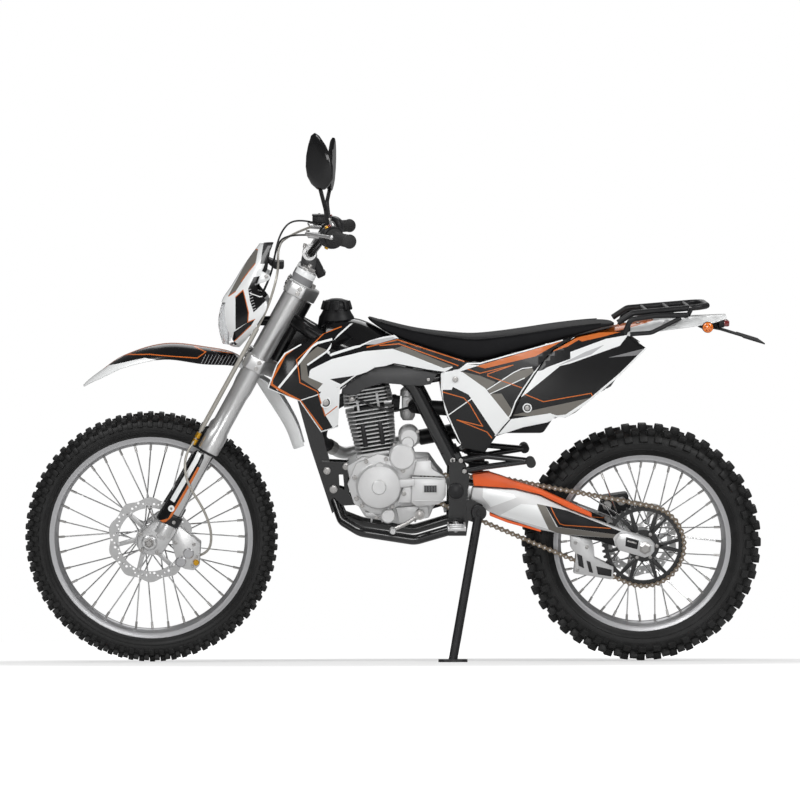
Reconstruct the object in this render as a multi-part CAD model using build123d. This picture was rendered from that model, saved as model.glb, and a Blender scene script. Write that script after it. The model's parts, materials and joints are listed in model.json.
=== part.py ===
"""Dual sport motorcycle, parked on its side stand.

The machine is drawn upright in its own frame: X along its length with the front wheel at -X,
Y across it with the left side at -Y, Z up from the ground line, X = 0 midway between the axles.
What the fork carries is placed from the head anchor, a point on the fork line under the upper
clamp, or from the front axle. What the swingarm carries is placed along the line from its pivot to
the rear axle. At the end every piece is leaned onto the side stand and moved so that the origin is
the bottom centre of the whole machine. All sizes are in millimetres and degrees.
"""

from build123d import *
import math
import os

# ------------------------------------------------------------------ driving dimensions
LEAN = 10.0                      # the machine leans this far to its left on the side stand
WHEELBASE = 1352.0
RAKE = 29.0                      # steering axis from the vertical
FORK_REACH = 775.6               # head anchor above the front axle, along the fork
AXLE_LEAD = 19.4                 # front axle ahead of the fork line

FRONT_TYRE_RADIUS = 348.0        # over the lugs
FRONT_TYRE_HEIGHT = 67.0         # from the rim's edge to the lugs' tips
FRONT_TYRE_WIDTH = 86.0
FRONT_LUG = 12.0                 # lug height
FRONT_TREAD_TEETH = 36
REAR_TYRE_RADIUS = 331.0
REAR_TYRE_HEIGHT = 84.0
REAR_TYRE_WIDTH = 112.0
REAR_LUG = 17.0
REAR_TREAD_TEETH = 30
LUG_ROW = 16.0                   # half width of the middle row of lugs on both tyres
RIM_DEPTH = 24.0                 # radial height of both rims
FRONT_RIM_HALF = 26.0
REAR_RIM_HALF = 33.0
SPOKES = 36
SPOKE_RADIUS = 1.7
HUB_WIDTH = 104.0                # over the spoke flanges, both wheels
FRONT_FLANGE, FRONT_WAIST = 34.0, 22.0
REAR_FLANGE, REAR_WAIST = 46.0, 30.0
CARRIER_GRIP = 26.0              # radius of the hub end that holds a disc or the sprocket

AXLE_RADIUS = 10.0
AXLE_BORE = 6.5
RUN = 0.4                        # running clearance between turning pieces
SEAT_GAP = 0.3                   # gap of a piece that lies on another
CLEAR = 5.0                      # least way between pieces that move past each other
OVERCUT = 1.0                    # how far a cut goes past a face

FRONT_DISC_RADIUS = 118.0
REAR_DISC_RADIUS = 108.0
DISC_THICKNESS = 4.0
DISC_BAND = 34.0                 # radial width of a disc's braking band
FRONT_DISC_Y = -58.0
REAR_DISC_Y = 62.0

CHAIN_PITCH = 15.875
CHAIN_Y = -73.0
CHAIN_WIDTH = 18.0
CHAIN_HEIGHT = 14.0
SPROCKET_HALF = 3.0
REAR_SPROCKET_TEETH = 44
FRONT_SPROCKET_TEETH = 13
FRONT_COG = (88.0, 497.0)        # x, z of the gearbox's sprocket

FORK_SPREAD = 98.0               # each fork leg from the middle plane
FORK_OFFSET = 26.0               # fork legs ahead of the steering axis
FORK_OUTER = 27.0                # upper tube radius
FORK_INNER = 21.5                # lower leg radius
FORK_COLLAR = 30.0               # upper tube's lower collar radius
UPPER_CLAMP = (-41.0, -5.0)      # along the fork, down from the head anchor
LOWER_CLAMP = (187.0, 227.0)
OUTER_TUBE = (-86.0, 480.0)
LEG_END = 752.0
STEM_RADIUS = 14.0
HEAD_TUBE_RADIUS = 31.0

PIVOT = (159.0, 489.0)           # x, z of the swingarm pivot
PIVOT_BOLT = 9.0
ARM_OUT = 116.0                  # outer face of the swingarm
ARM_IN = 90.0
PLATE_IN, PLATE_OUT = 95.0, 121.0   # frame's pivot plates

SPAR_RADIUS = 20.0
CRADLE_RADIUS = 14.0
RAIL_RADIUS = 11.0

BAR_RADIUS = 11.0
BAR_HALF = 400.0
GRIP_RADIUS = 17.0
GRIP_LENGTH = 122.0
HOSE_RADIUS = 3.5
CABLE_RADIUS = 2.6

SKIN = 3.5                       # thickness of the plastic bodywork
PANEL_REACH = 260.0              # a side outline is cut this far out

STAND_PIVOT = (221.0, -143.0, 432.0)
STAND_RADIUS = 12.0
STAND_FORWARD = 11.0             # lowered leg, ahead of the upright, in degrees
STAND_OUT = 20.0                 # lowered leg, away from the machine's middle plane, in degrees
STAND_UP_PITCH = 19.7            # raised leg above the level, pointing back
STAND_UP_SPLAY = 2.0
FOOT_THICKNESS = 8.0

SILENCER_RADIUS = 45.0
PIPE_RADIUS = 17.0
CYLINDER_LEAN = 6.0
PLATE_HOLE_RADIUS = 3.5          # number plate holes
PLATE_HOLE_SPACING = 146.0

# ------------------------------------------------------------------ places that follow from them
FRONT_RIM_RADIUS = FRONT_TYRE_RADIUS - FRONT_TYRE_HEIGHT
REAR_RIM_RADIUS = REAR_TYRE_RADIUS - REAR_TYRE_HEIGHT
FRONT_X, FRONT_Z = -WHEELBASE / 2, FRONT_TYRE_RADIUS
REAR_X, REAR_Z = WHEELBASE / 2, REAR_TYRE_RADIUS
FRONT_AXLE, REAR_AXLE = (FRONT_X, FRONT_Z), (REAR_X, REAR_Z)
SIN_R, COS_R = math.sin(math.radians(RAKE)), math.cos(math.radians(RAKE))
SIN_L, COS_L = math.sin(math.radians(LEAN)), math.cos(math.radians(LEAN))
FORK_UP = Vector(SIN_R, 0, COS_R)
HEAD = (FRONT_X + SIN_R * FORK_REACH + COS_R * AXLE_LEAD, FRONT_Z + COS_R * FORK_REACH - SIN_R * AXLE_LEAD)
LIFT = LUG_ROW * SIN_L           # the edge of the middle lugs is the lowest point of a leaning tyre
ARM_LENGTH = math.hypot(REAR_X - PIVOT[0], REAR_Z - PIVOT[1])


def leaned(point):
    """Where a point of the upright machine lies once it leans, before the origin is moved."""
    p = Vector(*point)
    return Vector(p.X, p.Y * COS_L - p.Z * SIN_L, p.Y * SIN_L + p.Z * COS_L + LIFT)


def on_fork(down, y=0.0, back=0.0):
    """A point this far down the fork line, at that y, and back from the line."""
    return Vector(HEAD[0] - SIN_R * down + COS_R * back, y, HEAD[1] - COS_R * down - SIN_R * back)


def near(anchor, outline):
    """An outline of (x, z) steps from an anchor, as places."""
    return [(anchor[0] + x, anchor[1] + z) for x, z in outline]


def at(anchor, x, y, z):
    """A place given by x and z steps from an anchor."""
    return Vector(anchor[0] + x, y, anchor[1] + z)


def on_arm(outline):
    """An outline of (share of the way to the rear axle, height above that line), as places."""
    ahead = ((REAR_X - PIVOT[0]) / ARM_LENGTH, (REAR_Z - PIVOT[1]) / ARM_LENGTH)
    return [(PIVOT[0] + ahead[0] * share * ARM_LENGTH - ahead[1] * up,
             PIVOT[1] + ahead[1] * share * ARM_LENGTH + ahead[0] * up) for share, up in outline]


# ------------------------------------------------------------------ ways of making shapes
def prism(points, y_low, y_high):
    """A side outline of (x, z) points, solid between two y values."""
    face = Plane.XZ.offset(-y_high) * make_face(Polyline(*points, close=True))
    return extrude(face, y_high - y_low, dir=(0, -1, 0))


def rod(start, end, radius):
    """A round bar between two points."""
    start, end = Vector(*start), Vector(*end)
    return extrude(Plane(start, z_dir=end - start) * Circle(radius), (end - start).length)


def tube(points, radius, bend):
    """A round bar along straight runs joined by arcs of the bend radius."""
    path = FilletPolyline(*points, radius=bend)
    return sweep(Plane(path @ 0, z_dir=path % 0) * Circle(radius), path=path)


def disc(x, z, radius, y_low, y_high):
    """A round slice across the machine."""
    return Pos(x, y_high, z) * extrude(Plane.XZ * Circle(radius), y_high - y_low)


def mirrored(shape):
    """The same piece on the machine's other side."""
    return mirror(shape, about=Plane.XZ)


def both(shape):
    """A piece and its mirror image."""
    return shape + mirrored(shape)


def cross_rod(x, z, half, radius):
    """A round bar straight across the machine."""
    return rod((x, -half, z), (x, half, z), radius)


def box(x, y, z):
    """A box from three (low, high) pairs."""
    size = [high - low for low, high in (x, y, z)]
    return Pos(x[0], y[0], z[0]) * Box(*size, align=(Align.MIN,) * 3)


def fork_slice(outline, down_low, down_high):
    """An outline of (y, forward) points, square to the fork, between two distances down it."""
    plane = Plane(on_fork(down_high), x_dir=(0, 1, 0), z_dir=FORK_UP)
    return extrude(plane * make_face(Polyline(*outline, close=True)), down_high - down_low)


def cross_face(x, outline):
    """A face square to the machine's length, from (y, z) points."""
    plane = Plane(Vector(x, 0, 0), x_dir=(0, 1, 0), z_dir=(1, 0, 0))
    return plane * make_face(Polyline(*outline, close=True))


def skin(table, levels):
    """A ruled left-hand shell. Each row is x, then how far out it stands at each of the levels."""
    faces = []
    for x, *outs in table:
        outer = [(-out, z) for out, z in zip(outs, levels)]
        inner = [(y + SKIN, z) for y, z in reversed(outer)]
        faces.append(cross_face(x, outer + inner))
    return loft(faces, ruled=True)


def body(rows, chamfer):
    """A closed loft across the machine. Each row is x, low z, high z, low and high half width."""
    faces = []
    for x, low, high, half_low, half_high in rows:
        side = [(half_low, low), (half_low, low + chamfer), (half_high, high - chamfer),
                (half_high - chamfer, high)]
        faces.append(cross_face(x, side + [(-y, z) for y, z in reversed(side)]))
    return loft(faces, ruled=True)


def gutter(rows):
    """A bent sheet with turned-down edges. Each row is x, z, slope, half width and edge depth."""
    shoulder = 0.82
    faces = []
    for x, z, slope, half, edge in rows:
        ahead = Vector(math.cos(math.radians(slope)), 0, math.sin(math.radians(slope)))
        plane = Plane(Vector(x, 0, z), x_dir=(0, 1, 0), z_dir=ahead)
        outer = [(-half, -edge), (-half * shoulder, 0), (half * shoulder, 0), (half, -edge)]
        inner = [(half - SKIN, -edge), (half * shoulder - SKIN, -SKIN), (SKIN - half * shoulder, -SKIN),
                 (SKIN - half, -edge)]
        faces.append(plane * make_face(Polyline(*outer, *inner, close=True)))
    return loft(faces, ruled=True)


def turned(side):
    """A turned piece about the Y axis, from the (radius, y) points of its -Y half."""
    profile = side + [(r, -y) for r, y in reversed(side)]
    return revolve(make_face(Polyline(*profile, close=True)), axis=Axis.Y)


# ------------------------------------------------------------------ wheels
def toothed(radii, shares, teeth, y_low, y_high):
    """A toothed slice about the Y axis. Radii and shares are the corners of one tooth."""
    points = []
    for i in range(teeth):
        for share, radius in zip(shares, radii):
            angle = 2 * math.pi * (i + share) / teeth - math.pi / 2
            points.append((radius * math.cos(angle), radius * math.sin(angle)))
    return prism(points, y_low, y_high)


def faceted(radius, sides, y):
    """A many-sided face square to the Y axis, drawn outside the circle of that radius."""
    reach = radius / math.cos(math.pi / sides)
    angles = [2 * math.pi * (i + 0.5) / sides for i in range(sides)]
    points = [(reach * math.cos(angle), reach * math.sin(angle)) for angle in angles]
    return Plane.XZ.offset(-y) * make_face(Polyline(*points, close=True))


def tyre(radius, width, lug, teeth, rim_radius):
    """A knobbly tyre about the Y axis at the origin, with three rows of lugs on a coned carcass."""
    root, half, sides, lip = radius - lug, width / 2, 2 * teeth, 5.0
    bead, shoulder = half * 0.58, radius - half * 0.42
    core = rim_radius + (root - rim_radius) * 0.65
    sections = [(rim_radius + lip, -bead), (core, -half), (core, half), (rim_radius + lip, bead)]
    carcass = loft([faceted(r, sides, y) for r, y in sections], ruled=True)
    shares = (-0.30, -0.24, 0.24, 0.30)
    carcass += toothed((root, radius, radius, root), shares, teeth, -LUG_ROW, LUG_ROW)
    low = shoulder - lug * 0.7
    for start, end in ((-half, -LUG_ROW), (LUG_ROW, half)):
        carcass += toothed((low, shoulder, shoulder, low), shares, teeth, start, end)
    return carcass - extrude(faceted(rim_radius + SEAT_GAP, sides, 0), half + OVERCUT, both=True)


def rim(rim_radius, half):
    """A channel rim about the Y axis."""
    wall, floor = 4.0, rim_radius - RIM_DEPTH
    return turned([(floor, -half * 0.45), (floor + 2 * wall, -half), (rim_radius, -half),
                   (rim_radius, -half + wall), (rim_radius - RIM_DEPTH / 2, -half + wall),
                   (floor + wall, -half * 0.40)])


def hub(flange, waist):
    """A wheel hub about the Y axis with two spoke flanges."""
    half, lip = HUB_WIDTH / 2, 6.0
    return turned([(AXLE_RADIUS + RUN, -half), (waist + lip / 2, -half), (waist + lip / 2, -half + 2 * lip),
                   (flange, -half + 2 * lip + 2), (flange, -half + 3 * lip + 2), (waist, -half + 4 * lip + 2)])


def spokes(flange, rim_floor):
    """Crossed spokes from the hub flanges to the rim."""
    cross, sink, rim_y = math.radians(42), 3.0, 5.0
    group = []
    for i in range(SPOKES):
        side = 1 if i % 2 else -1
        lead = 1 if (i // 2) % 2 else -1
        foot = 2 * math.pi * i / SPOKES
        head = foot - lead * cross
        inner, outer = flange - sink, rim_floor + sink
        group.append(rod((inner * math.cos(head), side * (HUB_WIDTH / 2 - 17), inner * math.sin(head)),
                         (outer * math.cos(foot), side * rim_y, outer * math.sin(foot)), SPOKE_RADIUS))
    return group


def wheel(rim_radius, rim_half, flange, waist, ends):
    """Rim, spokes and hub as one piece. Ends are the (low, high) y pairs of what holds the discs."""
    core = rim(rim_radius, rim_half) + hub(flange, waist)
    for low, high in ends:
        core += disc(0, 0, CARRIER_GRIP, low, high)
        core -= disc(0, 0, AXLE_RADIUS + RUN, low - OVERCUT, high + OVERCUT)
    return core + spokes(flange, rim_radius - RIM_DEPTH)


def brake_disc(radius, y, waves):
    """A wavy brake disc with carrier arms."""
    wave, arms, arm_half, carrier_half = 4.0, 6, 6.0, 3.0
    points = []
    for i in range(waves * 4):
        angle = 2 * math.pi * i / (waves * 4)
        r = radius - wave * (0, 1, 2, 1)[i % 4]
        points.append((r * math.cos(angle), r * math.sin(angle)))
    plate = prism(points, y - DISC_THICKNESS / 2, y + DISC_THICKNESS / 2)
    plate -= disc(0, 0, radius - DISC_BAND, y - DISC_THICKNESS, y + DISC_THICKNESS)
    carrier = disc(0, 0, CARRIER_GRIP * 1.5, y - carrier_half, y + carrier_half)
    arm = box((0, radius - DISC_BAND + arm_half), (y - DISC_THICKNESS / 2, y + DISC_THICKNESS / 2),
              (-arm_half, arm_half))
    for i in range(arms):
        carrier += Rot(0, 360 / arms * i + 15, 0) * arm
    return plate + carrier - disc(0, 0, CARRIER_GRIP, y - 2 * carrier_half, y + 2 * carrier_half)


# ------------------------------------------------------------------ chain drive
def pitch_radius(cogs):
    """Radius of the chain's centre line on a sprocket."""
    return CHAIN_PITCH / (2 * math.sin(math.pi / cogs))


def sprocket(cogs, bore):
    """A toothed wheel about the Y axis."""
    root, tip = pitch_radius(cogs) - 6.0, pitch_radius(cogs) + 2.5
    plate = toothed((root, tip, tip, root), (-0.32, -0.12, 0.12, 0.32), cogs,
                    CHAIN_Y - SPROCKET_HALF, CHAIN_Y + SPROCKET_HALF)
    return plate - disc(0, 0, bore, CHAIN_Y - 2 * SPROCKET_HALF, CHAIN_Y + 2 * SPROCKET_HALF)


def rear_sprocket():
    """The large sprocket: a toothed ring on six arms."""
    ring_width, arm_half, arms, across = 33.0, 7.0, 6, (CHAIN_Y - SPROCKET_HALF, CHAIN_Y + SPROCKET_HALF)
    inner = pitch_radius(REAR_SPROCKET_TEETH) - ring_width
    wheel_plate = sprocket(REAR_SPROCKET_TEETH, inner) + disc(0, 0, CARRIER_GRIP * 1.6, *across)
    for i in range(arms):
        wheel_plate += Rot(0, 360 / arms * i, 0) * box((CARRIER_GRIP * 1.2, inner + arm_half), across,
                                                       (-arm_half, arm_half))
    return wheel_plate - disc(0, 0, CARRIER_GRIP, across[0] - OVERCUT, across[1] + OVERCUT)


def chain_side(offset):
    """The chain's loop moved outwards by offset, as a closed outline."""
    slider = on_arm([(0.235, 66)])[0]
    points = []
    # centre, sprocket teeth, first angle, turn, steps
    for centre, cogs, first, turn, steps in ((FRONT_COG, FRONT_SPROCKET_TEETH, 95, 165, 12),
                                             (REAR_AXLE, REAR_SPROCKET_TEETH, -115, 195, 20)):
        radius = pitch_radius(cogs) + offset
        for i in range(steps + 1):
            angle = math.radians(first + turn * i / steps)
            points.append((centre[0] + radius * math.cos(angle), centre[1] + radius * math.sin(angle)))
    points.append((slider[0], slider[1] + offset))
    return points


def drive_chain():
    """The chain as a loop, with room for the sprockets' teeth."""
    half, tooth_half, tooth_room = CHAIN_WIDTH / 2, SPROCKET_HALF + RUN, 3.4
    loop = prism(chain_side(CHAIN_HEIGHT / 2), CHAIN_Y - half, CHAIN_Y + half)
    loop -= prism(chain_side(-CHAIN_HEIGHT / 2), CHAIN_Y - half - OVERCUT, CHAIN_Y + half + OVERCUT)
    room = prism(chain_side(tooth_room), CHAIN_Y - tooth_half, CHAIN_Y + tooth_half)
    for centre, cogs in ((REAR_AXLE, REAR_SPROCKET_TEETH), (FRONT_COG, FRONT_SPROCKET_TEETH)):
        reach = pitch_radius(cogs) + 2 * tooth_room
        loop -= room & box((centre[0] - reach, centre[0] + reach), (CHAIN_Y - half, CHAIN_Y + half),
                           (centre[1] - reach, centre[1] + reach))
    return loop


# ------------------------------------------------------------------ swingarm and rear suspension
# share of the way from the pivot to the rear axle, height above that line
ARM = [(0.074, 24), (0.283, 51), (0.412, 54), (0.577, 41), (0.793, 32), (1.004, 28), (1.038, 16), (1.044, -6),
       (1.021, -23), (0.769, -19), (0.463, -36), (0.251, -34), (0.089, -20)]
ARM_NECK = [(-0.008, 13), (0.245, 49), (0.271, 4), (0.011, -20)]
ARM_BRIDGE = [(0.20, 40), (0.27, 42), (0.262, 0), (0.205, -4)]
SLIDER = [(0.078, 28), (0.055, 56), (0.201, 75), (0.29, 72), (0.411, 71), (0.568, 59),
          (0.69, 48), (0.696, 39), (0.575, 44), (0.411, 57), (0.281, 54)]
GUIDE = [(0.623, -24), (0.732, -20), (0.765, -46), (0.885, -80), (0.888, -114), (0.699, -125), (0.648, -62)]
GUIDE_FLOOR = [(0.699, -125), (0.815, -119), (0.815, -115), (0.699, -121)]


def swingarm():
    """Both arms, the pivot tube, the bridge and the rear axle."""
    arms = both(prism(on_arm(ARM), -ARM_OUT, -ARM_IN) + prism(on_arm(ARM_NECK), -ARM_IN, -ARM_IN / 2))
    arms += disc(*PIVOT, 21, -PLATE_IN + OVERCUT, PLATE_IN - OVERCUT)
    arms += prism(on_arm(ARM_BRIDGE), -ARM_IN, ARM_IN)
    arms -= disc(*PIVOT, PIVOT_BOLT + RUN, -PLATE_IN, PLATE_IN)
    nut, nut_radius = 12.0, 17.0
    axle = disc(*REAR_AXLE, AXLE_RADIUS, -ARM_OUT - nut, ARM_OUT + nut)
    axle += both(disc(*REAR_AXLE, nut_radius, -ARM_OUT - nut, -ARM_OUT))
    return arms + axle - disc(*REAR_AXLE, AXLE_BORE, -ARM_OUT - nut - OVERCUT, ARM_OUT + nut + OVERCUT)


def chain_guides():
    """The slider over the left arm and the guide under it, which has a cheek on each side of the chain."""
    wall = 4.0
    arm_room = prism(on_arm(ARM), -ARM_OUT - wall - OVERCUT, -ARM_IN + wall)
    slider = prism(on_arm(SLIDER), -ARM_OUT - 3, -ARM_IN + 2) - arm_room
    outer, inner = -ARM_IN + wall, CHAIN_Y + CHAIN_WIDTH / 2 + wall
    guide = prism(on_arm(GUIDE), outer - wall, outer) + prism(on_arm(GUIDE), inner, inner + wall)
    return slider + guide + prism(on_arm(GUIDE_FLOOR), outer, inner)


SHOCK_LOW, SHOCK_HIGH = (236.0, 0.0, 420.0), (196.0, 0.0, 752.0)


def shock_absorber():
    """The single shock with its body and coils."""
    shaft, sleeve, coil_radius, coils, pitch = 13.0, 23.0, 33.0, 8, 26.0
    low, high = Vector(*SHOCK_LOW), Vector(*SHOCK_HIGH)
    line = (high - low).normalized()
    shock = rod(low, high, shaft) + rod(low + line * 5 * pitch, high, sleeve)
    for i in range(coils):
        ring = low + line * pitch * (i + 2)
        shock += rod(ring, ring + line * 11, coil_radius)
    return shock


# ------------------------------------------------------------------ frame
SPAR_FIXED = [(-110, -96, 862), (40, -100, 786), (152, -106, 566)]
TANK_ROD = (30, 790, 11)
FRAME_CROSS_RODS = ((160, 385, 12), (150, 574, 12), TANK_ROD)      # x, z, radius
SPAR_HEAD = [(1, -18, -69), (78, -50, -115)]             # steps from the head anchor
SPAR_BENDS = [60, 80, 90]
CRADLE = [(-170, -16, 450), (-150, -60, 400), (-100, -100, 375), (48, -104, 352), (160, -108, 385)]
DOWN_TUBE_HEAD = [(-26, -155), (2, -137)]                # steps from the head anchor
DOWN_TUBE = [(-206, 644), (-156, 437), (-178, 415), (-238, 600)]
GUSSET_HEAD = [(-17, -77), (83, -117), (133, -167), (-2, -217), (-24, -167)]
PIVOT_PLATE = [(118, 590), (166, 592), (196, 530), (190, 470), (196, 420), (188, 366), (140, 366), (142, 560)]
MOUNT_PLATE = [(-206, 560), (-128, 556), (-122, 530), (-132, 470), (-112, 440), (-150, 438), (-190, 478)]
MOUNT_WINDOW = [(-160, 524), (-148, 524), (-144, 482), (-158, 486)]
GUSSET_HALF = 7.0


def on_axis(low, high, radius):
    """A round bar on the steering axis, between two places down the fork."""
    return rod(on_fork(low, back=FORK_OFFSET), on_fork(high, back=FORK_OFFSET), radius)


def spar(radius):
    """The left upper frame tube, or the room that it takes."""
    return tube([at(HEAD, x, y, z) for x, y, z in SPAR_HEAD] + SPAR_FIXED, radius, SPAR_BENDS)


def frame_tubes():
    """Head tube, spars, down tube, cradle and pivot plates."""
    down_half = 25.0
    side = spar(SPAR_RADIUS) + tube(CRADLE, CRADLE_RADIUS, [30, 40, 60])
    side += prism(PIVOT_PLATE, -PLATE_OUT, -PLATE_IN)
    tubes = both(side) + prism(near(HEAD, DOWN_TUBE_HEAD) + DOWN_TUBE, -down_half, down_half)
    tubes += prism(near(HEAD, GUSSET_HEAD), -GUSSET_HALF, GUSSET_HALF)
    for x, z, radius in FRAME_CROSS_RODS:
        tubes += cross_rod(x, z, PLATE_IN, radius)
    tubes -= on_axis(LOWER_CLAMP[1] + CLEAR, LOWER_CLAMP[0] - CLEAR, CLAMP_REACH + CLEAR)
    tubes += on_axis(LOWER_CLAMP[0] - CLEAR, 0, HEAD_TUBE_RADIUS)
    tubes -= on_axis(LOWER_CLAMP[0], -OVERCUT, STEM_RADIUS + SEAT_GAP)
    cap = disc(*PIVOT, 17, -PLATE_OUT - 8, -PLATE_OUT)
    return tubes + disc(*PIVOT, PIVOT_BOLT, -PLATE_OUT, PLATE_OUT) + both(cap)


def engine_mounts():
    """The plates that hold the engine's front."""
    outer, inner = 36.0, 24.0
    plate = prism(MOUNT_PLATE, -outer, -inner) - prism(MOUNT_WINDOW, -outer - OVERCUT, -inner + OVERCUT)
    return both(plate)


def subframe():
    """The seat rails, their struts and the shelf under the seat."""
    rail = tube([(72, -92, 790), (200, -82, 810), (460, -76, 868), (640, -72, 900)], RAIL_RADIUS, [60, 60])
    strut = tube([(172, -100, 600), (250, -86, 660), (440, -76, 850)], RAIL_RADIUS - 1, [60])
    rails = both(rail + strut) + cross_rod(620, 896, 72, 9) + cross_rod(300, 836, 79, 8)
    return rails + prism([(284, 834), (316, 834), (316, 861), (284, 852.1)], -40, 40)


# ------------------------------------------------------------------ engine
CASES = [(-138, 552), (-96, 578), (90, 572), (112, 540), (130, 520), (130, 478), (100, 440), (88, 410),
         (6, 392), (-88, 412), (-120, 466)]
LEFT_COVER = [(-53, 588), (6, 574), (90, 572), (93, 550), (130, 523), (132, 480), (115, 454),
              (7, 446), (-53, 414), (-118, 450), (-136, 505), (-112, 562)]
SPROCKET_COVER = [(6, 560), (90, 556), (124, 520), (126, 482), (108, 456), (12, 450)]
COG_ROOM = [(80, 560), (180, 560), (180, 430), (80, 430)]       # the chain's way out of the cases
COG_ROOM_Y = (-96, -62)
RIGHT_COVER = [(-120, 540), (-60, 590), (30, 580), (80, 540), (96, 480), (60, 425), (-50, 415), (-118, 450)]
CASES_LEFT, CASES_RIGHT = -78.0, 84.0
STARTER = (10.0, 618.0)
# x, z, radius, inner y, outer y of the round bosses on the covers
LEFT_BOSSES = ((-53, 501, 80, -104, -128), (-53, 501, 26, -128, -134), (-53, 501, 70, -78, -79))
RIGHT_BOSSES = ((28, 500, 66, 108, 132), (-70, 480, 40, 108, 124))


def cylinder():
    """Finned cylinder, finned head and rocker cover, leaning forward."""
    foot = Pos(-55, 0, 578.5) * Rot(0, -CYLINDER_LEAN, 0)
    # height of the middle above the foot, length, width, height
    blocks = [(72, 92, 92, 144), (167, 112, 108, 45.6), (199, 84, 92, 19)]
    blocks += [(20 + 11.5 * i, 128 if i < 7 else 134, 128 if i < 7 else 134, 4.5) for i in range(11)]
    blocks += [(150 + 11 * i, 136, 132, 4.5) for i in range(4)]
    shape = None
    for z, length, width, height in blocks:
        block = foot * (Pos(0, 0, z) * Box(length, width, height))
        shape = block if shape is None else shape + block
    return shape


def engine_block():
    """Closed cases with their side covers and the gearbox sprocket."""
    block = prism(CASES, CASES_LEFT, CASES_RIGHT) + prism(LEFT_COVER, -104, CASES_LEFT)
    block += prism(SPROCKET_COVER, -120, -104) + prism(RIGHT_COVER, CASES_RIGHT, 108)
    for x, z, radius, inner, outer in LEFT_BOSSES + RIGHT_BOSSES:
        block += disc(x, z, radius, min(inner, outer), max(inner, outer))
    room_half, shaft = 48.0, 9.0
    block -= disc(*FRONT_COG, room_half, *COG_ROOM_Y) + prism(COG_ROOM, *COG_ROOM_Y)
    block += Pos(FRONT_COG[0], 0, FRONT_COG[1]) * sprocket(FRONT_SPROCKET_TEETH, shaft)
    return block + disc(*FRONT_COG, shaft, CHAIN_Y - 8, -60)


EXHAUST = [(-118, 26, 742), (-190, 34, 700), (-214, 60, 610), (-150, 138, 560), (40, 152, 600),
           (240, 154, 636), (330, 174, 640), (372, 180, 662)]
EXHAUST_BENDS = [40, 40, 60, 90, 60, 30]
SILENCER_END = (606.0, 180.0, 800.0)


def silencer():
    """The can, with a narrow neck at the pipe."""
    neck = 40.0
    start, end = Vector(*EXHAUST[-1]), Vector(*SILENCER_END)
    line = (end - start).normalized()
    return rod(start, start + line * neck, 30) + rod(start + line * neck, end, SILENCER_RADIUS)


def intake():
    """Carburettor, ducts round the shock absorber and the air box."""
    tract = rod((-12, 0, 718), (66, 0, 712), 24) + box((14, 46), (-26, 26), (670, 764))
    tract += prism([(262, 640), (262, 806), (452, 848), (440, 700), (400, 640)], -62, 62)
    return tract + rod((60, -46, 712), (262, -40, 700), 20) + rod((50, -26, 712), (60, -50, 712), 20)


# ------------------------------------------------------------------ tank, seat and bodywork
TANK_TAIL = (70.0, 866.0)
# share of the way from the head anchor to the tank's tail, low and high steps up from that line,
# low half width, high half width
TANK_ROWS = [(0.218, -112, -48, 60, 50), (0.263, -121, -25, 96, 66), (0.518, -97, 9, 118, 70),
             (0.779, -73, 3, 112, 74), (1.0, -56, 0, 92, 74)]
FILLER = (0.334, 10.0, 38.0)     # share and step up as above, radius
FILLER_NECK = 72.0
CAP_HEIGHT = 24.0
TANK_GAP = 2.0                   # room round the frame tubes in the tank's tunnels
# x, low z, high z, low half width, high half width
SEAT_ROWS = [(-80, 951, 958, 40, 32), (-30, 917, 943, 66, 52), (60, 880, 923, 84, 66),
             (185, 838, 909, 100, 84), (229, 837, 909, 106, 92), (340, 868, 921, 108, 98),
             (450, 898, 936, 104, 94), (560, 931, 945, 92, 80), (598, 936, 941, 70, 60)]
SHROUD = [(-120, 949), (-156, 941), (-264, 895), (-305, 873), (-327, 841), (-351, 778), (-264, 743),
          (-207, 653), (-161, 667), (-156, 770), (-123, 797), (-61, 830), (-6, 838), (112, 814),
          (112, 832), (7, 879), (-3, 904), (-142, 868), (-188, 868), (-177, 900)]
SHROUD_BOSS = (-100, 868, 12, -149, -104)      # x, z, radius, y values
KNEE_COVER = [(-152, 756), (-150, 770), (-119, 794), (-59, 827), (-6, 835), (108, 811), (90, 782), (61, 778),
              (-40, 786), (-86, 773), (-112, 752)]
SHROUD_LEVELS = (630, 743, 850, 960)
# x, distance out at each level
SHROUD_TABLE = [(-360, 150, 186, 188, 150), (-290, 146, 196, 196, 152), (-200, 132, 170, 178, 142),
                (-100, 126, 146, 156, 128), (20, 126, 132, 138, 124), (150, 124, 126, 128, 122)]
SIDE_COVER = [(118, 812), (181, 828), (225, 826), (333, 855), (456, 889), (551, 918), (523, 905), (442, 868),
              (401, 833), (333, 751), (306, 689), (268, 640), (238, 596), (176, 610), (132, 697), (118, 770)]
TAIL_PANEL = [(374, 790), (403, 831), (444, 865), (525, 902), (605, 904), (659, 885), (678, 877), (605, 805),
              (523, 737), (483, 705), (456, 691), (428, 697), (409, 705), (333, 689), (273, 642), (310, 689),
              (337, 751)]
COVER_LEVELS = (590, 690, 800, 930)
COVER_TABLE = [(100, 128, 128, 128, 124), (250, 126, 134, 130, 122), (400, 124, 136, 132, 120),
               (560, 118, 128, 124, 110), (700, 112, 118, 116, 100)]
SIDE_COVER_BOSSES = ((157, 795), (300, 826))
TAIL_BOSSES = ((436, 845),)
BOSS_RADIUS = 9.0
# x, z, slope, half width, edge depth
REAR_FENDER_ROWS = [(470, 906, 14, 92, 24), (600, 930, 10, 92, 26), (700, 947, 7, 84, 26),
                    (800, 957, 4, 70, 24), (903, 962, 2, 40, 12)]


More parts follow.
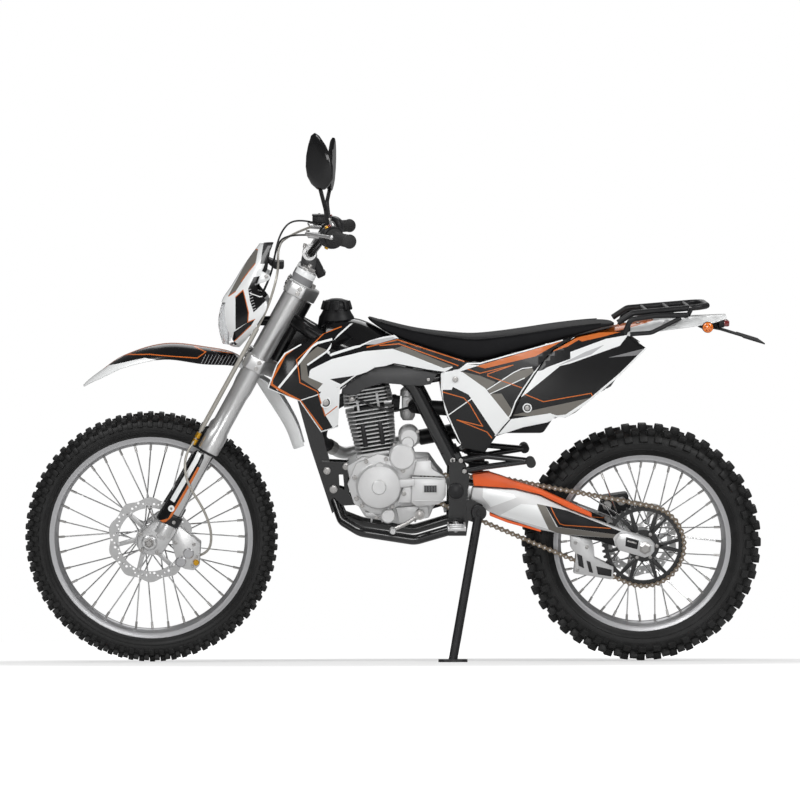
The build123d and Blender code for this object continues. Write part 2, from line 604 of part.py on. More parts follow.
def on_tank(share, *steps):
    """The x at a share of the way to the tank's tail, and places up from the line there."""
    line = HEAD[1] + (TANK_TAIL[1] - HEAD[1]) * share
    return (HEAD[0] + (TANK_TAIL[0] - HEAD[0]) * share, *(line + step for step in steps))


def fuel_tank():
    """The tank between the spars, with its filler neck."""
    rod_x, rod_z, rod_radius = TANK_ROD
    share, step, radius = FILLER
    x, top = on_tank(share, step)
    tank = body([(*on_tank(share, low, high), *half) for share, low, high, *half in TANK_ROWS], 12)
    tank += Pos(x, 0, top - FILLER_NECK / 2) * Cylinder(radius, FILLER_NECK)
    tank -= both(spar(SPAR_RADIUS + TANK_GAP))
    tank -= prism(near(HEAD, GUSSET_HEAD), -GUSSET_HALF - TANK_GAP, GUSSET_HALF + TANK_GAP)
    return tank - cross_rod(rod_x, rod_z, PLATE_OUT, rod_radius + TANK_GAP)


def filler_cap():
    """The screw cap on the neck."""
    share, step, radius = FILLER
    x, top = on_tank(share, step + SEAT_GAP)
    return Pos(x, 0, top) * Cylinder(radius + 2, CAP_HEIGHT, align=(Align.CENTER, Align.CENTER, Align.MIN))


def shroud():
    """The left shroud with a boss that reaches the tank."""
    return (skin(SHROUD_TABLE, SHROUD_LEVELS) & prism(SHROUD, -PANEL_REACH, 0)) + disc(*SHROUD_BOSS)


def knee_cover():
    """The moulded cover over the left spar, under the shroud's edge."""
    inner = 100.0 + SPAR_RADIUS + SEAT_GAP
    return prism(KNEE_COVER, -inner - 2 * SKIN, -inner)


def panel(outline, bosses, inner):
    """A left side panel on the shared skin, with bosses that reach inwards."""
    shape = skin(COVER_TABLE, COVER_LEVELS) & prism(outline, -PANEL_REACH, 0)
    for x, z in bosses:
        shape += disc(x, z, BOSS_RADIUS, -127, -inner)
    return shape


def rear_fender():
    """The tail fender, cut away under the seat, on two posts."""
    seat_room = [(440, 930), (606, 960), (606, 932), (560, 928), (440, 893)]
    return gutter(REAR_FENDER_ROWS) - prism(seat_room, -PLATE_OUT, PLATE_OUT) + both(
        rod((628, -72, 898), (628, -72, 933), 8))


# ------------------------------------------------------------------ steering gear
# y, forward
CLAMP = [(-128, -20), (-128, 22), (-108, 34), (-80, 30), (-58, 16), (58, 16), (80, 30), (108, 34), (128, 22),
         (128, -20), (100, -34), (60, -36), (26, -60), (-26, -60), (-60, -36), (-100, -34)]
CLAMP_REACH = 62.0               # the lower clamp's rear corners from the steering axis
# steps from the front axle
AXLE_LUG = [(12, 57), (64, 64), (76, 32), (36, -30), (0, -36), (-32, -18), (-32, 18), (-14, 37)]
CALIPER = [(58, 35), (78, 44), (139, -6), (134, -70), (118, -82), (92, -78), (74, -60), (62, -20)]
# steps from the head anchor: x, z, slope, half width, edge depth
FENDER_ROWS = [(-577, -247, 42, 30, 4), (-533, -211, 36, 62, 14), (-467, -167, 22, 76, 26),
               (-354, -134, 4, 80, 36), (-237, -144, -8, 76, 40), (-153, -165, -22, 62, 30),
               (-113, -217, -60, 58, 16), (-73, -272, -56, 58, 12), (-17, -362, -60, 50, 8),
               (5, -413, -66, 40, 6)]
# steps from the head anchor: z, nose x, tail x, half width
MASK_ROWS = [(-140, -169, -147, 56), (-117, -183, -127, 84), (-71, -191, -95, 112), (-17, -191, -69, 116),
             (25, -165, -97, 104), (83, -129, -79, 84), (141, -87, -55, 62)]
LENS = [(-163, -133), (-187, -125), (-201, -77), (-199, -32), (-179, -17), (-157, -17), (-157, -133)]
LENS_HALF = 65.0
LAMP_BODY = [(-157, -25), (-117, -31), (-115, -109), (-157, -117)]
RISER = [(13, 33), (49, 13), (65, 103), (61, 129), (33, 133), (23, 103)]
# steps from the head anchor, from the middle out
BAR_SIDE = [(45, -58, 116), (51, -110, 121), (87, -214, 173), (152, -BAR_HALF, 168)]
# y, forward, about a fork leg
GUARD_SECTION = ((-31, -20), (-31, 26), (-22, 34), (22, 34), (22, 30), (-20, 30), (-27, 24), (-27, -20))
GUARD_PAD = ((-22, 12), (-22, 32), (20, 32), (20, 12))
MIRROR = [(-14, 0), (-44, 26), (-47, 62), (-34, 110), (-6, 148), (10, 150), (36, 96), (44, 52),
          (30, 14), (10, 0)]


def leg_room():
    """The room that both fork legs take, for what they pass through."""
    fit = 0.05
    return both(rod(on_fork(900, -FORK_SPREAD), on_fork(-120, -FORK_SPREAD), FORK_OUTER + fit))


def triple_clamps(handlebar):
    """Both clamps, the stem and the handlebar risers."""
    clamps = fork_slice(CLAMP, *UPPER_CLAMP) + fork_slice(CLAMP, *LOWER_CLAMP) - leg_room()
    clamps += on_axis(LOWER_CLAMP[0] + OVERCUT, UPPER_CLAMP[1] - OVERCUT, STEM_RADIUS)
    return clamps + (both(prism(near(HEAD, RISER), -58, -30)) - handlebar)


def fork_upper_tubes():
    """The outer tubes with their lower collars."""
    collar = 36.0
    low, high = OUTER_TUBE[1], OUTER_TUBE[0]
    leg = rod(on_fork(low, -FORK_SPREAD), on_fork(high, -FORK_SPREAD), FORK_OUTER)
    return both(leg + rod(on_fork(low, -FORK_SPREAD), on_fork(low - collar, -FORK_SPREAD), FORK_COLLAR))


def fork_lower_legs():
    """The inner legs with their axle lugs and the front axle."""
    leg = rod(on_fork(LEG_END, -FORK_SPREAD), on_fork(OUTER_TUBE[1] + SEAT_GAP, -FORK_SPREAD), FORK_INNER)
    leg += prism(near(FRONT_AXLE, AXLE_LUG), -FORK_SPREAD - 17, -FORK_SPREAD + 24)
    end = FORK_SPREAD + 20
    axle = disc(*FRONT_AXLE, AXLE_RADIUS, -end, end)
    return both(leg) + axle - disc(*FRONT_AXLE, AXLE_BORE, -end - OVERCUT, end + OVERCUT)


def fork_guards():
    """The plastic guards in front of the lower legs."""
    start, end, pad = OUTER_TUBE[1] + 14, LEG_END - 46, 26
    guard = fork_slice([(y - FORK_SPREAD, f) for y, f in GUARD_SECTION], start, end)
    return both(guard + fork_slice([(y - FORK_SPREAD, f) for y, f in GUARD_PAD], end - pad - 4, end - 4))


def front_fender():
    """The high front fender with its tail, under the lower clamp."""
    seat_block = fork_slice([(-36, -30), (36, -30), (36, 30), (-36, 30)], LOWER_CLAMP[1], LOWER_CLAMP[1] + 16)
    sheet = gutter([(HEAD[0] + x, HEAD[1] + z, *rest) for x, z, *rest in FENDER_ROWS])
    return sheet + seat_block - leg_room() - fork_slice(CLAMP, LOWER_CLAMP[0] - 40, LOWER_CLAMP[1])


def headlight_mask():
    """The mask's shell, open behind and cut for the lens."""
    flank, nose_share = 0.86, 0.45
    faces = []
    for z, nose, tail, half in MASK_ROWS:
        nose, tail, middle = HEAD[0] + nose, HEAD[0] + tail, HEAD[0] + (nose + tail) / 2
        outer = [(tail, -half), (middle, -half * flank), (nose, -half * nose_share)]
        inner = [(tail, SKIN - half), (middle + SKIN, SKIN - half * flank),
                 (nose + SKIN, SKIN - half * nose_share)]
        loop = outer + [(x, -y) for x, y in reversed(outer)] + [(x, -y) for x, y in inner] + inner[::-1]
        faces.append(Plane.XY.offset(HEAD[1] + z) * make_face(Polyline(*loop, close=True)))
    return loft(faces, ruled=True) - prism(near(HEAD, LENS), -LENS_HALF - OVERCUT, LENS_HALF + OVERCUT)


def headlight_unit():
    """The lamp's body behind the lens, on two arms from the fork legs."""
    half, arm = 50.0, 8.0
    unit = prism([(x + SEAT_GAP, z) for x, z in near(HEAD, LAMP_BODY)], -half, half)
    arms = both(rod(at(HEAD, -121, -half + arm, -72), at(HEAD, -55, -FORK_SPREAD + 22, -72), arm))
    return unit + arms - leg_room()


def handlebar():
    """The bent bar, the same on both sides."""
    side = [at(HEAD, x, y, z) for x, y, z in BAR_SIDE]
    return tube(side[::-1] + [Vector(p.X, -p.Y, p.Z) for p in side], BAR_RADIUS, [60, 60, 40, 40, 60, 60])


BAR_END = at(HEAD, *[BAR_SIDE[3][i] for i in (0, 1, 2)])
BAR_LINE = (at(HEAD, *BAR_SIDE[2]) - BAR_END).normalized()
SWITCH_END = BAR_END + BAR_LINE * (GRIP_LENGTH + OVERCUT)
PERCH = SWITCH_END + BAR_LINE * 50
LEVER_REACH = Vector(-52, 0, 4)


def grips():
    """Rubber grips with an inner flange."""
    grip = rod(BAR_END - BAR_LINE * 6, BAR_END + BAR_LINE * GRIP_LENGTH, GRIP_RADIUS)
    grip += rod(BAR_END + BAR_LINE * (GRIP_LENGTH - 5), BAR_END + BAR_LINE * GRIP_LENGTH, GRIP_RADIUS + 7)
    return both(grip - rod(BAR_END, BAR_END + BAR_LINE * 200, BAR_RADIUS + 0.05))


def hand_controls(bar):
    """Switch boxes, perches and levers."""
    switch = rod(SWITCH_END, SWITCH_END + BAR_LINE * 34, 31)
    perch = rod(PERCH - BAR_LINE * 10, PERCH + BAR_LINE * 12, 20) + rod(PERCH, PERCH + LEVER_REACH, 9)
    start = PERCH + LEVER_REACH
    lever = tube([start, start + Vector(-4, -40, 6), BAR_END + Vector(-50, 10, 10)], 6, 30)
    return both(switch + perch - bar + lever)


def mirror_unit(foot, top, turn, tilt):
    """A stem and a back-curved mirror head for the left side."""
    stem = tube([foot, foot + Vector(-6, -10, 50), top], 5.5, 30)
    face = extrude(Plane.YZ * make_face(Polyline(*MIRROR, close=True)), 9, both=True)
    return stem + Pos(*top) * Rot(0, tilt, turn) * face


def mirrors():
    """Both mirrors, turned each its own way."""
    foot = PERCH + BAR_LINE + Vector(2, 0, 20.2)
    left = mirror_unit(foot, BAR_END + Vector(-75, 112, 131), 48, -8)
    return left + mirrored(mirror_unit(foot, BAR_END + Vector(-55, 100, 103), 8, 4))


def instrument():
    """The small dash between the risers."""
    return Pos(*at(HEAD, 67, 0, 73)) * Rot(0, -27, 0) * Box(24, 60 - 2 * SEAT_GAP, 52)


def front_caliper(legs):
    """The two-pot caliper behind the left leg, astride the disc."""
    slot = DISC_THICKNESS / 2 + 3
    caliper = prism(near(FRONT_AXLE, CALIPER), -80, -38)
    return caliper - disc(*FRONT_AXLE, FRONT_DISC_RADIUS + 3, FRONT_DISC_Y - slot, FRONT_DISC_Y + slot) - legs


def brake_hose():
    """The front brake's hose, from the right-hand perch to the caliper, as steps from its anchors."""
    beside, ahead = -FORK_SPREAD - 6, -FORK_OUTER - 17
    upper = [at(HEAD, 48, 236, 174), at(HEAD, -30, 150, 150), at(HEAD, -44, 20, 118), at(HEAD, -38, -90, 70)]
    leg = [on_fork(60, beside, ahead), on_fork(400, beside, ahead), on_fork(500, beside - 16, ahead - 8)]
    lower = [at(FRONT_AXLE, 101, -138, 171), at(FRONT_AXLE, 153, -128, 89), at(FRONT_AXLE, 172, -112, 20),
             at(FRONT_AXLE, 160, -84, -34), at(FRONT_AXLE, 128, -66, -44)]
    return tube(upper + leg + lower, HOSE_RADIUS, 24)


def cables():
    """Clutch cable and throttle cables, from the bar to behind the lamp."""
    left = tube([at(HEAD, 60, -236, 175), at(HEAD, -20, -150, 176), at(HEAD, -48, -60, 126),
                 at(HEAD, -62, -30, 40), at(HEAD, -112, -24, -40)], CABLE_RADIUS, 24)
    right = tube([at(HEAD, 80, 236, 177), at(HEAD, 4, 190, 206), at(HEAD, -44, 70, 160),
                  at(HEAD, -60, 34, 40), at(HEAD, -112, 26, -50)], CABLE_RADIUS, 24)
    return left + right


# ------------------------------------------------------------------ rear end fittings
RACK_X = (680, 740, 796)
PLATE_LINE = [(884, 925), (1002, 889)]        # the plate bracket's upper face, x and z
BRACKET_CLEVIS = [(816, 950), (884, 948), (884, 940), (880, 926), (838, 922), (816, 938)]


def luggage_rack():
    """The tube rack over the tail."""
    side = tube([(608, -95, 889), (632, -110, 956), (700, -110, 966), (790, -106, 968)], 7, [24, 40])
    low = tube([(632, -110, 916), (690, -110, 920), (770, -106, 960)], 6, [40])
    loop = [(600, -92, 946), (640, -96, 972), (846, -88, 990)]
    rack = both(side + low) + tube(loop + [(x, -y, z) for x, y, z in reversed(loop)], 8, [24, 40, 40, 24])
    for x in RACK_X:
        rack += cross_rod(x, 975.5 + (x - RACK_X[0]) * 0.086, 94, 6)
    return rack + both(rod((790, -106, 968), (800, -90, 984), 6) + rod((613, -95, 895), (640, -76, 897), 7))


def plate_face(share, y):
    """A point of the bracket's upper face, and its normal."""
    (x0, z0), (x1, z1) = PLATE_LINE
    run = Vector(x1 - x0, 0, z1 - z0)
    return Vector(x0, y, z0) + run * share, Vector(z0 - z1, 0, x1 - x0).normalized()


PLATE_SHARE = 0.72                # where the plate's holes lie along the bracket


def plate_bracket():
    """The bracket behind the fender, with two holes for a number plate."""
    sheet, half = 4.0, PLATE_HOLE_SPACING / 2 + 12
    (x0, z0), (x1, z1) = PLATE_LINE
    neck = [(838, 934), (x0, z0), (x1, z1), (x1, z1 - sheet), (x0, z0 - sheet), (838, 930)]
    start, end = plate_face(0.5, 0)[0], (x1, z1)
    wide = [(start.X, start.Z), end, (end[0], end[1] - sheet), (start.X, start.Z - sheet)]
    bracket = prism(BRACKET_CLEVIS, -16, 16) + prism(neck, -50, 50) + prism(wide, -half, half)
    for side in (-1, 1):
        point, normal = plate_face(PLATE_SHARE, side * PLATE_HOLE_SPACING / 2)
        bracket -= rod(point - normal * 3 * sheet, point + normal * 3 * sheet, PLATE_HOLE_RADIUS)
    return bracket


def tail_lamp():
    """The rear lamp on the fender's end."""
    return box((880, 911), (-42, 42), (928, 948))


def rear_indicators():
    """Round indicators on short stalks."""
    return both(disc(846, 932, 15, -92, -60) + rod((846, -60, 932), (846, -46, 932), 7))


# ------------------------------------------------------------------ rider's fittings
def footpegs():
    """Wide rider's pegs."""
    peg = box((134, 184), (-222, -146), (392, 408))
    peg += box((150, 168), (-146, -PLATE_OUT - SEAT_GAP), (380, 404))
    return both(peg)


def passenger_pegs():
    """Round pegs on bent brackets."""
    end = (358, -142, 574)
    bracket = tube([(170, -125, 574), (242, -130, 586), end], 8, [60]) + tube(
        [(180, -125, 545), (236, -130, 556), end], 8, [60])
    return both(bracket + rod((360, -196, 574), (360, -134, 574), 13))


def foot_controls():
    """Gear lever on the left, brake pedal on the right."""
    shifter = tube([(60, -150, 428), (22, -158, 404), (-13, -158, 388)], 5.5, [20]) + rod(
        (-13, -186, 388), (-13, -158, 388), 9) + rod((60, -156, 428), (60, -78, 428), 9)
    pedal = tube([(168, 132, 430), (118, 136, 416), (20, 156, 384), (-40, 156, 392)], 6, [30, 60]) + box(
        (-66, -36), (144, 176), (386, 398)) + rod((168, PLATE_OUT + SEAT_GAP, 430), (168, 140, 430), 11)
    return shifter + pedal


# steps from the rear axle
REAR_CALIPER = [(-116, 73), (-104, 121), (-36, 131), (-24, 89), (-76, 61)]
REAR_BRACKET = [(-96, 49), (-36, 33), (-31, 89), (-101, 99)]


def rear_caliper():
    """The rear caliper on its bracket, inside the right arm."""
    slot = DISC_THICKNESS / 2 + 3
    caliper = prism(near(REAR_AXLE, REAR_CALIPER), 44, ARM_IN)
    caliper -= disc(*REAR_AXLE, REAR_DISC_RADIUS + 3, REAR_DISC_Y - slot, REAR_DISC_Y + slot)
    return caliper + prism(near(REAR_AXLE, REAR_BRACKET), REAR_DISC_Y + slot + 3, ARM_IN + 10)


# ------------------------------------------------------------------ side stand, lowered
pivot = Vector(*STAND_PIVOT)
down_way = Vector(-math.tan(math.radians(STAND_FORWARD)), -math.tan(math.radians(STAND_OUT)), -1).normalized()
up_pitch, up_splay = math.radians(STAND_UP_PITCH), math.radians(STAND_UP_SPLAY)
up_way = Vector(math.cos(up_pitch) * math.cos(up_splay), -math.sin(up_splay),
                math.sin(up_pitch) * math.cos(up_splay))
change = (down_way - up_way).normalized()
stand_axis = (Vector(0, 1, 0) - change * change.Y).normalized()
stand_fall = (leaned(pivot) - leaned(pivot + down_way)).Z
stand_length = (leaned(pivot).Z - FOOT_THICKNESS / 2) / stand_fall
foot = pivot + down_way * stand_length
ground = Vector(0, SIN_L, COS_L)
STAND_BOLT, STAND_EYE, EYE_HALF = 8.0, 20.0, 9.0
FOOT_SIZE, FOOT_CORNER = (78.0, 52.0), 16.0
STAND_LUG = [(196, 470), (232, 452), (238, 420), (214, 402), (188, 410)]


def side_stand():
    """The leg with its eye and its foot plate, flat on the ground when lowered."""
    sole = Plane(foot, x_dir=(1, 0, 0), z_dir=ground) * RectangleRounded(*FOOT_SIZE, FOOT_CORNER)
    plate = extrude(sole, FOOT_THICKNESS / 2, both=True)
    stand = rod(pivot + down_way * 14, foot + ground * 1.5, STAND_RADIUS) + plate
    stand += rod(pivot - stand_axis * EYE_HALF, pivot + stand_axis * EYE_HALF, STAND_EYE)
    floor = Plane(foot - ground * (FOOT_THICKNESS / 2), x_dir=(1, 0, 0), z_dir=-ground)
    stand -= extrude(floor * Rectangle(200, 200), 40)
    return stand - rod(pivot - stand_axis * 40, pivot + stand_axis * 40, STAND_BOLT + RUN)


def stand_bracket():
    """The frame's lug for the side stand, with its bolt."""
    bracket = rod(pivot + stand_axis * (EYE_HALF + 0.5), pivot + stand_axis * 16, STAND_EYE)
    bracket += prism(STAND_LUG, STAND_PIVOT[1] + 16, -PLATE_OUT + 0.1)
    bracket += box((188.0, 196.4), (-PLATE_OUT - 8, -PLATE_IN), (415, 466))
    return bracket + rod(pivot - stand_axis * 12, pivot + stand_axis * 15, STAND_BOLT)


# ------------------------------------------------------------------ the machine
def wheel_pieces():
    """What turns with each wheel."""
    front, rear = Pos(FRONT_X, 0, FRONT_Z), Pos(REAR_X, 0, REAR_Z)
    half = HUB_WIDTH / 2
    return {
        "front_tyre": front * tyre(FRONT_TYRE_RADIUS, FRONT_TYRE_WIDTH, FRONT_LUG, FRONT_TREAD_TEETH,
                                   FRONT_RIM_RADIUS),
        "front_wheel": front * wheel(FRONT_RIM_RADIUS, FRONT_RIM_HALF, FRONT_FLANGE, FRONT_WAIST,
                                     ((FRONT_DISC_Y - 3, -half),)),
        "front_brake_disc": front * brake_disc(FRONT_DISC_RADIUS, FRONT_DISC_Y, 10),
        "rear_tyre": rear * tyre(REAR_TYRE_RADIUS, REAR_TYRE_WIDTH, REAR_LUG, REAR_TREAD_TEETH,
                                 REAR_RIM_RADIUS),
        "rear_wheel": rear * wheel(REAR_RIM_RADIUS, REAR_RIM_HALF, REAR_FLANGE, REAR_WAIST,
                                   ((half, REAR_DISC_Y + 3), (CHAIN_Y - 4, -half))),
        "rear_brake_disc": rear * brake_disc(REAR_DISC_RADIUS, REAR_DISC_Y, 9),
        "rear_sprocket": rear * rear_sprocket(),
    }


def chassis_pieces():
    """What stays with the frame."""
    frame, cases, block = frame_tubes(), prism(CASES, CASES_LEFT, CASES_RIGHT), engine_block()
    made = {"drive_chain": drive_chain(), "swingarm": swingarm(), "chain_guides": chain_guides(),
            "shock_absorber": shock_absorber(),
            "main_frame": frame + (engine_mounts() - cases) + stand_bracket(),
            "subframe": subframe() - frame, "engine_block": block, "engine_cylinder": cylinder() - cases,
            "silencer": silencer(), "fuel_tank": fuel_tank(), "filler_cap": filler_cap(),
            "knee_covers": both(knee_cover())}
    made["seat"] = body(SEAT_ROWS, 2) - made["fuel_tank"]
    starter = disc(*STARTER, 36, -118, -30) + disc(STARTER[0] + 26, STARTER[1] + 22, 30, -96, 10)
    made["starter_motor"] = starter - block - made["engine_cylinder"]
    made["exhaust_pipe"] = tube(EXHAUST, PIPE_RADIUS, EXHAUST_BENDS)
    made["exhaust_pipe"] -= made["engine_cylinder"] + made["silencer"]
    made["intake"] = intake() - made["engine_cylinder"] - made["shock_absorber"]
    made["left_shroud"] = shroud() - made["fuel_tank"] - frame
    made["right_shroud"] = mirrored(made["left_shroud"])
    made["side_covers"] = both(panel(SIDE_COVER, SIDE_COVER_BOSSES, PLATE_IN) - made["subframe"] - frame)
    made["tail_panels"] = both(panel(TAIL_PANEL, TAIL_BOSSES, 80) - made["subframe"])
    made["rear_fender"] = rear_fender() - made["subframe"]
    made["luggage_rack"] = luggage_rack() - made["subframe"]
    lamp_room = box((880 - SEAT_GAP, 912), (-43, 43), (927, 949))
    made["tail_lamp"] = tail_lamp() - made["rear_fender"]
    made["plate_bracket"] = plate_bracket() - lamp_room - made["rear_fender"]
    made["rear_indicators"] = rear_indicators() - made["plate_bracket"] - made["rear_fender"]
    made["footpegs"] = footpegs() - frame
    made["passenger_pegs"] = passenger_pegs() - frame
    made["foot_controls"] = foot_controls()
    made["rear_caliper"] = rear_caliper() - made["swingarm"]
    return made


def steering_pieces():
    """What turns with the fork."""
    bar, legs = handlebar(), fork_lower_legs()
    made = {"handlebar": bar, "triple_clamps": triple_clamps(bar), "fork_upper_tubes": fork_upper_tubes(),
            "fork_lower_legs": legs, "fork_guards": fork_guards() - legs, "front_fender": front_fender(),
            "headlight_mask": headlight_mask(), "grips": grips(), "hand_controls": hand_controls(bar),
            "instrument": instrument(), "front_caliper": front_caliper(legs),
            "headlight_lens": prism(near(HEAD, LENS), -LENS_HALF, LENS_HALF)}
    made["headlight_unit"] = headlight_unit() - made["headlight_mask"]
    made["mirrors"] = mirrors() - made["hand_controls"]
    made["brake_hose"] = brake_hose() - made["front_caliper"] - made["hand_controls"] - legs
    made["cables"] = cables() - made["hand_controls"] - made["headlight_unit"] - bar
    return made


parts = wheel_pieces() | chassis_pieces() | steering_pieces() | {"side_stand": side_stand()}

# ------------------------------------------------------------------ lean it on its stand and write it
lean = Pos(0, 0, LIFT) * Rot(LEAN, 0, 0)
leaning = {name: lean * piece for name, piece in parts.items()}
boxes = [piece.bounding_box() for piece in leaning.values()]
low = [min(b.min.X for b in boxes), min(b.min.Y for b in boxes), min(b.min.Z for b in boxes)]
high = [max(b.max.X for b in boxes), max(b.max.Y for b in boxes)]
origin = Vector((low[0] + high[0]) / 2, (low[1] + high[1]) / 2, low[2])
if __name__ == "__main__":
    os.makedirs("parts", exist_ok=True)
    for name, piece in leaning.items():
        export_step(Pos(-origin.X, -origin.Y, -origin.Z) * piece, f"parts/{name}.step")
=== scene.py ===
"""Dresses the dual sport motorcycle that stands leaned on its side stand.

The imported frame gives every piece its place. Shapes here are drawn on the upright machine in
millimetres, with X towards the rear, -Y its left side and Z up from the ground line, and Stance
then leans them as the frame leans.
"""
from bisect import bisect_right
from collections.abc import Callable, Sequence
from dataclasses import dataclass, field, replace
from enum import Enum
import json
import logging
import math

import bpy
from mathutils import Matrix, Vector


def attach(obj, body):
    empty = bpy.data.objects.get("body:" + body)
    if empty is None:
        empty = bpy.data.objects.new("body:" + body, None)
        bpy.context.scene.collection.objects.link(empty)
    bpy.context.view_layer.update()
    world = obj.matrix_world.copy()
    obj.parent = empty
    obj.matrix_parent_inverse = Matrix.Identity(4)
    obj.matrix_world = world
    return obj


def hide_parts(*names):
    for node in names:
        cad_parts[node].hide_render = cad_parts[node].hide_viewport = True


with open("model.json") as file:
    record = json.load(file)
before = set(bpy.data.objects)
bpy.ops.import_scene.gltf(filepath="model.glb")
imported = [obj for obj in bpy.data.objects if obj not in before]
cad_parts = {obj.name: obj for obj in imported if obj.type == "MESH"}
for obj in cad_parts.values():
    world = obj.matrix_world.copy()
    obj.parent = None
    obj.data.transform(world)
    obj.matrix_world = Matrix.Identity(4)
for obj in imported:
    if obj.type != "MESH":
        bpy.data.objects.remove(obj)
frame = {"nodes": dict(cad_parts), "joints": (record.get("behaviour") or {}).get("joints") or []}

LOG = logging.getLogger("motorcycle")
WHEELBASE = 1352.0
REAR_AXLE = Vector((WHEELBASE / 2, 0.0, 331.0))
FRONT_AXLE = Vector((-WHEELBASE / 2, 0.0, 348.0))
Point = tuple[float, float]
Point3 = tuple[float, float, float]
Place = Vector | Point3
Piece = bpy.types.Object
ORIGIN, UP, LEFT, RIGHT = Vector((0, 0, 0)), Vector((0, 0, 1)), Vector((0, -1, 0)), Vector((0, 1, 0))
DOWN, BACK, AHEAD = -UP, Vector((1, 0, 0)), Vector((-1, 0, 0))
ACROSS = Matrix.Diagonal((1.0, -1.0, 1.0, 1.0))  # mirrors left and right


# ---------------------------------------------------------------- placing
@dataclass(frozen=True)
class Stance:
    """How the machine stands: its lean, and where the upright drawing's origin lies."""

    lean: float
    origin: Vector

    @classmethod
    def of_frame(cls, joints: list[dict]) -> "Stance":
        """Reads the lean and the place from the rear wheel's joint.

        Args:
            joints: the frame's joints.

        Returns:
            The stance.
        """
        joint = next(j for j in joints if j["name"] == "rear_wheel")
        lean = math.atan2(joint["axis"][2], joint["axis"][1])
        turned = Matrix.Rotation(lean, 4, "X") @ (REAR_AXLE / 1000)
        return cls(lean, Vector(joint["pos_m"]) - turned)

    @property
    def matrix(self) -> Matrix:
        """From millimetres on the upright machine to metres in the row frame."""
        return Matrix.Translation(self.origin) @ Matrix.Rotation(self.lean, 4, "X") @ Matrix.Scale(0.001, 4)

    def at(self, x: float, y: float, z: float) -> Vector:
        """A point of the upright machine in the row frame."""
        return self.matrix @ Vector((x, y, z))


STANCE = Stance.of_frame(frame["joints"])


# ---------------------------------------------------------------- colours
class Tone(Enum):
    """The machine's colours, as linear values."""

    WHITE = (0.82, 0.83, 0.83)
    BLACK = (0.004, 0.004, 0.0045)
    INK = (0.009, 0.009, 0.010)
    ORANGE = (0.56, 0.135, 0.022)
    BRIGHT_ORANGE = (0.80, 0.11, 0.012)
    GREY = (0.20, 0.20, 0.205)
    DARK_GREY = (0.045, 0.045, 0.046)
    WARM_GREY = (0.155, 0.145, 0.128)
    HOSE_GREY = (0.42, 0.40, 0.36)
    GOLD = (0.62, 0.33, 0.03)
    PALE_GREY = (0.46, 0.46, 0.47)
    SILVER = (0.62, 0.62, 0.62)
    CAST = (0.66, 0.66, 0.66)
    STEEL = (0.42, 0.41, 0.40)
    BROWN_STEEL = (0.17, 0.125, 0.085)
    RUBBER = (0.010, 0.010, 0.010)
    RED = (0.17, 0.012, 0.012)
    AMBER = (0.85, 0.20, 0.015)
    CLEAR = (0.92, 0.93, 0.94)


# ---------------------------------------------------------------- node work
class Nodes:
    """A node tree that is being filled."""

    def __init__(self, tree: bpy.types.NodeTree) -> None:
        """Starts on a tree, with the tree's own nodes left as they are."""
        self.tree = tree
        self.count = 0

    def add(self, kind: str, **inputs: object) -> bpy.types.Node:
        """Adds a node.

        Args:
            kind: the node's type name without its "ShaderNode" start.
            inputs: attributes in lower case, sockets by their name with _ for a space.

        Returns:
            The node.
        """
        node = self.add_plain("ShaderNode" + kind)
        for key, value in inputs.items():
            if key[0].islower():
                setattr(node, key, value)
            else:
                self.feed(node.inputs[key.replace("_", " ")], value)
        return node

    def add_plain(self, kind: str) -> bpy.types.Node:
        """Adds a node by its full type name.

        Args:
            kind: the node's full type name.

        Returns:
            The node.
        """
        node = self.tree.nodes.new(kind)
        node.location = (220 * (self.count % 12), -240 * (self.count // 12))
        self.count += 1
        return node

    def feed(self, socket: bpy.types.NodeSocket, value: object) -> None:
        """Links a socket to another node's output, or sets its value.

        Args:
            socket: the input socket.
            value: a socket, a Tone or a plain value.
        """
        if isinstance(value, bpy.types.NodeSocket):
            self.tree.links.new(value, socket)
        elif isinstance(value, Tone):
            socket.default_value = (*value.value, 1.0)
        else:
            socket.default_value = value

    def math(self, operation: str, first: object, second: object = 0.0) -> bpy.types.NodeSocket:
        """A Math node's output for two values or sockets.

        Args:
            operation: the Math node's operation.
            first: the first value.
            second: the second value.

        Returns:
            The output socket.
        """
        node = self.add("Math", operation=operation)
        self.feed(node.inputs[0], first)
        self.feed(node.inputs[1], second)
        return node.outputs[0]

    def mix(self, share: object, first: object, second: object) -> bpy.types.NodeSocket:
        """A colour between two, by share.

        Args:
            share: how much of the second shows.
            first: the colour at a share of 0.
            second: the colour at a share of 1.

        Returns:
            The colour's output socket.
        """
        node = self.add("Mix", data_type="RGBA")
        self.feed(node.inputs[0], share)
        self.feed(node.inputs[6], first)
        self.feed(node.inputs[7], second)
        return node.outputs[2]


def shared_group(name: str, inputs: dict[str, float], outputs: tuple[str, ...]) -> Nodes | None:
    """Starts a node group with named float sockets, once.

    Args:
        name: the group's name.
        inputs: the input names and their first values.
        outputs: the output names.

    Returns:
        The group's nodes to fill, or None where it is there already.
    """
    if name in bpy.data.node_groups:
        return None
    tree = bpy.data.node_groups.new(name, "ShaderNodeTree")
    for key, value in inputs.items():
        tree.interface.new_socket(key, in_out="INPUT", socket_type="NodeSocketFloat").default_value = value
    for key in outputs:
        tree.interface.new_socket(key, in_out="OUTPUT", socket_type="NodeSocketFloat")
    return Nodes(tree)


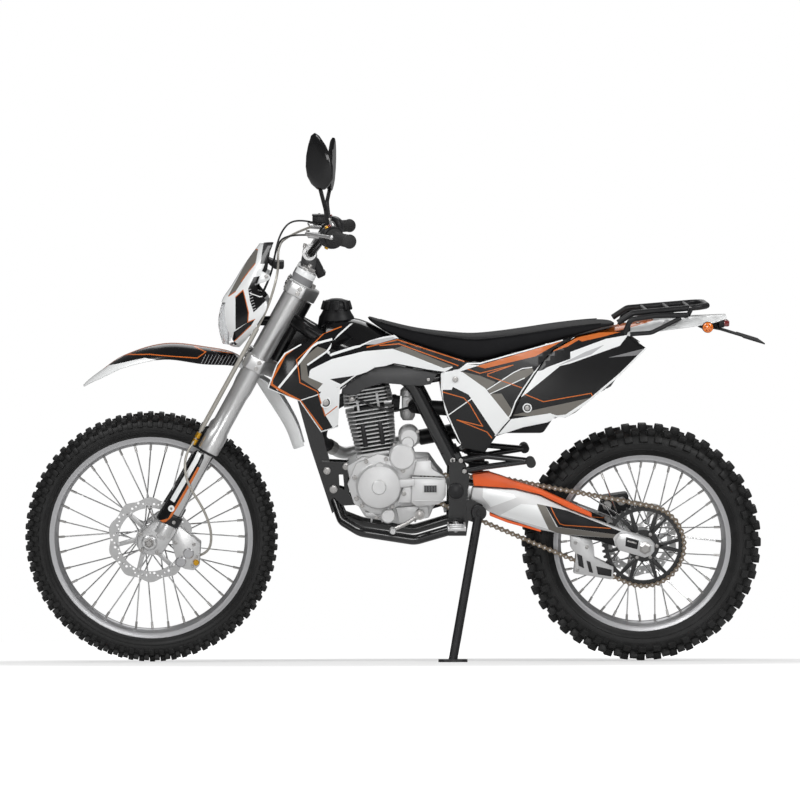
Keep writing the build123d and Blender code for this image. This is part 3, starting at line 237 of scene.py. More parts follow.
def grain_group() -> bpy.types.NodeTree:
    """The fine moulded or cast grain: Scale and Depth in, Height out.

    Returns:
        The group.
    """
    nodes = shared_group("surface_grain", {"Scale": 900.0, "Depth": 0.5}, ("Height",))
    if nodes:
        start, place = nodes.add_plain("NodeGroupInput"), nodes.add("TexCoord")
        fine = nodes.add("TexNoise", Vector=place.outputs["Object"], Scale=start.outputs["Scale"], Detail=3.0)
        height = nodes.math("MULTIPLY", fine.outputs["Fac"], start.outputs["Depth"])
        nodes.feed(nodes.add_plain("NodeGroupOutput").inputs["Height"], height)
    return bpy.data.node_groups["surface_grain"]


def soil_group() -> bpy.types.NodeTree:
    """Uneven handling marks and dust: Scale and Amount in, Mask out.

    Returns:
        The group.
    """
    nodes = shared_group("light_soil", {"Scale": 9.0, "Amount": 0.4}, ("Mask",))
    if nodes:
        start, place = nodes.add_plain("NodeGroupInput"), nodes.add("TexCoord")
        broad = nodes.add("TexNoise", Vector=place.outputs["Object"], Scale=start.outputs["Scale"],
            Detail=5.0, Roughness=0.65)
        raised = nodes.add("MapRange", Value=broad.outputs["Fac"], From_Min=0.42, From_Max=0.72)
        mask = nodes.math("MULTIPLY", raised.outputs[0], start.outputs["Amount"])
        nodes.feed(nodes.add_plain("NodeGroupOutput").inputs["Mask"], mask)
    return bpy.data.node_groups["light_soil"]


def side_plane_group() -> bpy.types.NodeTree:
    """The upright machine's axes in millimetres, whatever the lean.

    Returns:
        The group.
    """
    nodes = shared_group("side_plane", {}, ("X", "Y", "Z"))
    if nodes:
        place = nodes.add("TexCoord")
        back = STANCE.matrix.inverted()
        turned = nodes.add("Mapping", Vector=place.outputs["Object"], Location=back.translation,
                           Rotation=back.to_euler(), Scale=(1000.0, 1000.0, 1000.0))
        split = nodes.add("SeparateXYZ", Vector=turned.outputs[0])
        end = nodes.add_plain("NodeGroupOutput")
        for axis in "XYZ":
            nodes.feed(end.inputs[axis], split.outputs[axis])
    return bpy.data.node_groups["side_plane"]


# ---------------------------------------------------------------- finishes
@dataclass(frozen=True)
class Finish:
    """A finish with light soil and fine grain, as every surface of the machine has."""

    name: str
    tone: Tone
    roughness: float = 0.4
    metallic: float = 0.0
    grain: float = 0.15
    grain_scale: float = 900.0
    soil: float = 0.25
    soil_tone: Tone = Tone.GREY
    coat: float = 0.0
    transmission: float = 0.0
    specular: float = 0.5

    def colour(self, nodes: Nodes) -> object:
        """The colour before soil."""
        return self.tone

    def material(self) -> bpy.types.Material:
        """Builds the material, once for each name.

        Returns:
            The material.
        """
        made = bpy.data.materials.get(self.name)
        if made:
            return made
        made = bpy.data.materials.new(self.name)
        made.use_nodes = True
        made.node_tree.nodes.clear()
        nodes = Nodes(made.node_tree)
        soil = nodes.add_plain("ShaderNodeGroup")
        soil.node_tree = soil_group()
        soil.inputs["Amount"].default_value = self.soil
        grain = nodes.add_plain("ShaderNodeGroup")
        grain.node_tree = grain_group()
        grain.inputs["Scale"].default_value = self.grain_scale
        grain.inputs["Depth"].default_value = self.grain
        bump = nodes.add("Bump", Height=grain.outputs["Height"], Strength=0.35, Distance=0.0006)
        rough = nodes.math("MULTIPLY_ADD", soil.outputs["Mask"], 0.35)
        rough.node.inputs[2].default_value = self.roughness
        tint = nodes.mix(nodes.math("MULTIPLY", soil.outputs["Mask"], 0.35), self.colour(nodes),
            self.soil_tone)
        shader = nodes.add("BsdfPrincipled", Base_Color=tint, Roughness=rough, Metallic=self.metallic,
                           Coat_Weight=self.coat, Transmission_Weight=self.transmission,
                           Specular_IOR_Level=self.specular,
                           Normal=bump.outputs["Normal"])
        end = nodes.add_plain("ShaderNodeOutputMaterial")
        nodes.feed(end.inputs["Surface"], shader.outputs[0])
        return made

    def on(self, piece: Piece) -> Piece:
        """Gives a piece this finish all over.

        Args:
            piece: the piece.

        Returns:
            The same piece.
        """
        piece.data.materials.clear()
        piece.data.materials.append(self.material())
        return piece


@dataclass(frozen=True)
class Patch:
    """A convex patch of one colour on the side plane, corners in (x, z) millimetres."""

    tone: Tone
    corners: tuple[Point, ...]

    def mask(self, nodes: Nodes, place: bpy.types.NodeSocket) -> bpy.types.NodeSocket:
        """One inside the patch and zero outside it.

        Args:
            nodes: the tree to add to.
            place: a vector of x, z and one.

        Returns:
            The mask's socket.
        """
        area = sum(a[0] * b[1] - b[0] * a[1] for a, b in zip(self.corners,
            self.corners[1:] + self.corners[:1]))
        corners = self.corners if area > 0 else self.corners[::-1]
        inside = None
        for (x1, z1), (x2, z2) in zip(corners, corners[1:] + corners[:1]):
            length = math.hypot(x2 - x1, z2 - z1)
            normal = ((z1 - z2) / length, (x2 - x1) / length)
            edge = nodes.add("VectorMath", operation="DOT_PRODUCT")
            nodes.feed(edge.inputs[0], place)
            nodes.feed(edge.inputs[1], (normal[0], normal[1], -normal[0] * x1 - normal[1] * z1))
            depth = edge.outputs["Value"]
            inside = depth if inside is None else nodes.math("MINIMUM", inside, depth)
        return nodes.math("GREATER_THAN", inside, 0.0)


def stripe(tone: Tone, width: float, *points: Point) -> tuple[Patch, ...]:
    """A line of some width as patches, one for each run.

    Args:
        tone: its colour.
        width: its width in millimetres.
        points: its corners in (x, z).

    Returns:
        The patches.
    """
    patches = []
    for (x1, z1), (x2, z2) in zip(points, points[1:]):
        length = math.hypot(x2 - x1, z2 - z1)
        along = ((x2 - x1) / length * width / 2, (z2 - z1) / length * width / 2)
        across = (-along[1], along[0])
        x1, z1, x2, z2 = x1 - along[0], z1 - along[1], x2 + along[0], z2 + along[1]
        patches.append(Patch(tone, ((x1 + across[0], z1 + across[1]), (x1 - across[0], z1 - across[1]),
                                    (x2 - across[0], z2 - across[1]), (x2 + across[0], z2 + across[1]))))
    return tuple(patches)


@dataclass(frozen=True)
class Graphic(Finish):
    """A glossy moulding with a sticker kit of patches, the later ones on top."""

    patches: tuple[Patch, ...] = ()
    spine: tuple[float, float, float] | None = None  # first x, last x and half width of an orange middle band

    def colour(self, nodes: Nodes) -> object:
        """The sticker colours over the moulding's own.

        Args:
            nodes: the material's nodes.

        Returns:
            The colour's output socket.
        """
        side = nodes.add_plain("ShaderNodeGroup")
        side.node_tree = side_plane_group()
        place = nodes.add("CombineXYZ", X=side.outputs["X"], Y=side.outputs["Z"], Z=1.0)
        colour: object = self.tone
        for patch in self.patches:
            colour = nodes.mix(patch.mask(nodes, place.outputs[0]), colour, patch.tone)
        if self.spine:
            first, last, half = self.spine
            far = nodes.math("GREATER_THAN", side.outputs["X"], first)
            near = nodes.math("LESS_THAN", side.outputs["X"], last)
            close = nodes.math("LESS_THAN", nodes.math("ABSOLUTE", side.outputs["Y"]), half)
            colour = nodes.mix(nodes.math("MINIMUM", nodes.math("MINIMUM", far, near), close), colour,
                Tone.ORANGE)
        return colour


# ---------------------------------------------------------------- modelling, in upright millimetres
class Shop:
    """The modelling steps that the pieces share."""

    @staticmethod
    def alone(piece: Piece | None = None) -> None:
        """Selects nothing, or one piece, which is then the active one.

        Args:
            piece: the piece.
        """
        bpy.ops.object.select_all(action="DESELECT")
        if piece is not None:
            piece.select_set(True)
            bpy.context.view_layer.objects.active = piece

    @classmethod
    def outline(cls, name: str, corners: Sequence[Vector], filled: bool = True) -> Piece:
        """A circle primitive whose points are moved to an outline's corners.

        Args:
            name: the object's name.
            corners: the corners, in order.
            filled: whether the outline has a face.

        Returns:
            The object, alone selected.
        """
        cls.alone()
        bpy.ops.mesh.primitive_circle_add(vertices=len(corners), fill_type="NGON" if filled else "NOTHING")
        piece = bpy.context.object
        piece.name = name
        for vertex, corner in zip(piece.data.vertices, corners):
            vertex.co = corner
        return piece

    @classmethod
    def extruded(cls, piece: Piece, way: Vector) -> Piece:
        """Draws a flat outline's face out into a solid.

        Args:
            piece: the piece.
            way: the direction and the distance.

        Returns:
            The same piece.
        """
        cls.pick(piece, lambda face: True)
        bpy.ops.mesh.extrude_region_move(TRANSFORM_OT_translate={"value": way})
        return cls.closed(piece)

    @staticmethod
    def closed(piece: Piece) -> Piece:
        """Turns a solid's faces outward and leaves edit mode.

        Args:
            piece: the piece.

        Returns:
            The same piece.
        """
        bpy.ops.mesh.select_all(action="SELECT")
        bpy.ops.mesh.normals_make_consistent(inside=False)
        bpy.ops.object.mode_set(mode="OBJECT")
        return piece

    @classmethod
    def slab(cls, name: str, side: Sequence[Point], y_low: float, y_high: float, bevel: float = 0.0,
             at: Vector = ORIGIN) -> Piece:
        """A side outline extruded across the machine.

        Args:
            name: the object's name.
            side: the outline's (x, z) corners.
            y_low: one face.
            y_high: the other face.
            bevel: the width of its rounded edges.
            at: where the outline's own origin lies.

        Returns:
            The object.
        """
        face = cls.outline(name, [Vector((at.x + x, y_low, at.z + z)) for x, z in side])
        piece = cls.extruded(face, Vector((0, y_high - y_low, 0)))
        if bevel:
            cls.bevel(piece, bevel)
        return piece

    @classmethod
    def pick(cls, piece: Piece, test: Callable[[bpy.types.MeshPolygon], bool]) -> None:
        """Opens a piece in edit mode with only the faces selected that pass a test.

        Args:
            piece: the piece.
            test: says whether a face is picked.
        """
        cls.alone(piece)
        bpy.context.tool_settings.mesh_select_mode = (False, False, True)
        bpy.ops.object.mode_set(mode="EDIT")
        bpy.ops.mesh.select_all(action="DESELECT")
        bpy.ops.object.mode_set(mode="OBJECT")
        for face in piece.data.polygons:
            face.select = test(face)
        bpy.ops.object.mode_set(mode="EDIT")

    @classmethod
    def gridded(cls, piece: Piece, cell: float) -> None:
        """Cuts a flat side piece into cells of about one size, so that it can be bulged.

        Args:
            piece: the piece.
            cell: the cells' size.
        """
        places = [vertex.co.copy() for vertex in piece.data.vertices]
        cls.pick(piece, lambda face: True)
        for axis in (0, 2):
            low, high = min(p[axis] for p in places), max(p[axis] for p in places)
            count = max(1, round((high - low) / cell))
            for number in range(1, count):
                spot, way = Vector(), Vector()
                spot[axis], way[axis] = low + (high - low) * number / count, 1.0
                bpy.ops.mesh.select_all(action="SELECT")
                bpy.ops.mesh.bisect(plane_co=spot, plane_no=way)
        bpy.ops.object.mode_set(mode="OBJECT")

    @classmethod
    def skin(cls, name: str, sections: list[list[Vector]], closed: bool = False) -> Piece:
        """A grid primitive laid over cross sections.

        Args:
            name: the object's name.
            sections: the sections, each with as many points.
            closed: whether each section is a loop, which also closes both ends.

        Returns:
            The object.
        """
        columns = len(sections[0]) + (1 if closed else 0)
        cls.alone()
        bpy.ops.mesh.primitive_grid_add(x_subdivisions=columns - 1, y_subdivisions=len(sections) - 1)
        piece = bpy.context.object
        piece.name = name
        for number, vertex in enumerate(piece.data.vertices):
            section = sections[number // columns]
            vertex.co = section[number % columns % len(section)]
        cls.pick(piece, lambda face: True)
        if closed:
            bpy.ops.mesh.remove_doubles(threshold=0.01)
            bpy.context.tool_settings.mesh_select_mode = (False, True, False)
            bpy.ops.mesh.select_all(action="DESELECT")
            bpy.ops.mesh.select_non_manifold()
            bpy.ops.mesh.fill_holes(sides=0)
        return cls.closed(piece)

    @classmethod
    def sheet(cls, piece: Piece, thickness: float, facing: Vector, edge: float = 1.0) -> Piece:
        """Gives an open skin a thickness behind the side that faces a way.

        Args:
            piece: the skin.
            thickness: its thickness.
            facing: the way that its show side looks, on the whole.
            edge: the width of its rounded edges.

        Returns:
            The piece.
        """
        if sum(face.normal.dot(facing) * face.area for face in piece.data.polygons) < 0:
            piece.data.flip_normals()
        cls.modify(piece, "SOLIDIFY", thickness=thickness, offset=-1.0)
        cls.bevel(piece, edge, 2, 50.0)
        return piece

    @staticmethod
    def aimed(piece: Piece, foot: Place, way: Vector) -> Piece:
        """Turns a piece drawn on its own Z axis to a way, with its origin at a foot.

        Args:
            piece: the piece.
            foot: where its origin goes.
            way: the direction.

        Returns:
            The same piece.
        """
        turn = Vector(way).to_track_quat("Z", "Y").to_matrix().to_4x4()
        piece.data.transform(Matrix.Translation(foot) @ turn)
        return piece

    @classmethod
    def bolt(cls, spot: Place, way: Vector, radius: float = 6.0, height: float = 5.0,
            sides: int = 16) -> Piece:
        """A bolt head with a socket.

        Args:
            spot: where its foot sits.
            way: the way it looks.
            radius: its radius.
            height: its height.
            sides: 6 for a hexagon, more for a round head.

        Returns:
            The bolt.
        """
        cls.alone()
        bpy.ops.mesh.primitive_cylinder_add(vertices=sides, radius=radius, depth=height)
        piece = bpy.context.object
        piece.name = "bolt"
        cls.pick(piece, lambda face: face.normal.z > 0.9)
        bpy.ops.mesh.inset(thickness=radius * 0.12)
        bpy.ops.transform.translate(value=(0, 0, height * 0.12))
        bpy.ops.mesh.inset(thickness=radius * 0.38)
        bpy.ops.mesh.extrude_region_move(TRANSFORM_OT_translate={"value": (0, 0, -height * 0.6)})
        bpy.ops.object.mode_set(mode="OBJECT")
        way = Vector(way).normalized()
        return BOLT_STEEL.on(cls.aimed(piece, Vector(spot) + way * height / 2, way))

    @classmethod
    def bolts(cls, places: Sequence[Point], y: float, way: Vector, radius: float = 6.0, height: float = 5.0,
              sides: int = 16, at: Vector = ORIGIN) -> list[Piece]:
        """Like bolts at (x, z) places on one plane."""
        return [cls.bolt(at + Vector((x, y, z)), way, radius, height, sides) for x, z in places]

    @classmethod
    def bevel(cls, piece: Piece, width: float, segments: int = 2, angle: float = 35.0) -> None:
        """Rounds the edges sharper than an angle."""
        cls.modify(piece, "BEVEL", width=width, segments=segments, limit_method="ANGLE",
                   angle_limit=math.radians(angle), harden_normals=False)

    @classmethod
    def modify(cls, piece: Piece, kind: str, **settings: object) -> None:
        """Adds a modifier, sets it and applies it.

        Args:
            piece: the piece.
            kind: the modifier's type.
            settings: its settings.
        """
        cls.alone(piece)
        modifier = piece.modifiers.new(kind.lower(), kind)
        for key, value in settings.items():
            setattr(modifier, key, value)
        bpy.ops.object.modifier_apply(modifier=modifier.name)

    @classmethod
    def spun(cls, piece: Piece, steps: int, centre: Place, axis: Vector) -> Piece:
        """Spins a closed profile about an axis into a solid.

        Args:
            piece: the piece.
            steps: how many steps go round.
            centre: a point on the axis.
            axis: the axis.

        Returns:
            The same piece.
        """
        bpy.ops.object.mode_set(mode="EDIT")
        bpy.ops.mesh.select_all(action="SELECT")
        bpy.ops.mesh.spin(steps=steps, angle=2 * math.pi, center=centre, axis=axis)
        bpy.ops.mesh.select_all(action="SELECT")
        bpy.ops.mesh.remove_doubles(threshold=0.01)
        return cls.closed(piece)

    @classmethod
    def lathe(cls, name: str, profile: Sequence[Point], centre: Place, steps: int = 96) -> Piece:
        """A closed profile spun about an axis across the machine.

        Args:
            name: the object's name.
            profile: (radius, y) corners of a closed outline.
            centre: the axis's point on the middle plane.
            steps: how many steps a full turn has.

        Returns:
            The object.
        """
        centre = Vector(centre)
        piece = cls.outline(name, [centre + Vector((0, y, r)) for r, y in profile], filled=False)
        return cls.spun(piece, steps, centre, RIGHT)

    @classmethod
    def turned(cls, name: str, profile: Sequence[Point], foot: Place, way: Vector, steps: int = 32) -> Piece:
        """A closed profile spun about a line.

        Args:
            name: the object's name.
            profile: (along, radius) corners of a closed outline.
            foot: where the line starts.
            way: the line's direction.
            steps: how many steps a full turn has.

        Returns:
            The object.
        """
        piece = cls.outline(name, [Vector((radius, 0, along)) for along, radius in profile], filled=False)
        return cls.aimed(cls.spun(piece, steps, ORIGIN, UP), foot, way)

    @classmethod
    def turnings(cls, foot: Place, way: Vector, *rows: tuple) -> list[Piece]:
        """Finished pieces turned about one line: name, finish, steps and (along, radius) corners a row."""
        return [finish.on(cls.turned(name, profile, foot, way, steps)) for name, finish, steps,
            *profile in rows]

    @classmethod
    def lathings(cls, centre: Place, *rows: tuple) -> list[Piece]:
        """Finished pieces spun across the machine: name, finish, steps and (radius, y) corners a row."""
        return [finish.on(cls.lathe(name, profile, centre, steps)) for name, finish, steps, *profile in rows]

    @classmethod
    def slabs(cls, at: Vector, *rows: tuple) -> list[Piece]:
        """Finished slabs, from rows of name, finish, both faces, bevel and (x, z) corners."""
        return [finish.on(cls.slab(name, side, low, high, bevel, at)) for name, finish, low, high, bevel,
            *side in rows]

    @classmethod
    def rod(cls, name: str, start: Place, end: Place, radius: float, sides: int = 24,
            bevel: float = 0.0) -> Piece:
        """A round bar between two points, with turned edges.

        Args:
            name: the object's name.
            start: one end.
            end: the other end.
            radius: its radius.
            sides: how many sides it has.
            bevel: the width of the turned edges.

        Returns:
            The object.
        """
        cls.alone()
        start, end = Vector(start), Vector(end)
        bpy.ops.mesh.primitive_cylinder_add(vertices=sides, radius=radius, depth=(end - start).length)
        piece = bpy.context.object
        piece.name = name
        cls.aimed(piece, (start + end) / 2, end - start)
        if bevel:
            cls.bevel(piece, bevel)
        return piece

    @classmethod
    def block(cls, name: str, centre: Place, size: Place, turn: Matrix | None = None,
            bevel: float = 1.0) -> Piece:
        """A box with rounded edges.

        Args:
            name: the object's name.
            centre: its middle.
            size: its three sides.
            turn: how it is turned.
            bevel: the width of its rounded edges.

        Returns:
            The object.
        """
        cls.alone()
        bpy.ops.mesh.primitive_cube_add(size=1.0)
        piece = bpy.context.object
        piece.name = name
        piece.data.transform(Matrix.Diagonal((*size, 1.0)))
        cls.bevel(piece, bevel)
        piece.data.transform(Matrix.Translation(centre) @ (turn or Matrix.Identity(4)))
        return piece

    @classmethod
    def path(cls, points: Sequence[Place], bend: float, steps: int = 6) -> list[Vector]:
        """Straight runs with their corners rounded.

        Args:
            points: the corners.
            bend: the radius at each corner, less where a run is short.
            steps: how many steps each bend has.

        Returns:
            The points along it.
        """
        points = [Vector(p) for p in points]
        made = [points[0]]
        for before, corner, after in zip(points, points[1:], points[2:]):
            back, ahead = (before - corner), (after - corner)
            half = back.angle(ahead) / 2
            cut = min(bend / math.tan(half), back.length * 0.48, ahead.length * 0.48)
            start, end = corner + back.normalized() * cut, corner + ahead.normalized() * cut
            for i in range(steps + 1):
                t = i / steps
                made.append(start * (1 - t) ** 2 + corner * 2 * t * (1 - t) + end * t * t)
        return made + [points[-1]]

    @classmethod
    def tube(cls, name: str, points: Sequence[Place], radius: float, bend: float, sides: int = 5,
             steps: int = 6) -> Piece:
        """A round tube along straight runs, with bends of some radius and a few steps each."""
        return cls.swept(name, cls.path(points, bend, steps), radius, sides)

    @classmethod
    def swept(cls, name: str, route: Sequence[Place], radius: float, sides: int,
            flowing: bool = False) -> Piece:
        """A round bar or hose along a route, as a mesh.

        Args:
            name: the object's name.
            route: the points of its route.
            radius: its radius.
            sides: how fine its round is.
            flowing: whether it follows a smooth line that the points only draw towards them.

        Returns:
            The object.
        """
        curve = bpy.data.curves.new(name, "CURVE")
        curve.dimensions, curve.bevel_depth, curve.bevel_resolution = "3D", radius, sides
        curve.use_fill_caps = True
        line = curve.splines.new("NURBS" if flowing else "POLY")
        line.points.add(len(route) - 1)
        for spot, place in zip(line.points, route):
            spot.co = (*place, 1.0)
        if flowing:
            line.order_u, line.use_endpoint_u, line.resolution_u = 3, True, 10
        piece = bpy.data.objects.new(name, curve)
        bpy.context.scene.collection.objects.link(piece)
        cls.alone(piece)
        bpy.ops.object.convert(target="MESH")
        return bpy.context.object

    @classmethod
    def cut(cls, piece: Piece, *cutters: Piece) -> Piece:
        """Takes cutters out of a piece, and removes them.

        Args:
            piece: the piece.
            cutters: what is cut out, and then removed.

        Returns:
            The same piece.
        """
        cutter = cls.join("cutter", cutters)
        cls.modify(piece, "BOOLEAN", operation="DIFFERENCE", object=cutter, solver="EXACT", use_self=True)
        bpy.data.objects.remove(cutter)
        return piece

    @classmethod
    def mirrored(cls, piece: Piece) -> Piece:
        """A copy on the machine's other side, with its own mesh.

        Args:
            piece: the piece.

        Returns:
            The copy.
        """
        twin = cls.copy(piece, ACROSS)
        twin.data.flip_normals()
        return twin

    @staticmethod
    def copy(piece: Piece, move: Matrix) -> Piece:
        """A moved copy with its own mesh.

        Args:
            piece: the piece.
            move: the matrix that moves it.

        Returns:
            The copy.
        """
        twin = piece.copy()
        twin.data = piece.data.copy()
        twin.data.transform(move)
        bpy.context.scene.collection.objects.link(twin)
        return twin

    @classmethod
    def join(cls, name: str, pieces: Sequence[Piece]) -> Piece:
        """Joins pieces into one object that keeps their finishes.

        Args:
            name: the new name.
            pieces: the pieces.

        Returns:
            The joined piece.
        """
        cls.alone()
        for piece in pieces:
            piece.select_set(True)
        bpy.context.view_layer.objects.active = pieces[0]
        if len(pieces) > 1:
            bpy.ops.object.join()
        pieces[0].name = name
        return pieces[0]

    @classmethod
    def seat(cls, name: str, pieces: Sequence[Piece], body: str, *nodes: str, angle: float = 35.0) -> Piece:
        """Joins finished pieces, leans them into place and lets them ride.

        Args:
            name: the piece's name.
            pieces: its parts, dressed.
            body: the body it moves with.
            nodes: the frame's nodes that it stands for.
            angle: edges sharper than this stay sharp.

        Returns:
            The piece.
        """
        piece = cls.join(name, pieces)
        piece.data.transform(STANCE.matrix)
        cls.alone(piece)
        bpy.ops.object.shade_smooth_by_angle(angle=math.radians(angle))
        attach(piece, body)
        if nodes:
            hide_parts(*nodes)
        LOG.info("%s: %d faces", name, len(piece.data.polygons))
        return piece


# ---------------------------------------------------------------- the finishes
FRAME_PAINT = Finish("frame_paint", Tone.BLACK, 0.2, grain=0.05, coat=0.35, soil=0.1)
SATIN_BLACK = Finish("satin_black_paint", Tone.INK, 0.38, grain=0.2, soil=0.1, specular=0.35)
BLACK_PLASTIC = Finish("black_plastic", Tone.INK, 0.45, grain=0.5, grain_scale=1400, soil=0.1, specular=0.3)
WHITE_PLASTIC = Finish("white_plastic", Tone.WHITE, 0.25, grain=0.06, coat=0.4, soil=0.1)
GREY_PLASTIC = Finish("grey_plastic", Tone.GREY, 0.45, grain=0.4, soil=0.15)
CAST_METAL = Finish("cast_alloy", Tone.CAST, 0.4, 0.45, grain=0.7, grain_scale=1100, soil=0.3)
FIN_METAL = Finish("fin_alloy", Tone.SILVER, 0.42, 0.6, grain=0.6, grain_scale=900, soil=0.35)
SILVER_METAL = Finish("silver_alloy", Tone.SILVER, 0.33, 0.85, grain=0.15, soil=0.2)
RIM_METAL = Finish("rim_alloy", Tone.PALE_GREY, 0.3, 0.85, grain=0.1, soil=0.25)
CHROME = Finish("chromed_steel", Tone.SILVER, 0.12, 1.0, grain=0.02, soil=0.15)
BOLT_STEEL = Finish("bolt_steel", Tone.STEEL, 0.3, 1.0, grain=0.1, soil=0.3)
DISC_STEEL = Finish("disc_steel", Tone.SILVER, 0.28, 1.0, grain=0.12, soil=0.3)
CHAIN_STEEL = Finish("chain_steel", Tone.BROWN_STEEL, 0.4, 0.9, grain=0.3, soil=0.5)
TYRE_RUBBER = Finish("tyre_rubber", Tone.RUBBER, 0.5, grain=0.5, grain_scale=700, soil=0.15, specular=0.3)
GRIP_RUBBER = Finish("grip_rubber", Tone.RUBBER, 0.6, grain=0.8, grain_scale=1600, soil=0.1, specular=0.3)
SEAT_VINYL = Finish("seat_vinyl", Tone.INK, 0.62, grain=0.9, grain_scale=1500, soil=0.05, specular=0.1)
ORANGE_PLASTIC = Finish("orange_plastic", Tone.BRIGHT_ORANGE, 0.4, grain=0.3, soil=0.1)
RED_LENS = Finish("red_lens", Tone.RED, 0.12, coat=0.8, grain=0.05, soil=0.1)
AMBER_LENS = Finish("amber_lens", Tone.AMBER, 0.15, coat=0.8, grain=0.05, soil=0.1)
CLEAR_LENS = Finish("clear_lens", Tone.CLEAR, 0.05, grain=0.02, soil=0.05, transmission=0.85)
GLOSS_BLACK = Finish("gloss_black_plastic", Tone.BLACK, 0.14, grain=0.04, coat=0.3, soil=0.05, specular=0.3)
HOSE_GREY = Finish("braided_hose", Tone.HOSE_GREY, 0.38, 0.5, grain=0.8, grain_scale=1800, soil=0.2)
CABLE_BLACK = Finish("cable_black", Tone.INK, 0.5, grain=0.2, soil=0.15)
DARK_PLASTIC = Finish("dark_grey_plastic", Tone.DARK_GREY, 0.38, grain=0.4, soil=0.05, specular=0.4)
GOLD_METAL = Finish("gold_anodised", Tone.GOLD, 0.3, 0.9, grain=0.1, soil=0.1)


CARRIED = {"main_frame": FRAME_PAINT, "subframe": FRAME_PAINT, "luggage_rack": SATIN_BLACK,
    "plate_bracket": BLACK_PLASTIC, "side_stand": SATIN_BLACK}


# ---------------------------------------------------------------- wheels
def about_axle(centre: Place, degrees: float) -> Matrix:
    """A turn about an axis across the machine."""
    return (Matrix.Translation(centre) @ Matrix.Rotation(math.radians(degrees), 4, "Y")
            @ Matrix.Translation(-centre))


def ring_of(piece: Piece, centre: Place, count: int) -> list[Piece]:
    """A piece and its copies, evenly round an axle."""
    return [piece] + [Shop.copy(piece, about_axle(centre, 360.0 * i / count)) for i in range(1, count)]


@dataclass
class Tyre:
    """A knobbly tyre: a carcass of an oval section with rows of tapered lugs."""

    name: str
    body: str
    node: str
    centre: Vector
    radius: float
    half_width: float
    lug: float
    teeth: int
    rim_radius: float
    # each row: angle round the section, pitch offset, length round the tyre, width over the section, height
    rows: tuple = ((78.0, 0.0, 0.52, 17.0, 1.0), (47.0, 0.5, 0.50, 17.0, 0.95), (20.0, 0.0, 0.50, 19.0, 0.42))

    @property
    def root(self) -> float:
        """The carcass's radius at its crown."""
        return self.radius - self.lug

    @property
    def girth(self) -> float:
        """The radius at which the carcass is widest."""
        return self.rim_radius + (self.root - self.rim_radius) * 0.45

    def section(self, degrees: float) -> tuple[Vector, Vector]:
        """A point of the carcass and the way out of it.

        Args:
            degrees: the angle round the section, 90 at the crown.

        Returns:
            The point and the normal, as (0, y, radius) about the axle.
        """
        turn = math.radians(degrees)
        high, wide = self.root - self.girth, self.half_width - 3.0
        spot = Vector((0, wide * math.cos(turn), self.girth + high * math.sin(turn)))
        return spot, Vector((0, math.cos(turn) / wide, math.sin(turn) / high)).normalized()

    def carcass(self) -> Piece:
        """The rubber under the lugs, with a bead at the rim.

        Returns:
            The carcass.
        """
        side = [self.section(a)[0] for a in (90, 78, 66, 54, 42, 30, 18, 6, -6, -20, -34)]
        profile = [(p.z, p.y) for p in side]
        profile.append((self.rim_radius + 5.0, self.half_width * 0.66))
        profile.append((self.rim_radius - 2.0, self.half_width * 0.60))
        profile += [(r, -y) for r, y in reversed(profile[1:])]
        return Shop.lathe(self.name + "_carcass", profile, self.centre, 120)

    def lug_block(self, row: tuple, side: int) -> Piece:
        """One lug in its place at the tyre's top.

        Args:
            row: a row of the rows table.
            side: 1 or -1 for the side of the tyre.

        Returns:
            The lug.
        """
        degrees, offset, share, width, rise = row
        spot, out = self.section(degrees)
        spot.y, out.y = spot.y * side, out.y * side
        pitch = 2 * math.pi * self.radius / self.teeth
        height = self.lug * rise
        lug = Shop.block(self.name + "_lug", ORIGIN, (pitch * share, width, height + 6.0),
                         bevel=1.4)
        for vertex in lug.data.vertices:
            if vertex.co.z > 0:
                vertex.co.x *= 0.86
                vertex.co.y *= 0.86
        frame_of = Matrix((BACK, out.cross(BACK), out)).transposed().to_4x4()
        middle = self.centre + spot + out * (height / 2 - 3.0)
        lug.data.transform(Matrix.Translation(middle) @ frame_of)
        lug.data.transform(about_axle(self.centre, 360.0 * offset / self.teeth))
        return lug

    def build(self) -> Piece:
        """Builds the tyre and puts it on its wheel.

        Returns:
            The dressed tyre.
        """
        lugs = Shop.join("lugs", [self.lug_block(row, side) for row in self.rows for side in (1, -1)])
        pieces = [self.carcass()] + ring_of(lugs, self.centre, self.teeth)
        for radius, rise in ((self.rim_radius + 16, 1.2), (self.rim_radius + 30, 1.0)):
            for side in (1, -1):
                pieces.append(self.rib(radius, rise, side))
        for piece in pieces:
            TYRE_RUBBER.on(piece)
        return Shop.seat(self.name, pieces, self.body, self.node)

    def rib(self, radius: float, rise: float, side: int) -> Piece:
        """A moulded line round the sidewall.

        Args:
            radius: its radius.
            rise: how far it stands out.
            side: -1 for one side and 1 for the other.

        Returns:
            The line.
        """
        turn = math.degrees(math.asin(max(-1.0, (radius - self.girth) / (self.root - self.girth))))
        spot = self.section(turn)[0]
        spot.y *= side
        profile = [(spot.z - 1.6, spot.y - 2 * side), (spot.z - 0.8, spot.y + rise * side),
                   (spot.z + 0.8, spot.y + rise * side), (spot.z + 1.6, spot.y - 2 * side)]
        return Shop.lathe("rib", profile, self.centre, 120)


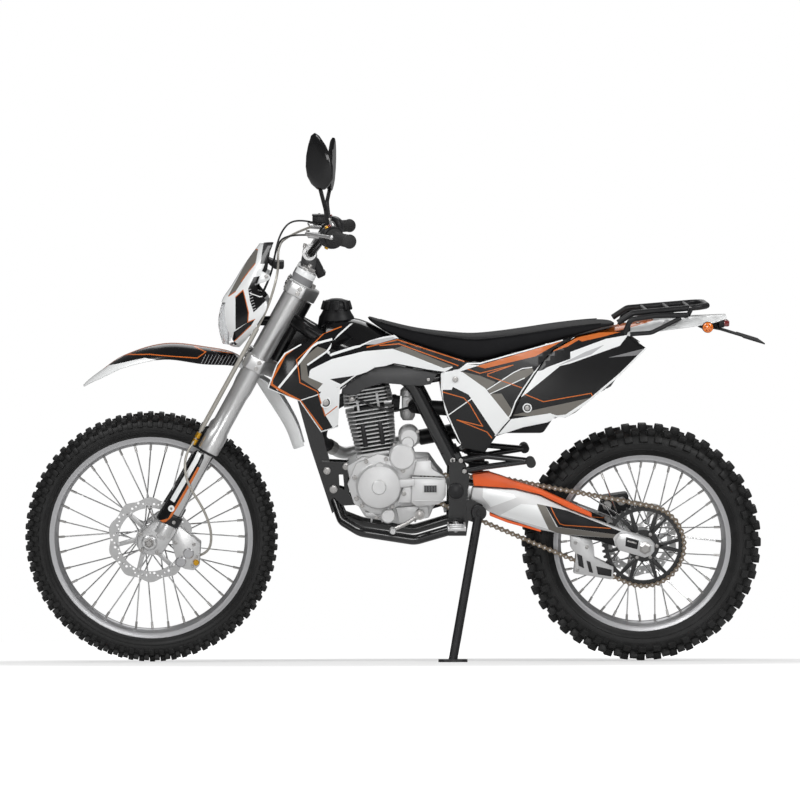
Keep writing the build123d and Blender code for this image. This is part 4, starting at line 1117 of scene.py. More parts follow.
@dataclass
class SpokedWheel:
    """A rim, a hub and crossed spokes."""

    name: str
    body: str
    node: str
    centre: Vector
    rim_radius: float
    rim_half: float
    hub_half: float
    flange: float
    waist: float
    bosses: tuple = ()
    rim_depth: float = 24.0
    spokes: int = 36

    def rim(self) -> Piece:
        """The channel rim with rolled edges.

        Returns:
            The rim.
        """
        outer, deep, half = self.rim_radius, self.rim_radius - self.rim_depth, self.rim_half
        side = [(deep, half * 0.40), (deep + 4, half * 0.62), (deep + 9, half * 0.94),
            (outer - 8, half * 0.94), (outer - 4, half), (outer, half), (outer, half - 3),
            (outer - 5, half - 5), (deep + 12, half - 6), (deep + 6, half * 0.36)]
        return Shop.lathe("rim", side + [(r, -y) for r, y in reversed(side)], self.centre, 120)

    def hub(self) -> Piece:
        """The turned hub with its two spoke flanges.

        Returns:
            The hub.
        """
        half = self.hub_half
        side = [(10.6, half), (self.waist + 3, half), (self.waist + 4, half - 10),
            (self.flange - 1, half - 14), (self.flange, half - 15), (self.flange, half - 19),
            (self.flange - 2, half - 20), (self.waist, half - 26)]
        return Shop.lathe("hub", side + [(r, -y) for r, y in reversed(side)], self.centre, 48)

    def spoke_group(self) -> list[Piece]:
        """Four spokes with their nipples: two sides, two ways of leaning.

        Returns:
            The spokes and nipples.
        """
        made = []
        for number in range(4):
            side = 1 if number % 2 else -1
            lead = 1 if number // 2 else -1
            foot = 2 * math.pi * number / self.spokes
            head = foot - lead * math.radians(42)
            inner = self.centre + Vector((math.cos(head) * (self.flange - 3), side * (self.hub_half - 17),
                                          math.sin(head) * (self.flange - 3)))
            reach = self.rim_radius - self.rim_depth + 4
            outer = self.centre + Vector((math.cos(foot) * reach, side * 5.0, math.sin(foot) * reach))
            way = (outer - inner).normalized()
            made.append(CHROME.on(Shop.rod("spoke", inner, outer, 1.9, 8)))
            made.append(BOLT_STEEL.on(Shop.rod("nipple", outer - way * 22, outer, 3.2, 6)))
        return made

    def build(self) -> Piece:
        """Builds the wheel and puts it on its body.

        Returns:
            The dressed wheel.
        """
        spokes = Shop.join("spokes", self.spoke_group())
        pieces = [RIM_METAL.on(self.rim()), SILVER_METAL.on(self.hub())]
        pieces += ring_of(spokes, self.centre, self.spokes // 4)
        for y_low, y_high, radius in self.bosses:
            profile = [(10.6, y_low), (radius, y_low), (radius, y_high), (10.6, y_high)]
            pieces.append(SILVER_METAL.on(Shop.lathe("boss", profile, self.centre, 48)))
        return Shop.seat(self.name, pieces, self.body, self.node)


@dataclass
class WaveDisc:
    """A petal brake disc: a drilled ring on a carrier with arms."""

    name: str
    body: str
    node: str
    centre: Vector
    radius: float
    y: float
    waves: int
    bore: float
    thickness: float = 4.0
    band: float = 30.0

    def ring(self) -> Piece:
        """The wavy ring with its drilled holes.

        Returns:
            The ring.
        """
        steps = self.waves * 8
        side = []
        for i in range(steps):
            turn = 2 * math.pi * i / steps
            reach = self.radius - 4.0 * (1 + math.cos(turn * self.waves))
            side.append((self.centre.x + reach * math.cos(turn), self.centre.z + reach * math.sin(turn)))
        ring = Shop.slab("ring", side, self.y - self.thickness / 2, self.y + self.thickness / 2)
        cuts = [self.drill(0.0, 0.0, self.radius - self.band)]
        for number in range(self.waves * 3):
            turn = 360.0 * number / (self.waves * 3)
            reach = self.radius - (10.0, 17.0, 23.0)[number % 3] - 2.0
            cuts.append(self.drill(turn, reach, 3.6))
            cuts.append(self.drill(turn + 5.0, reach - (-8.0 if number % 3 == 2 else 7.0), 2.6))
        return Shop.cut(ring, *cuts)

    def drill(self, degrees: float, reach: float, radius: float) -> Piece:
        """A cutter through the disc.

        Args:
            degrees: its place round the disc.
            reach: its distance from the axle.
            radius: its radius.

        Returns:
            The cutter.
        """
        turn = math.radians(degrees)
        spot = self.centre + Vector((reach * math.cos(turn), self.y, reach * math.sin(turn)))
        return Shop.rod("drill", spot - Vector((0, 9, 0)), spot + Vector((0, 9, 0)), radius,
                        64 if reach == 0 else 12)

    def carrier(self) -> list[Piece]:
        """The carrier's ring and swept arms, with a button at each.

        Returns:
            The carrier's pieces.
        """
        profile = [(self.bore, self.y - 3), (self.bore + 15, self.y - 3), (self.bore + 15, self.y + 3),
                   (self.bore, self.y + 3)]
        made = [Shop.lathe("carrier", profile, self.centre, 48)]
        reach = self.radius - self.band + 4
        arm = Shop.slab("arm", [(self.centre.x + self.bore + 8, self.centre.z - 9),
            (self.centre.x + reach, self.centre.z + 8), (self.centre.x + reach, self.centre.z + 20),
            (self.centre.x + self.bore + 8, self.centre.z + 5)], self.y - 2.4, self.y + 2.4, 0.8)
        made += ring_of(arm, self.centre, 6)
        spot = self.centre + Vector((reach - 3, self.y, 13))
        button = Shop.rod("button", spot - Vector((0, 4, 0)), spot + Vector((0, 4, 0)), 6.0, 16, 1.0)
        return made + ring_of(button, self.centre, 6)

    def build(self) -> Piece:
        """Builds the disc and puts it on its wheel.

        Returns:
            The dressed disc.
        """
        pieces = [self.ring(), *self.carrier()]
        for piece in pieces:
            DISC_STEEL.on(piece)
        return Shop.seat(self.name, pieces, self.body, self.node)


@dataclass
class ChainDrive:
    """The rear sprocket and the roller chain."""

    pitch: float = 15.875
    y: float = -73.0
    large: int = 44
    small: int = 13
    front: Vector = field(default_factory=lambda: Vector((88.0, 0.0, 497.0)))
    slider: Point = (300.0, 515.0)

    def radius(self, cogs: int) -> float:
        """The chain's centre line on a sprocket."""
        return self.pitch / (2 * math.sin(math.pi / cogs))

    def loop(self) -> list[Vector]:
        """The chain's centre line as close points.

        Returns:
            The points.
        """
        small, large = self.radius(self.small), self.radius(self.large)
        corners = [Vector((self.front.x + small * math.cos(math.radians(95 + 13.75 * i)), self.y,
                           self.front.z + small * math.sin(math.radians(95 + 13.75 * i)))) for i in range(13)]
        corners += [Vector((REAR_AXLE.x + large * math.cos(math.radians(-115 + 9.75 * i)), self.y,
            REAR_AXLE.z + large * math.sin(math.radians(-115 + 9.75 * i)))) for i in range(21)]
        corners.append(Vector((self.slider[0], self.y, self.slider[1])))
        return corners + [corners[0]]

    def stations(self) -> list[tuple[Vector, Vector]]:
        """Each link's middle and its way along the loop.

        Returns:
            A middle and a way for each link.
        """
        loop = self.loop()
        total = sum((b - a).length for a, b in zip(loop, loop[1:]))
        count = 2 * round(total / self.pitch / 2)
        step, made, run, index = total / count, [], 0.0, 0
        for number in range(count):
            want = (number + 0.5) * step
            while run + (loop[index + 1] - loop[index]).length < want:
                run += (loop[index + 1] - loop[index]).length
                index += 1
            way = (loop[index + 1] - loop[index]).normalized()
            made.append((loop[index] + way * (want - run), way))
        return made

    def link(self, gap: float) -> Piece:
        """A pair of waisted plates with a roller at one end.

        Args:
            gap: how far from the middle each plate's inner face lies.

        Returns:
            The link.
        """
        half, high, waist = self.pitch / 2, 7.0, 2.9
        side = [(-half - 5.5, -3.5), (-half, -high), (0, -waist), (half, -high), (half + 5.5, -3.5),
                (half + 5.5, 3.5), (half, high), (0, waist), (-half, high), (-half - 5.5, 3.5)]
        plates = [CHAIN_STEEL.on(Shop.slab("plate", side, y, y + 1.8)) for y in (gap, -gap - 1.8)]
        pin = Shop.rod("pin", (half, -8.6, 0), (half, 8.6, 0), 2.6, 8)
        roller = Shop.rod("roller", (half, -4.4, 0), (half, 4.4, 0), 4.6, 10)
        return Shop.join("link", [*plates, SILVER_METAL.on(pin), SILVER_METAL.on(roller)])

    def chain(self) -> Piece:
        """The links set round the loop, wide and narrow in turn.

        Returns:
            The chain.
        """
        kinds = [self.link(4.6), self.link(6.5)]
        pieces = []
        for number, (spot, way) in enumerate(self.stations()):
            turn = Matrix.Rotation(-math.atan2(way.z, way.x), 4, "Y")
            pieces.append(Shop.copy(kinds[number % 2], Matrix.Translation(spot) @ turn))
        for kind in kinds:
            bpy.data.objects.remove(kind)
        return Shop.seat("roller_chain", pieces, "chassis", "drive_chain")

    def sprocket(self) -> Piece:
        """The black rear sprocket: a toothed ring on forked arms.

        Returns:
            The sprocket.
        """
        reach, side = self.radius(self.large), []
        for cog in range(self.large):
            for share, rise in ((-0.5, -5.0), (-0.32, -4.4), (-0.14, 3.0), (0.14, 3.0), (0.32, -4.4)):
                turn = 2 * math.pi * (cog + share) / self.large
                side.append((REAR_AXLE.x + (reach + rise) * math.cos(turn),
                    REAR_AXLE.z + (reach + rise) * math.sin(turn)))
        ring = Shop.slab("toothed_ring", side, self.y - 3, self.y + 3)
        middle = Vector((0, self.y, 0)) + REAR_AXLE
        hole = Shop.rod("hole", middle - Vector((0, 9, 0)), middle + Vector((0, 9, 0)), reach - 15, 64)
        pieces = [Shop.cut(ring, hole)]
        profile = [(26.0, self.y - 3.4), (44.0, self.y - 3.4), (44.0, self.y + 3.0), (26.0, self.y + 3.0)]
        pieces.append(Shop.lathe("sprocket_hub", profile, REAR_AXLE, 48))
        x, z = REAR_AXLE.x, REAR_AXLE.z
        for lean in (-1, 1):
            arm = Shop.slab("arm", [(x + 38, z - 7), (x + reach - 11, z + 16 * lean - 4),
                (x + reach - 11, z + 16 * lean + 5), (x + 38, z + 7)], self.y - 2.8, self.y + 2.8, 0.8)
            pieces += ring_of(arm, REAR_AXLE, 6)
        for piece in pieces:
            FRAME_PAINT.on(piece)
        spot = REAR_AXLE + Vector((36, self.y - 3.4, 0))
        bolt = BOLT_STEEL.on(Shop.rod("bolt", spot, spot - Vector((0, 5, 0)), 5.5, 6, 0.8))
        return Shop.seat("rear_sprocket_dressed", pieces + ring_of(bolt, REAR_AXLE, 6), "rear_wheel_set",
            "rear_sprocket")

    def build(self) -> None:
        """Builds both."""
        self.sprocket()
        self.chain()


# ---------------------------------------------------------------- bodywork
def smooth(knots: tuple[float, ...], values: tuple[float, ...], place: float) -> float:
    """A value between knots on a smooth curve through them.

    Args:
        knots: rising places.
        values: the value at each.
        place: where the value is wanted; past the ends the end values hold.

    Returns:
        The value.
    """
    place = min(max(place, knots[0]), knots[-1])
    first = min(bisect_right(knots, place) - 1, len(knots) - 2)
    slopes = []
    for number in (first, first + 1):
        low, high = max(number - 1, 0), min(number + 1, len(knots) - 1)
        slopes.append((values[high] - values[low]) / (knots[high] - knots[low]))
    span = knots[first + 1] - knots[first]
    t = (place - knots[first]) / span
    return ((2 * t**3 - 3 * t**2 + 1) * values[first] + (3 * t**2 - 2 * t**3) * values[first + 1]
            + span * ((t**3 - 2 * t**2 + t) * slopes[0] + (t**3 - t**2) * slopes[1]))


@dataclass(frozen=True)
class Bulge:
    """How far out from the middle plane a panel lies."""

    levels: tuple[float, ...]
    table: tuple[tuple[float, ...], ...]  # x, then the way out at each level

    def out(self, x: float, z: float) -> float:
        """The way out at a place on the side plane.

        Args:
            x: the place along the machine.
            z: the place's height.

        Returns:
            How far out it lies.
        """
        knots = tuple(row[0] for row in self.table)
        ways = [smooth(knots, tuple(row[column] for row in self.table), x) for column in range(1,
            len(self.levels) + 1)]
        return smooth(self.levels, tuple(ways), z)


SHROUD_BULGE = Bulge((630, 743, 850, 960), ((-360, 150, 186, 188, 150), (-290, 146, 196, 196, 152),
    (-200, 132, 170, 178, 142), (-100, 126, 146, 156, 128), (20, 126, 132, 138, 124),
    (150, 124, 126, 128, 122)))
COVER_BULGE = Bulge((590, 690, 800, 930), ((100, 128, 128, 128, 124), (250, 126, 134, 130, 122),
    (400, 124, 136, 132, 120), (560, 118, 128, 124, 110), (700, 112, 118, 116, 100)))


@dataclass
class Panel:
    """A moulded panel: an outline on the side plane, bulged out, with a thickness and its fasteners."""

    name: str
    nodes: tuple[str, ...]
    outline: tuple[Point, ...]
    bulge: Bulge
    finish: Finish
    bolts: tuple[tuple[float, float, float], ...] = ()  # x, z, radius
    rings: tuple[tuple[float, float, float], ...] = ()  # x, z, radius of a collar round a bolt
    stubs: tuple[tuple[float, float, float], ...] = ()  # x, z, how far in the mounting stub reaches
    thickness: float = 3.5
    cell: float = 13.0

    def spot(self, x: float, z: float, lift: float = 0.0) -> Vector:
        """A place on the left panel's face."""
        return Vector((x, -self.bulge.out(x, z) - lift, z))

    def build(self) -> None:
        """Builds the left panel and its mirror image, and puts both on."""
        face = Shop.outline(self.name, [Vector((x, 0, z)) for x, z in self.outline])
        Shop.gridded(face, self.cell)
        for vertex in face.data.vertices:
            vertex.co = self.spot(vertex.co.x, vertex.co.z)
        left = [self.finish.on(Shop.sheet(face, self.thickness, LEFT))]
        for x, z, radius in self.rings:
            # Each ring is a white collar over a satin black disc; the disc is painted shade, standing for the
            # dark gap round the bolt.
            for name, inner, outer, rise, finish in (("collar", 0.72, 1.0, 2.6, WHITE_PLASTIC),
                                                     ("shaded_gap_disc", 0.02, 0.76, 0.8, SATIN_BLACK)):
                profile = [(0, radius * inner), (rise, radius * inner), (rise, radius * (outer - 0.06)),
                           (0, radius * outer)]
                left.append(finish.on(Shop.turned(name, profile, self.spot(x, z), LEFT, 32)))
        for x, z, radius in self.bolts:
            left.append(Shop.bolt(self.spot(x, z, -0.6), LEFT, radius, 3.2))
        for x, z, reach in self.stubs:
            start = self.spot(x, z, -self.thickness)
            stub = Shop.rod("stub", start, (x, -reach, z), 8.0, 20, 0.8)
            left.append(BLACK_PLASTIC.on(stub))
        left = [Shop.join(self.name, left)]
        right = [Shop.mirrored(left[0])]
        if len(self.nodes) == 2:
            Shop.seat(self.name + "_left", left, "chassis", self.nodes[0])
            Shop.seat(self.name + "_right", right, "chassis", self.nodes[1])
        else:
            Shop.seat(self.name, left + right, "chassis", *self.nodes)


def patches(*rows: tuple) -> tuple[Patch, ...]:
    """Patches from rows: tone, the line's width or 0 for a filled patch, and the corners.

    Args:
        rows: the rows.

    Returns:
        The patches.
    """
    made: list[Patch] = []
    for tone, width, *corners in rows:
        made += stripe(tone, width, *corners) if width else [Patch(tone, tuple(corners))]
    return tuple(made)


def kit(name: str, tone: Tone, *rows: tuple) -> Graphic:
    """A glossy sticker kit over one colour, from rows as patches takes them."""
    return Graphic(name, tone, 0.2, grain=0.04, coat=0.15, soil=0.04, specular=0.3, patches=patches(*rows))


SHROUD_KIT = kit("shroud_kit", Tone.BLACK, (Tone.WHITE, 0, (-241, 810), (-211, 767), (-153, 781)),
    # painted shade: this pale grey patch greys the upper half of the white band under the tank
    (Tone.PALE_GREY, 0, (-101, 892), (-73, 904), (-8, 918), (4, 909), (-60, 892)),
    (Tone.WARM_GREY, 0, (-216, 889), (-190, 880), (-245, 842), (-263, 852)),
    (Tone.WARM_GREY, 0, (-263, 852), (-245, 842), (-241, 809), (-259, 803)),
    (Tone.WARM_GREY, 0, (-259, 803), (-241, 809), (-201, 790), (-216, 773)),
    (Tone.WHITE, 0, (-237, 824), (-233, 829), (-177, 855), (-91, 874), (-112, 809), (-155, 777), (-203, 790),
    (-239, 807)), (Tone.WHITE, 0, (-91, 874), (-13, 880), (-9, 841), (-112, 809)),
    (Tone.WHITE, 0, (-13, 880), (86, 844), (82, 823), (-9, 841)), (Tone.WHITE, 0, (86, 844), (151, 829),
    (129, 816), (82, 823)), (Tone.BLACK, 0, (-237, 829), (-192, 870), (-180, 862)),
    (Tone.BLACK, 0, (-183, 801), (-116, 809), (-153, 786)), (Tone.WHITE, 0, (-205, 773), (-155, 779),
    (-160, 673), (-175, 665), (-194, 699), (-211, 755)), (Tone.WARM_GREY, 0, (-9, 880), (13, 887), (151, 831),
    (125, 826)), (Tone.WHITE, 7, (-185, 872), (-179, 867), (-103, 889), (-69, 906), (-13, 915), (0, 911)),
    (Tone.WHITE, 5, (-119, 952), (-160, 917), (-190, 876), (-241, 842)),
    (Tone.WHITE, 6, (-323, 777), (-231, 889), (-216, 898), (-179, 907)),
    (Tone.WHITE, 2.6, (-263, 745), (-157, 777)), (Tone.ORANGE, 6, (-274, 890), (-304, 868), (-319, 837),
    (-338, 803), (-339, 789), (-318, 775), (-267, 747)), (Tone.ORANGE, 2.6, (-152, 940), (-199, 923),
    (-241, 883), (-272, 855), (-267, 829), (-263, 794), (-216, 768), (-211, 751), (-196, 700), (-164, 725)),
    (Tone.ORANGE, 4.5, (-262, 745), (-205, 662)), (Tone.ORANGE, 3, (-82, 885), (0, 904), (181, 844)),
    (Tone.ORANGE, 3, (-47, 889), (4, 893), (164, 833)), (Tone.WHITE, 5, (-262, 895), (-303, 873), (-326, 842),
    (-350, 778), (-264, 742), (-207, 654), (-162, 667)))
SIDE_KIT = kit(
    "side_cover_kit", Tone.BLACK,
    (Tone.WHITE, 0, (100, 829), (170, 817), (147, 767), (100, 767)),
    (Tone.WHITE, 0, (108, 800), (140, 842), (224, 833), (167, 816)),
    (Tone.WHITE, 0, (136, 782), (170, 817), (222, 800), (240, 769), (193, 754)),
    (Tone.WHITE, 0, (240, 769), (193, 754), (266, 645), (305, 688)),
    (Tone.BLACK, 0, (170, 817), (214, 831), (364, 870), (339, 825), (227, 800)),
    (Tone.ORANGE, 0, (214, 831), (447, 899), (375, 858), (237, 825)),
    (Tone.WARM_GREY, 0, (174, 817), (224, 805), (267, 788), (243, 768)),
    (Tone.WARM_GREY, 0, (245, 767), (315, 814), (364, 828), (370, 816), (344, 797), (251, 756)),
    (Tone.WARM_GREY, 0, (251, 756), (282, 757), (311, 712), (301, 693)),
    (Tone.WHITE, 2.6, (243, 767), (315, 814), (339, 825), (364, 828)),
    (Tone.WHITE, 2.2, (251, 756), (344, 799)),
    (Tone.ORANGE, 2.4, (191, 823), (224, 812), (313, 834), (245, 810), (245, 805), (336, 773)),
    (Tone.WHITE, 3.4, (150, 838), (224, 839), (447, 901)),
    (Tone.WHITE, 3.4, (479, 907), (406, 855), (370, 813), (339, 767), (320, 735), (307, 699), (266, 643)),
    (Tone.WHITE, 2.8, (131, 693), (235, 767)),
    (Tone.WHITE, 4, (121, 767), (122, 741), (138, 694), (170, 622)),
    (Tone.ORANGE, 2.6, (123, 761), (180, 745), (196, 728), (231, 668), (162, 685), (243, 652), (256, 636)))
TAIL_KIT = kit(
    "tail_panel_kit", Tone.BLACK,
    (Tone.WHITE, 0, (318, 732), (370, 815), (469, 838), (344, 753)),
    (Tone.WHITE, 0, (370, 815), (406, 828), (469, 869), (469, 838)),
    (Tone.WHITE, 0, (469, 869), (567, 904), (627, 914), (604, 885), (469, 838)),
    (Tone.PALE_GREY, 0, (432, 831), (510, 869), (562, 888), (526, 862)),
    (Tone.WARM_GREY, 0, (310, 698), (396, 718), (531, 746), (474, 699), (432, 692)),
    (Tone.WHITE, 0, (261, 641), (305, 684), (414, 700), (435, 692), (406, 678)),
    # painted highlight: this grey patch is the sheen along the black panel's top edge
    (Tone.GREY, 0, (572, 853), (679, 879), (655, 859)),
    (Tone.ORANGE, 0, (397, 846), (424, 875), (482, 906), (501, 897), (462, 884)),
    (Tone.ORANGE, 0, (482, 906), (549, 923), (614, 924), (560, 910), (501, 897)),
    (Tone.WHITE, 8, (678, 878), (605, 807), (523, 739), (458, 696), (433, 693), (413, 699), (305, 683)),
    (Tone.ORANGE, 2.4, (346, 755), (396, 735), (526, 757), (529, 750)))
REAR_FENDER_KIT = kit(
    "rear_fender_kit", Tone.WHITE,
    (Tone.BLACK, 0, (408, 847), (450, 896), (616, 909), (491, 886)),
    (Tone.BLACK, 0, (450, 896), (574, 935), (640, 941), (616, 909)),
    (Tone.ORANGE, 0, (450, 896), (512, 914), (637, 941), (710, 949), (616, 925), (502, 900)),
    (Tone.PALE_GREY, 0, (715, 930), (731, 948), (783, 959), (757, 935)))
FRONT_FENDER_KIT = replace(kit("front_fender_kit", Tone.WHITE, (Tone.BLACK, 0, (-807, 821), (-743, 853),
    (-687, 883), (-680, 847), (-721, 837)), (Tone.BLACK, 0, (-687, 883), (-639, 890), (-599, 890),
    (-540, 884), (-549, 830), (-680, 845)), (Tone.BLACK, 0, (-540, 884), (-427, 868), (-427, 835),
    (-458, 813), (-549, 830)), *((Tone.PALE_GREY, 0.9, (-534 + 8.6 * number, 833 - 1.4 * number),
    (-522 + 9.4 * number, 857 - 0.6 * number)) for number in range(11)),
    (Tone.WHITE, 7, (-825, 804), (-807, 818), (-712, 841), (-687, 846), (-549, 827), (-461, 810)),
    (Tone.ORANGE, 2.6, (-766, 847), (-734, 856), (-675, 859), (-544, 849), (-522, 864), (-553, 877)),
    (Tone.ORANGE, 1.6, (-517, 875), (-431, 860)), (Tone.ORANGE, 1.6, (-508, 868), (-435, 855))),
    spine=(-806.0, -430.0, 16.0))
MASK_KIT = kit("headlight_mask_kit", Tone.WHITE, (Tone.DARK_GREY, 0, (-363, 1164), (-338, 1166), (-344, 1108),
    (-371, 1106)), (Tone.BLACK, 0, (-389, 1071), (-344, 1080), (-344, 1020), (-389, 977), (-399, 1008),
    (-404, 1040)), (Tone.WHITE, 2.6, (-398, 1028), (-372, 1019), (-345, 1024)),
    (Tone.GREY, 4, (-384, 1052), (-356, 1060)), *((Tone.PALE_GREY, 1.8,
    (-404 + 1.9 * number, 1036 - 7.4 * number), (-397 + 1.9 * number,
    1039 - 7.4 * number)) for number in range(8)), (Tone.WARM_GREY, 0, (-391, 1145), (-378, 1143),
    (-384, 1108), (-402, 1086), (-460, 1017)), (Tone.WARM_GREY, 0, (-402, 1086), (-439, 1031), (-460, 1017)),
    (Tone.ORANGE, 2.2, (-391, 1143), (-380, 1142)), (Tone.ORANGE, 2.2, (-386, 1106), (-424, 1058)),
    (Tone.ORANGE, 2.2, (-458, 1017), (-439, 1031)), (Tone.BLACK, 0, (-419, 1036), (-439, 1016), (-439, 928),
    (-405, 950), (-404, 982)), (Tone.BLACK, 0, (-405, 950), (-385, 958), (-396, 941), (-451, 886),
    (-444, 921)), (Tone.ORANGE, 2.4, (-439, 1016), (-418, 1036), (-412, 1014), (-403, 977), (-405, 950),
    (-386, 958)), (Tone.ORANGE, 2.4, (-451, 887), (-398, 940)))
GUARD_KIT = kit(
    "fork_guard_kit", Tone.BLACK,
    (Tone.WHITE, 13, (-540, 590), (-547, 575), (-609, 469)),
    (Tone.ORANGE, 7.5, (-541, 553), (-576, 490), (-618, 419)),
    (Tone.ORANGE, 0, (-618, 419), (-611, 413), (-630, 384), (-660, 394), (-651, 409)),
    (Tone.ORANGE, 1.4, (-548, 611), (-629, 469)))
ARM_KIT = Graphic(
    "swingarm_kit", Tone.SILVER, 0.35, 0.6, grain=0.2, soil=0.15, patches=patches(
        (Tone.WHITE, 0, (280, 422), (338, 453), (379, 449), (413, 383)),
        (Tone.WHITE, 0, (234, 498), (316, 479), (325, 470), (254, 444), (232, 472)),
        (Tone.WARM_GREY, 0, (380, 453), (404, 448), (434, 389), (413, 382)),
        (Tone.WARM_GREY, 0, (413, 382), (434, 389), (597, 368), (589, 358), (442, 370)),
        (Tone.BLACK, 0, (404, 448), (464, 434), (438, 389)),
        (Tone.BLACK, 0, (464, 434), (610, 376), (597, 368), (438, 389)),
        (Tone.BLACK, 0, (442, 369), (589, 358), (598, 328)),
        (Tone.ORANGE, 2.2, (419, 443), (430, 420), (443, 398), (455, 394), (581, 385))))

SHROUD_OUTLINE = ((-120, 949), (-156, 941), (-264, 895), (-305, 873), (-327, 841), (-351, 778), (-264, 743),
    (-207, 653), (-161, 667), (-156, 770), (-123, 797), (-61, 830), (-6, 838), (112, 814), (165, 821),
    (190, 842), (2, 909), (-8, 917), (-40, 912), (-73, 903), (-101, 891), (-157, 882), (-184, 867),
    (-177, 900))
SIDE_COVER_OUTLINE = ((118, 812), (160, 833), (188, 843), (225, 843), (333, 871), (456, 905), (486, 911),
    (422, 877), (394, 846), (363, 797), (333, 751), (306, 689), (268, 640), (238, 596), (176, 610),
    (132, 697), (118, 770))
TAIL_PANEL_OUTLINE = ((366, 796), (397, 844), (425, 874), (488, 908), (549, 921), (612, 922), (645, 900),
    (678, 877), (605, 805), (523, 737), (483, 705), (456, 691), (428, 693), (414, 680), (341, 665),
    (270, 641), (310, 689), (337, 751))
PANELS = (
    Panel("shroud", ("left_shroud", "right_shroud"), SHROUD_OUTLINE, SHROUD_BULGE, SHROUD_KIT,
          bolts=((-194, 737, 8.5),), rings=((-194, 737, 16.0),), stubs=((-100, 868, 106),)),
    Panel("side_cover", ("side_covers",), SIDE_COVER_OUTLINE, COVER_BULGE, SIDE_KIT,
          bolts=((157, 795, 8.0),), stubs=((157, 795, 98), (300, 826, 98))),
    Panel("tail_panel", ("tail_panels",), TAIL_PANEL_OUTLINE, COVER_BULGE, TAIL_KIT,
          bolts=((352, 718, 7.0),), rings=((352, 718, 13.0),), stubs=((436, 845, 84),)),
)


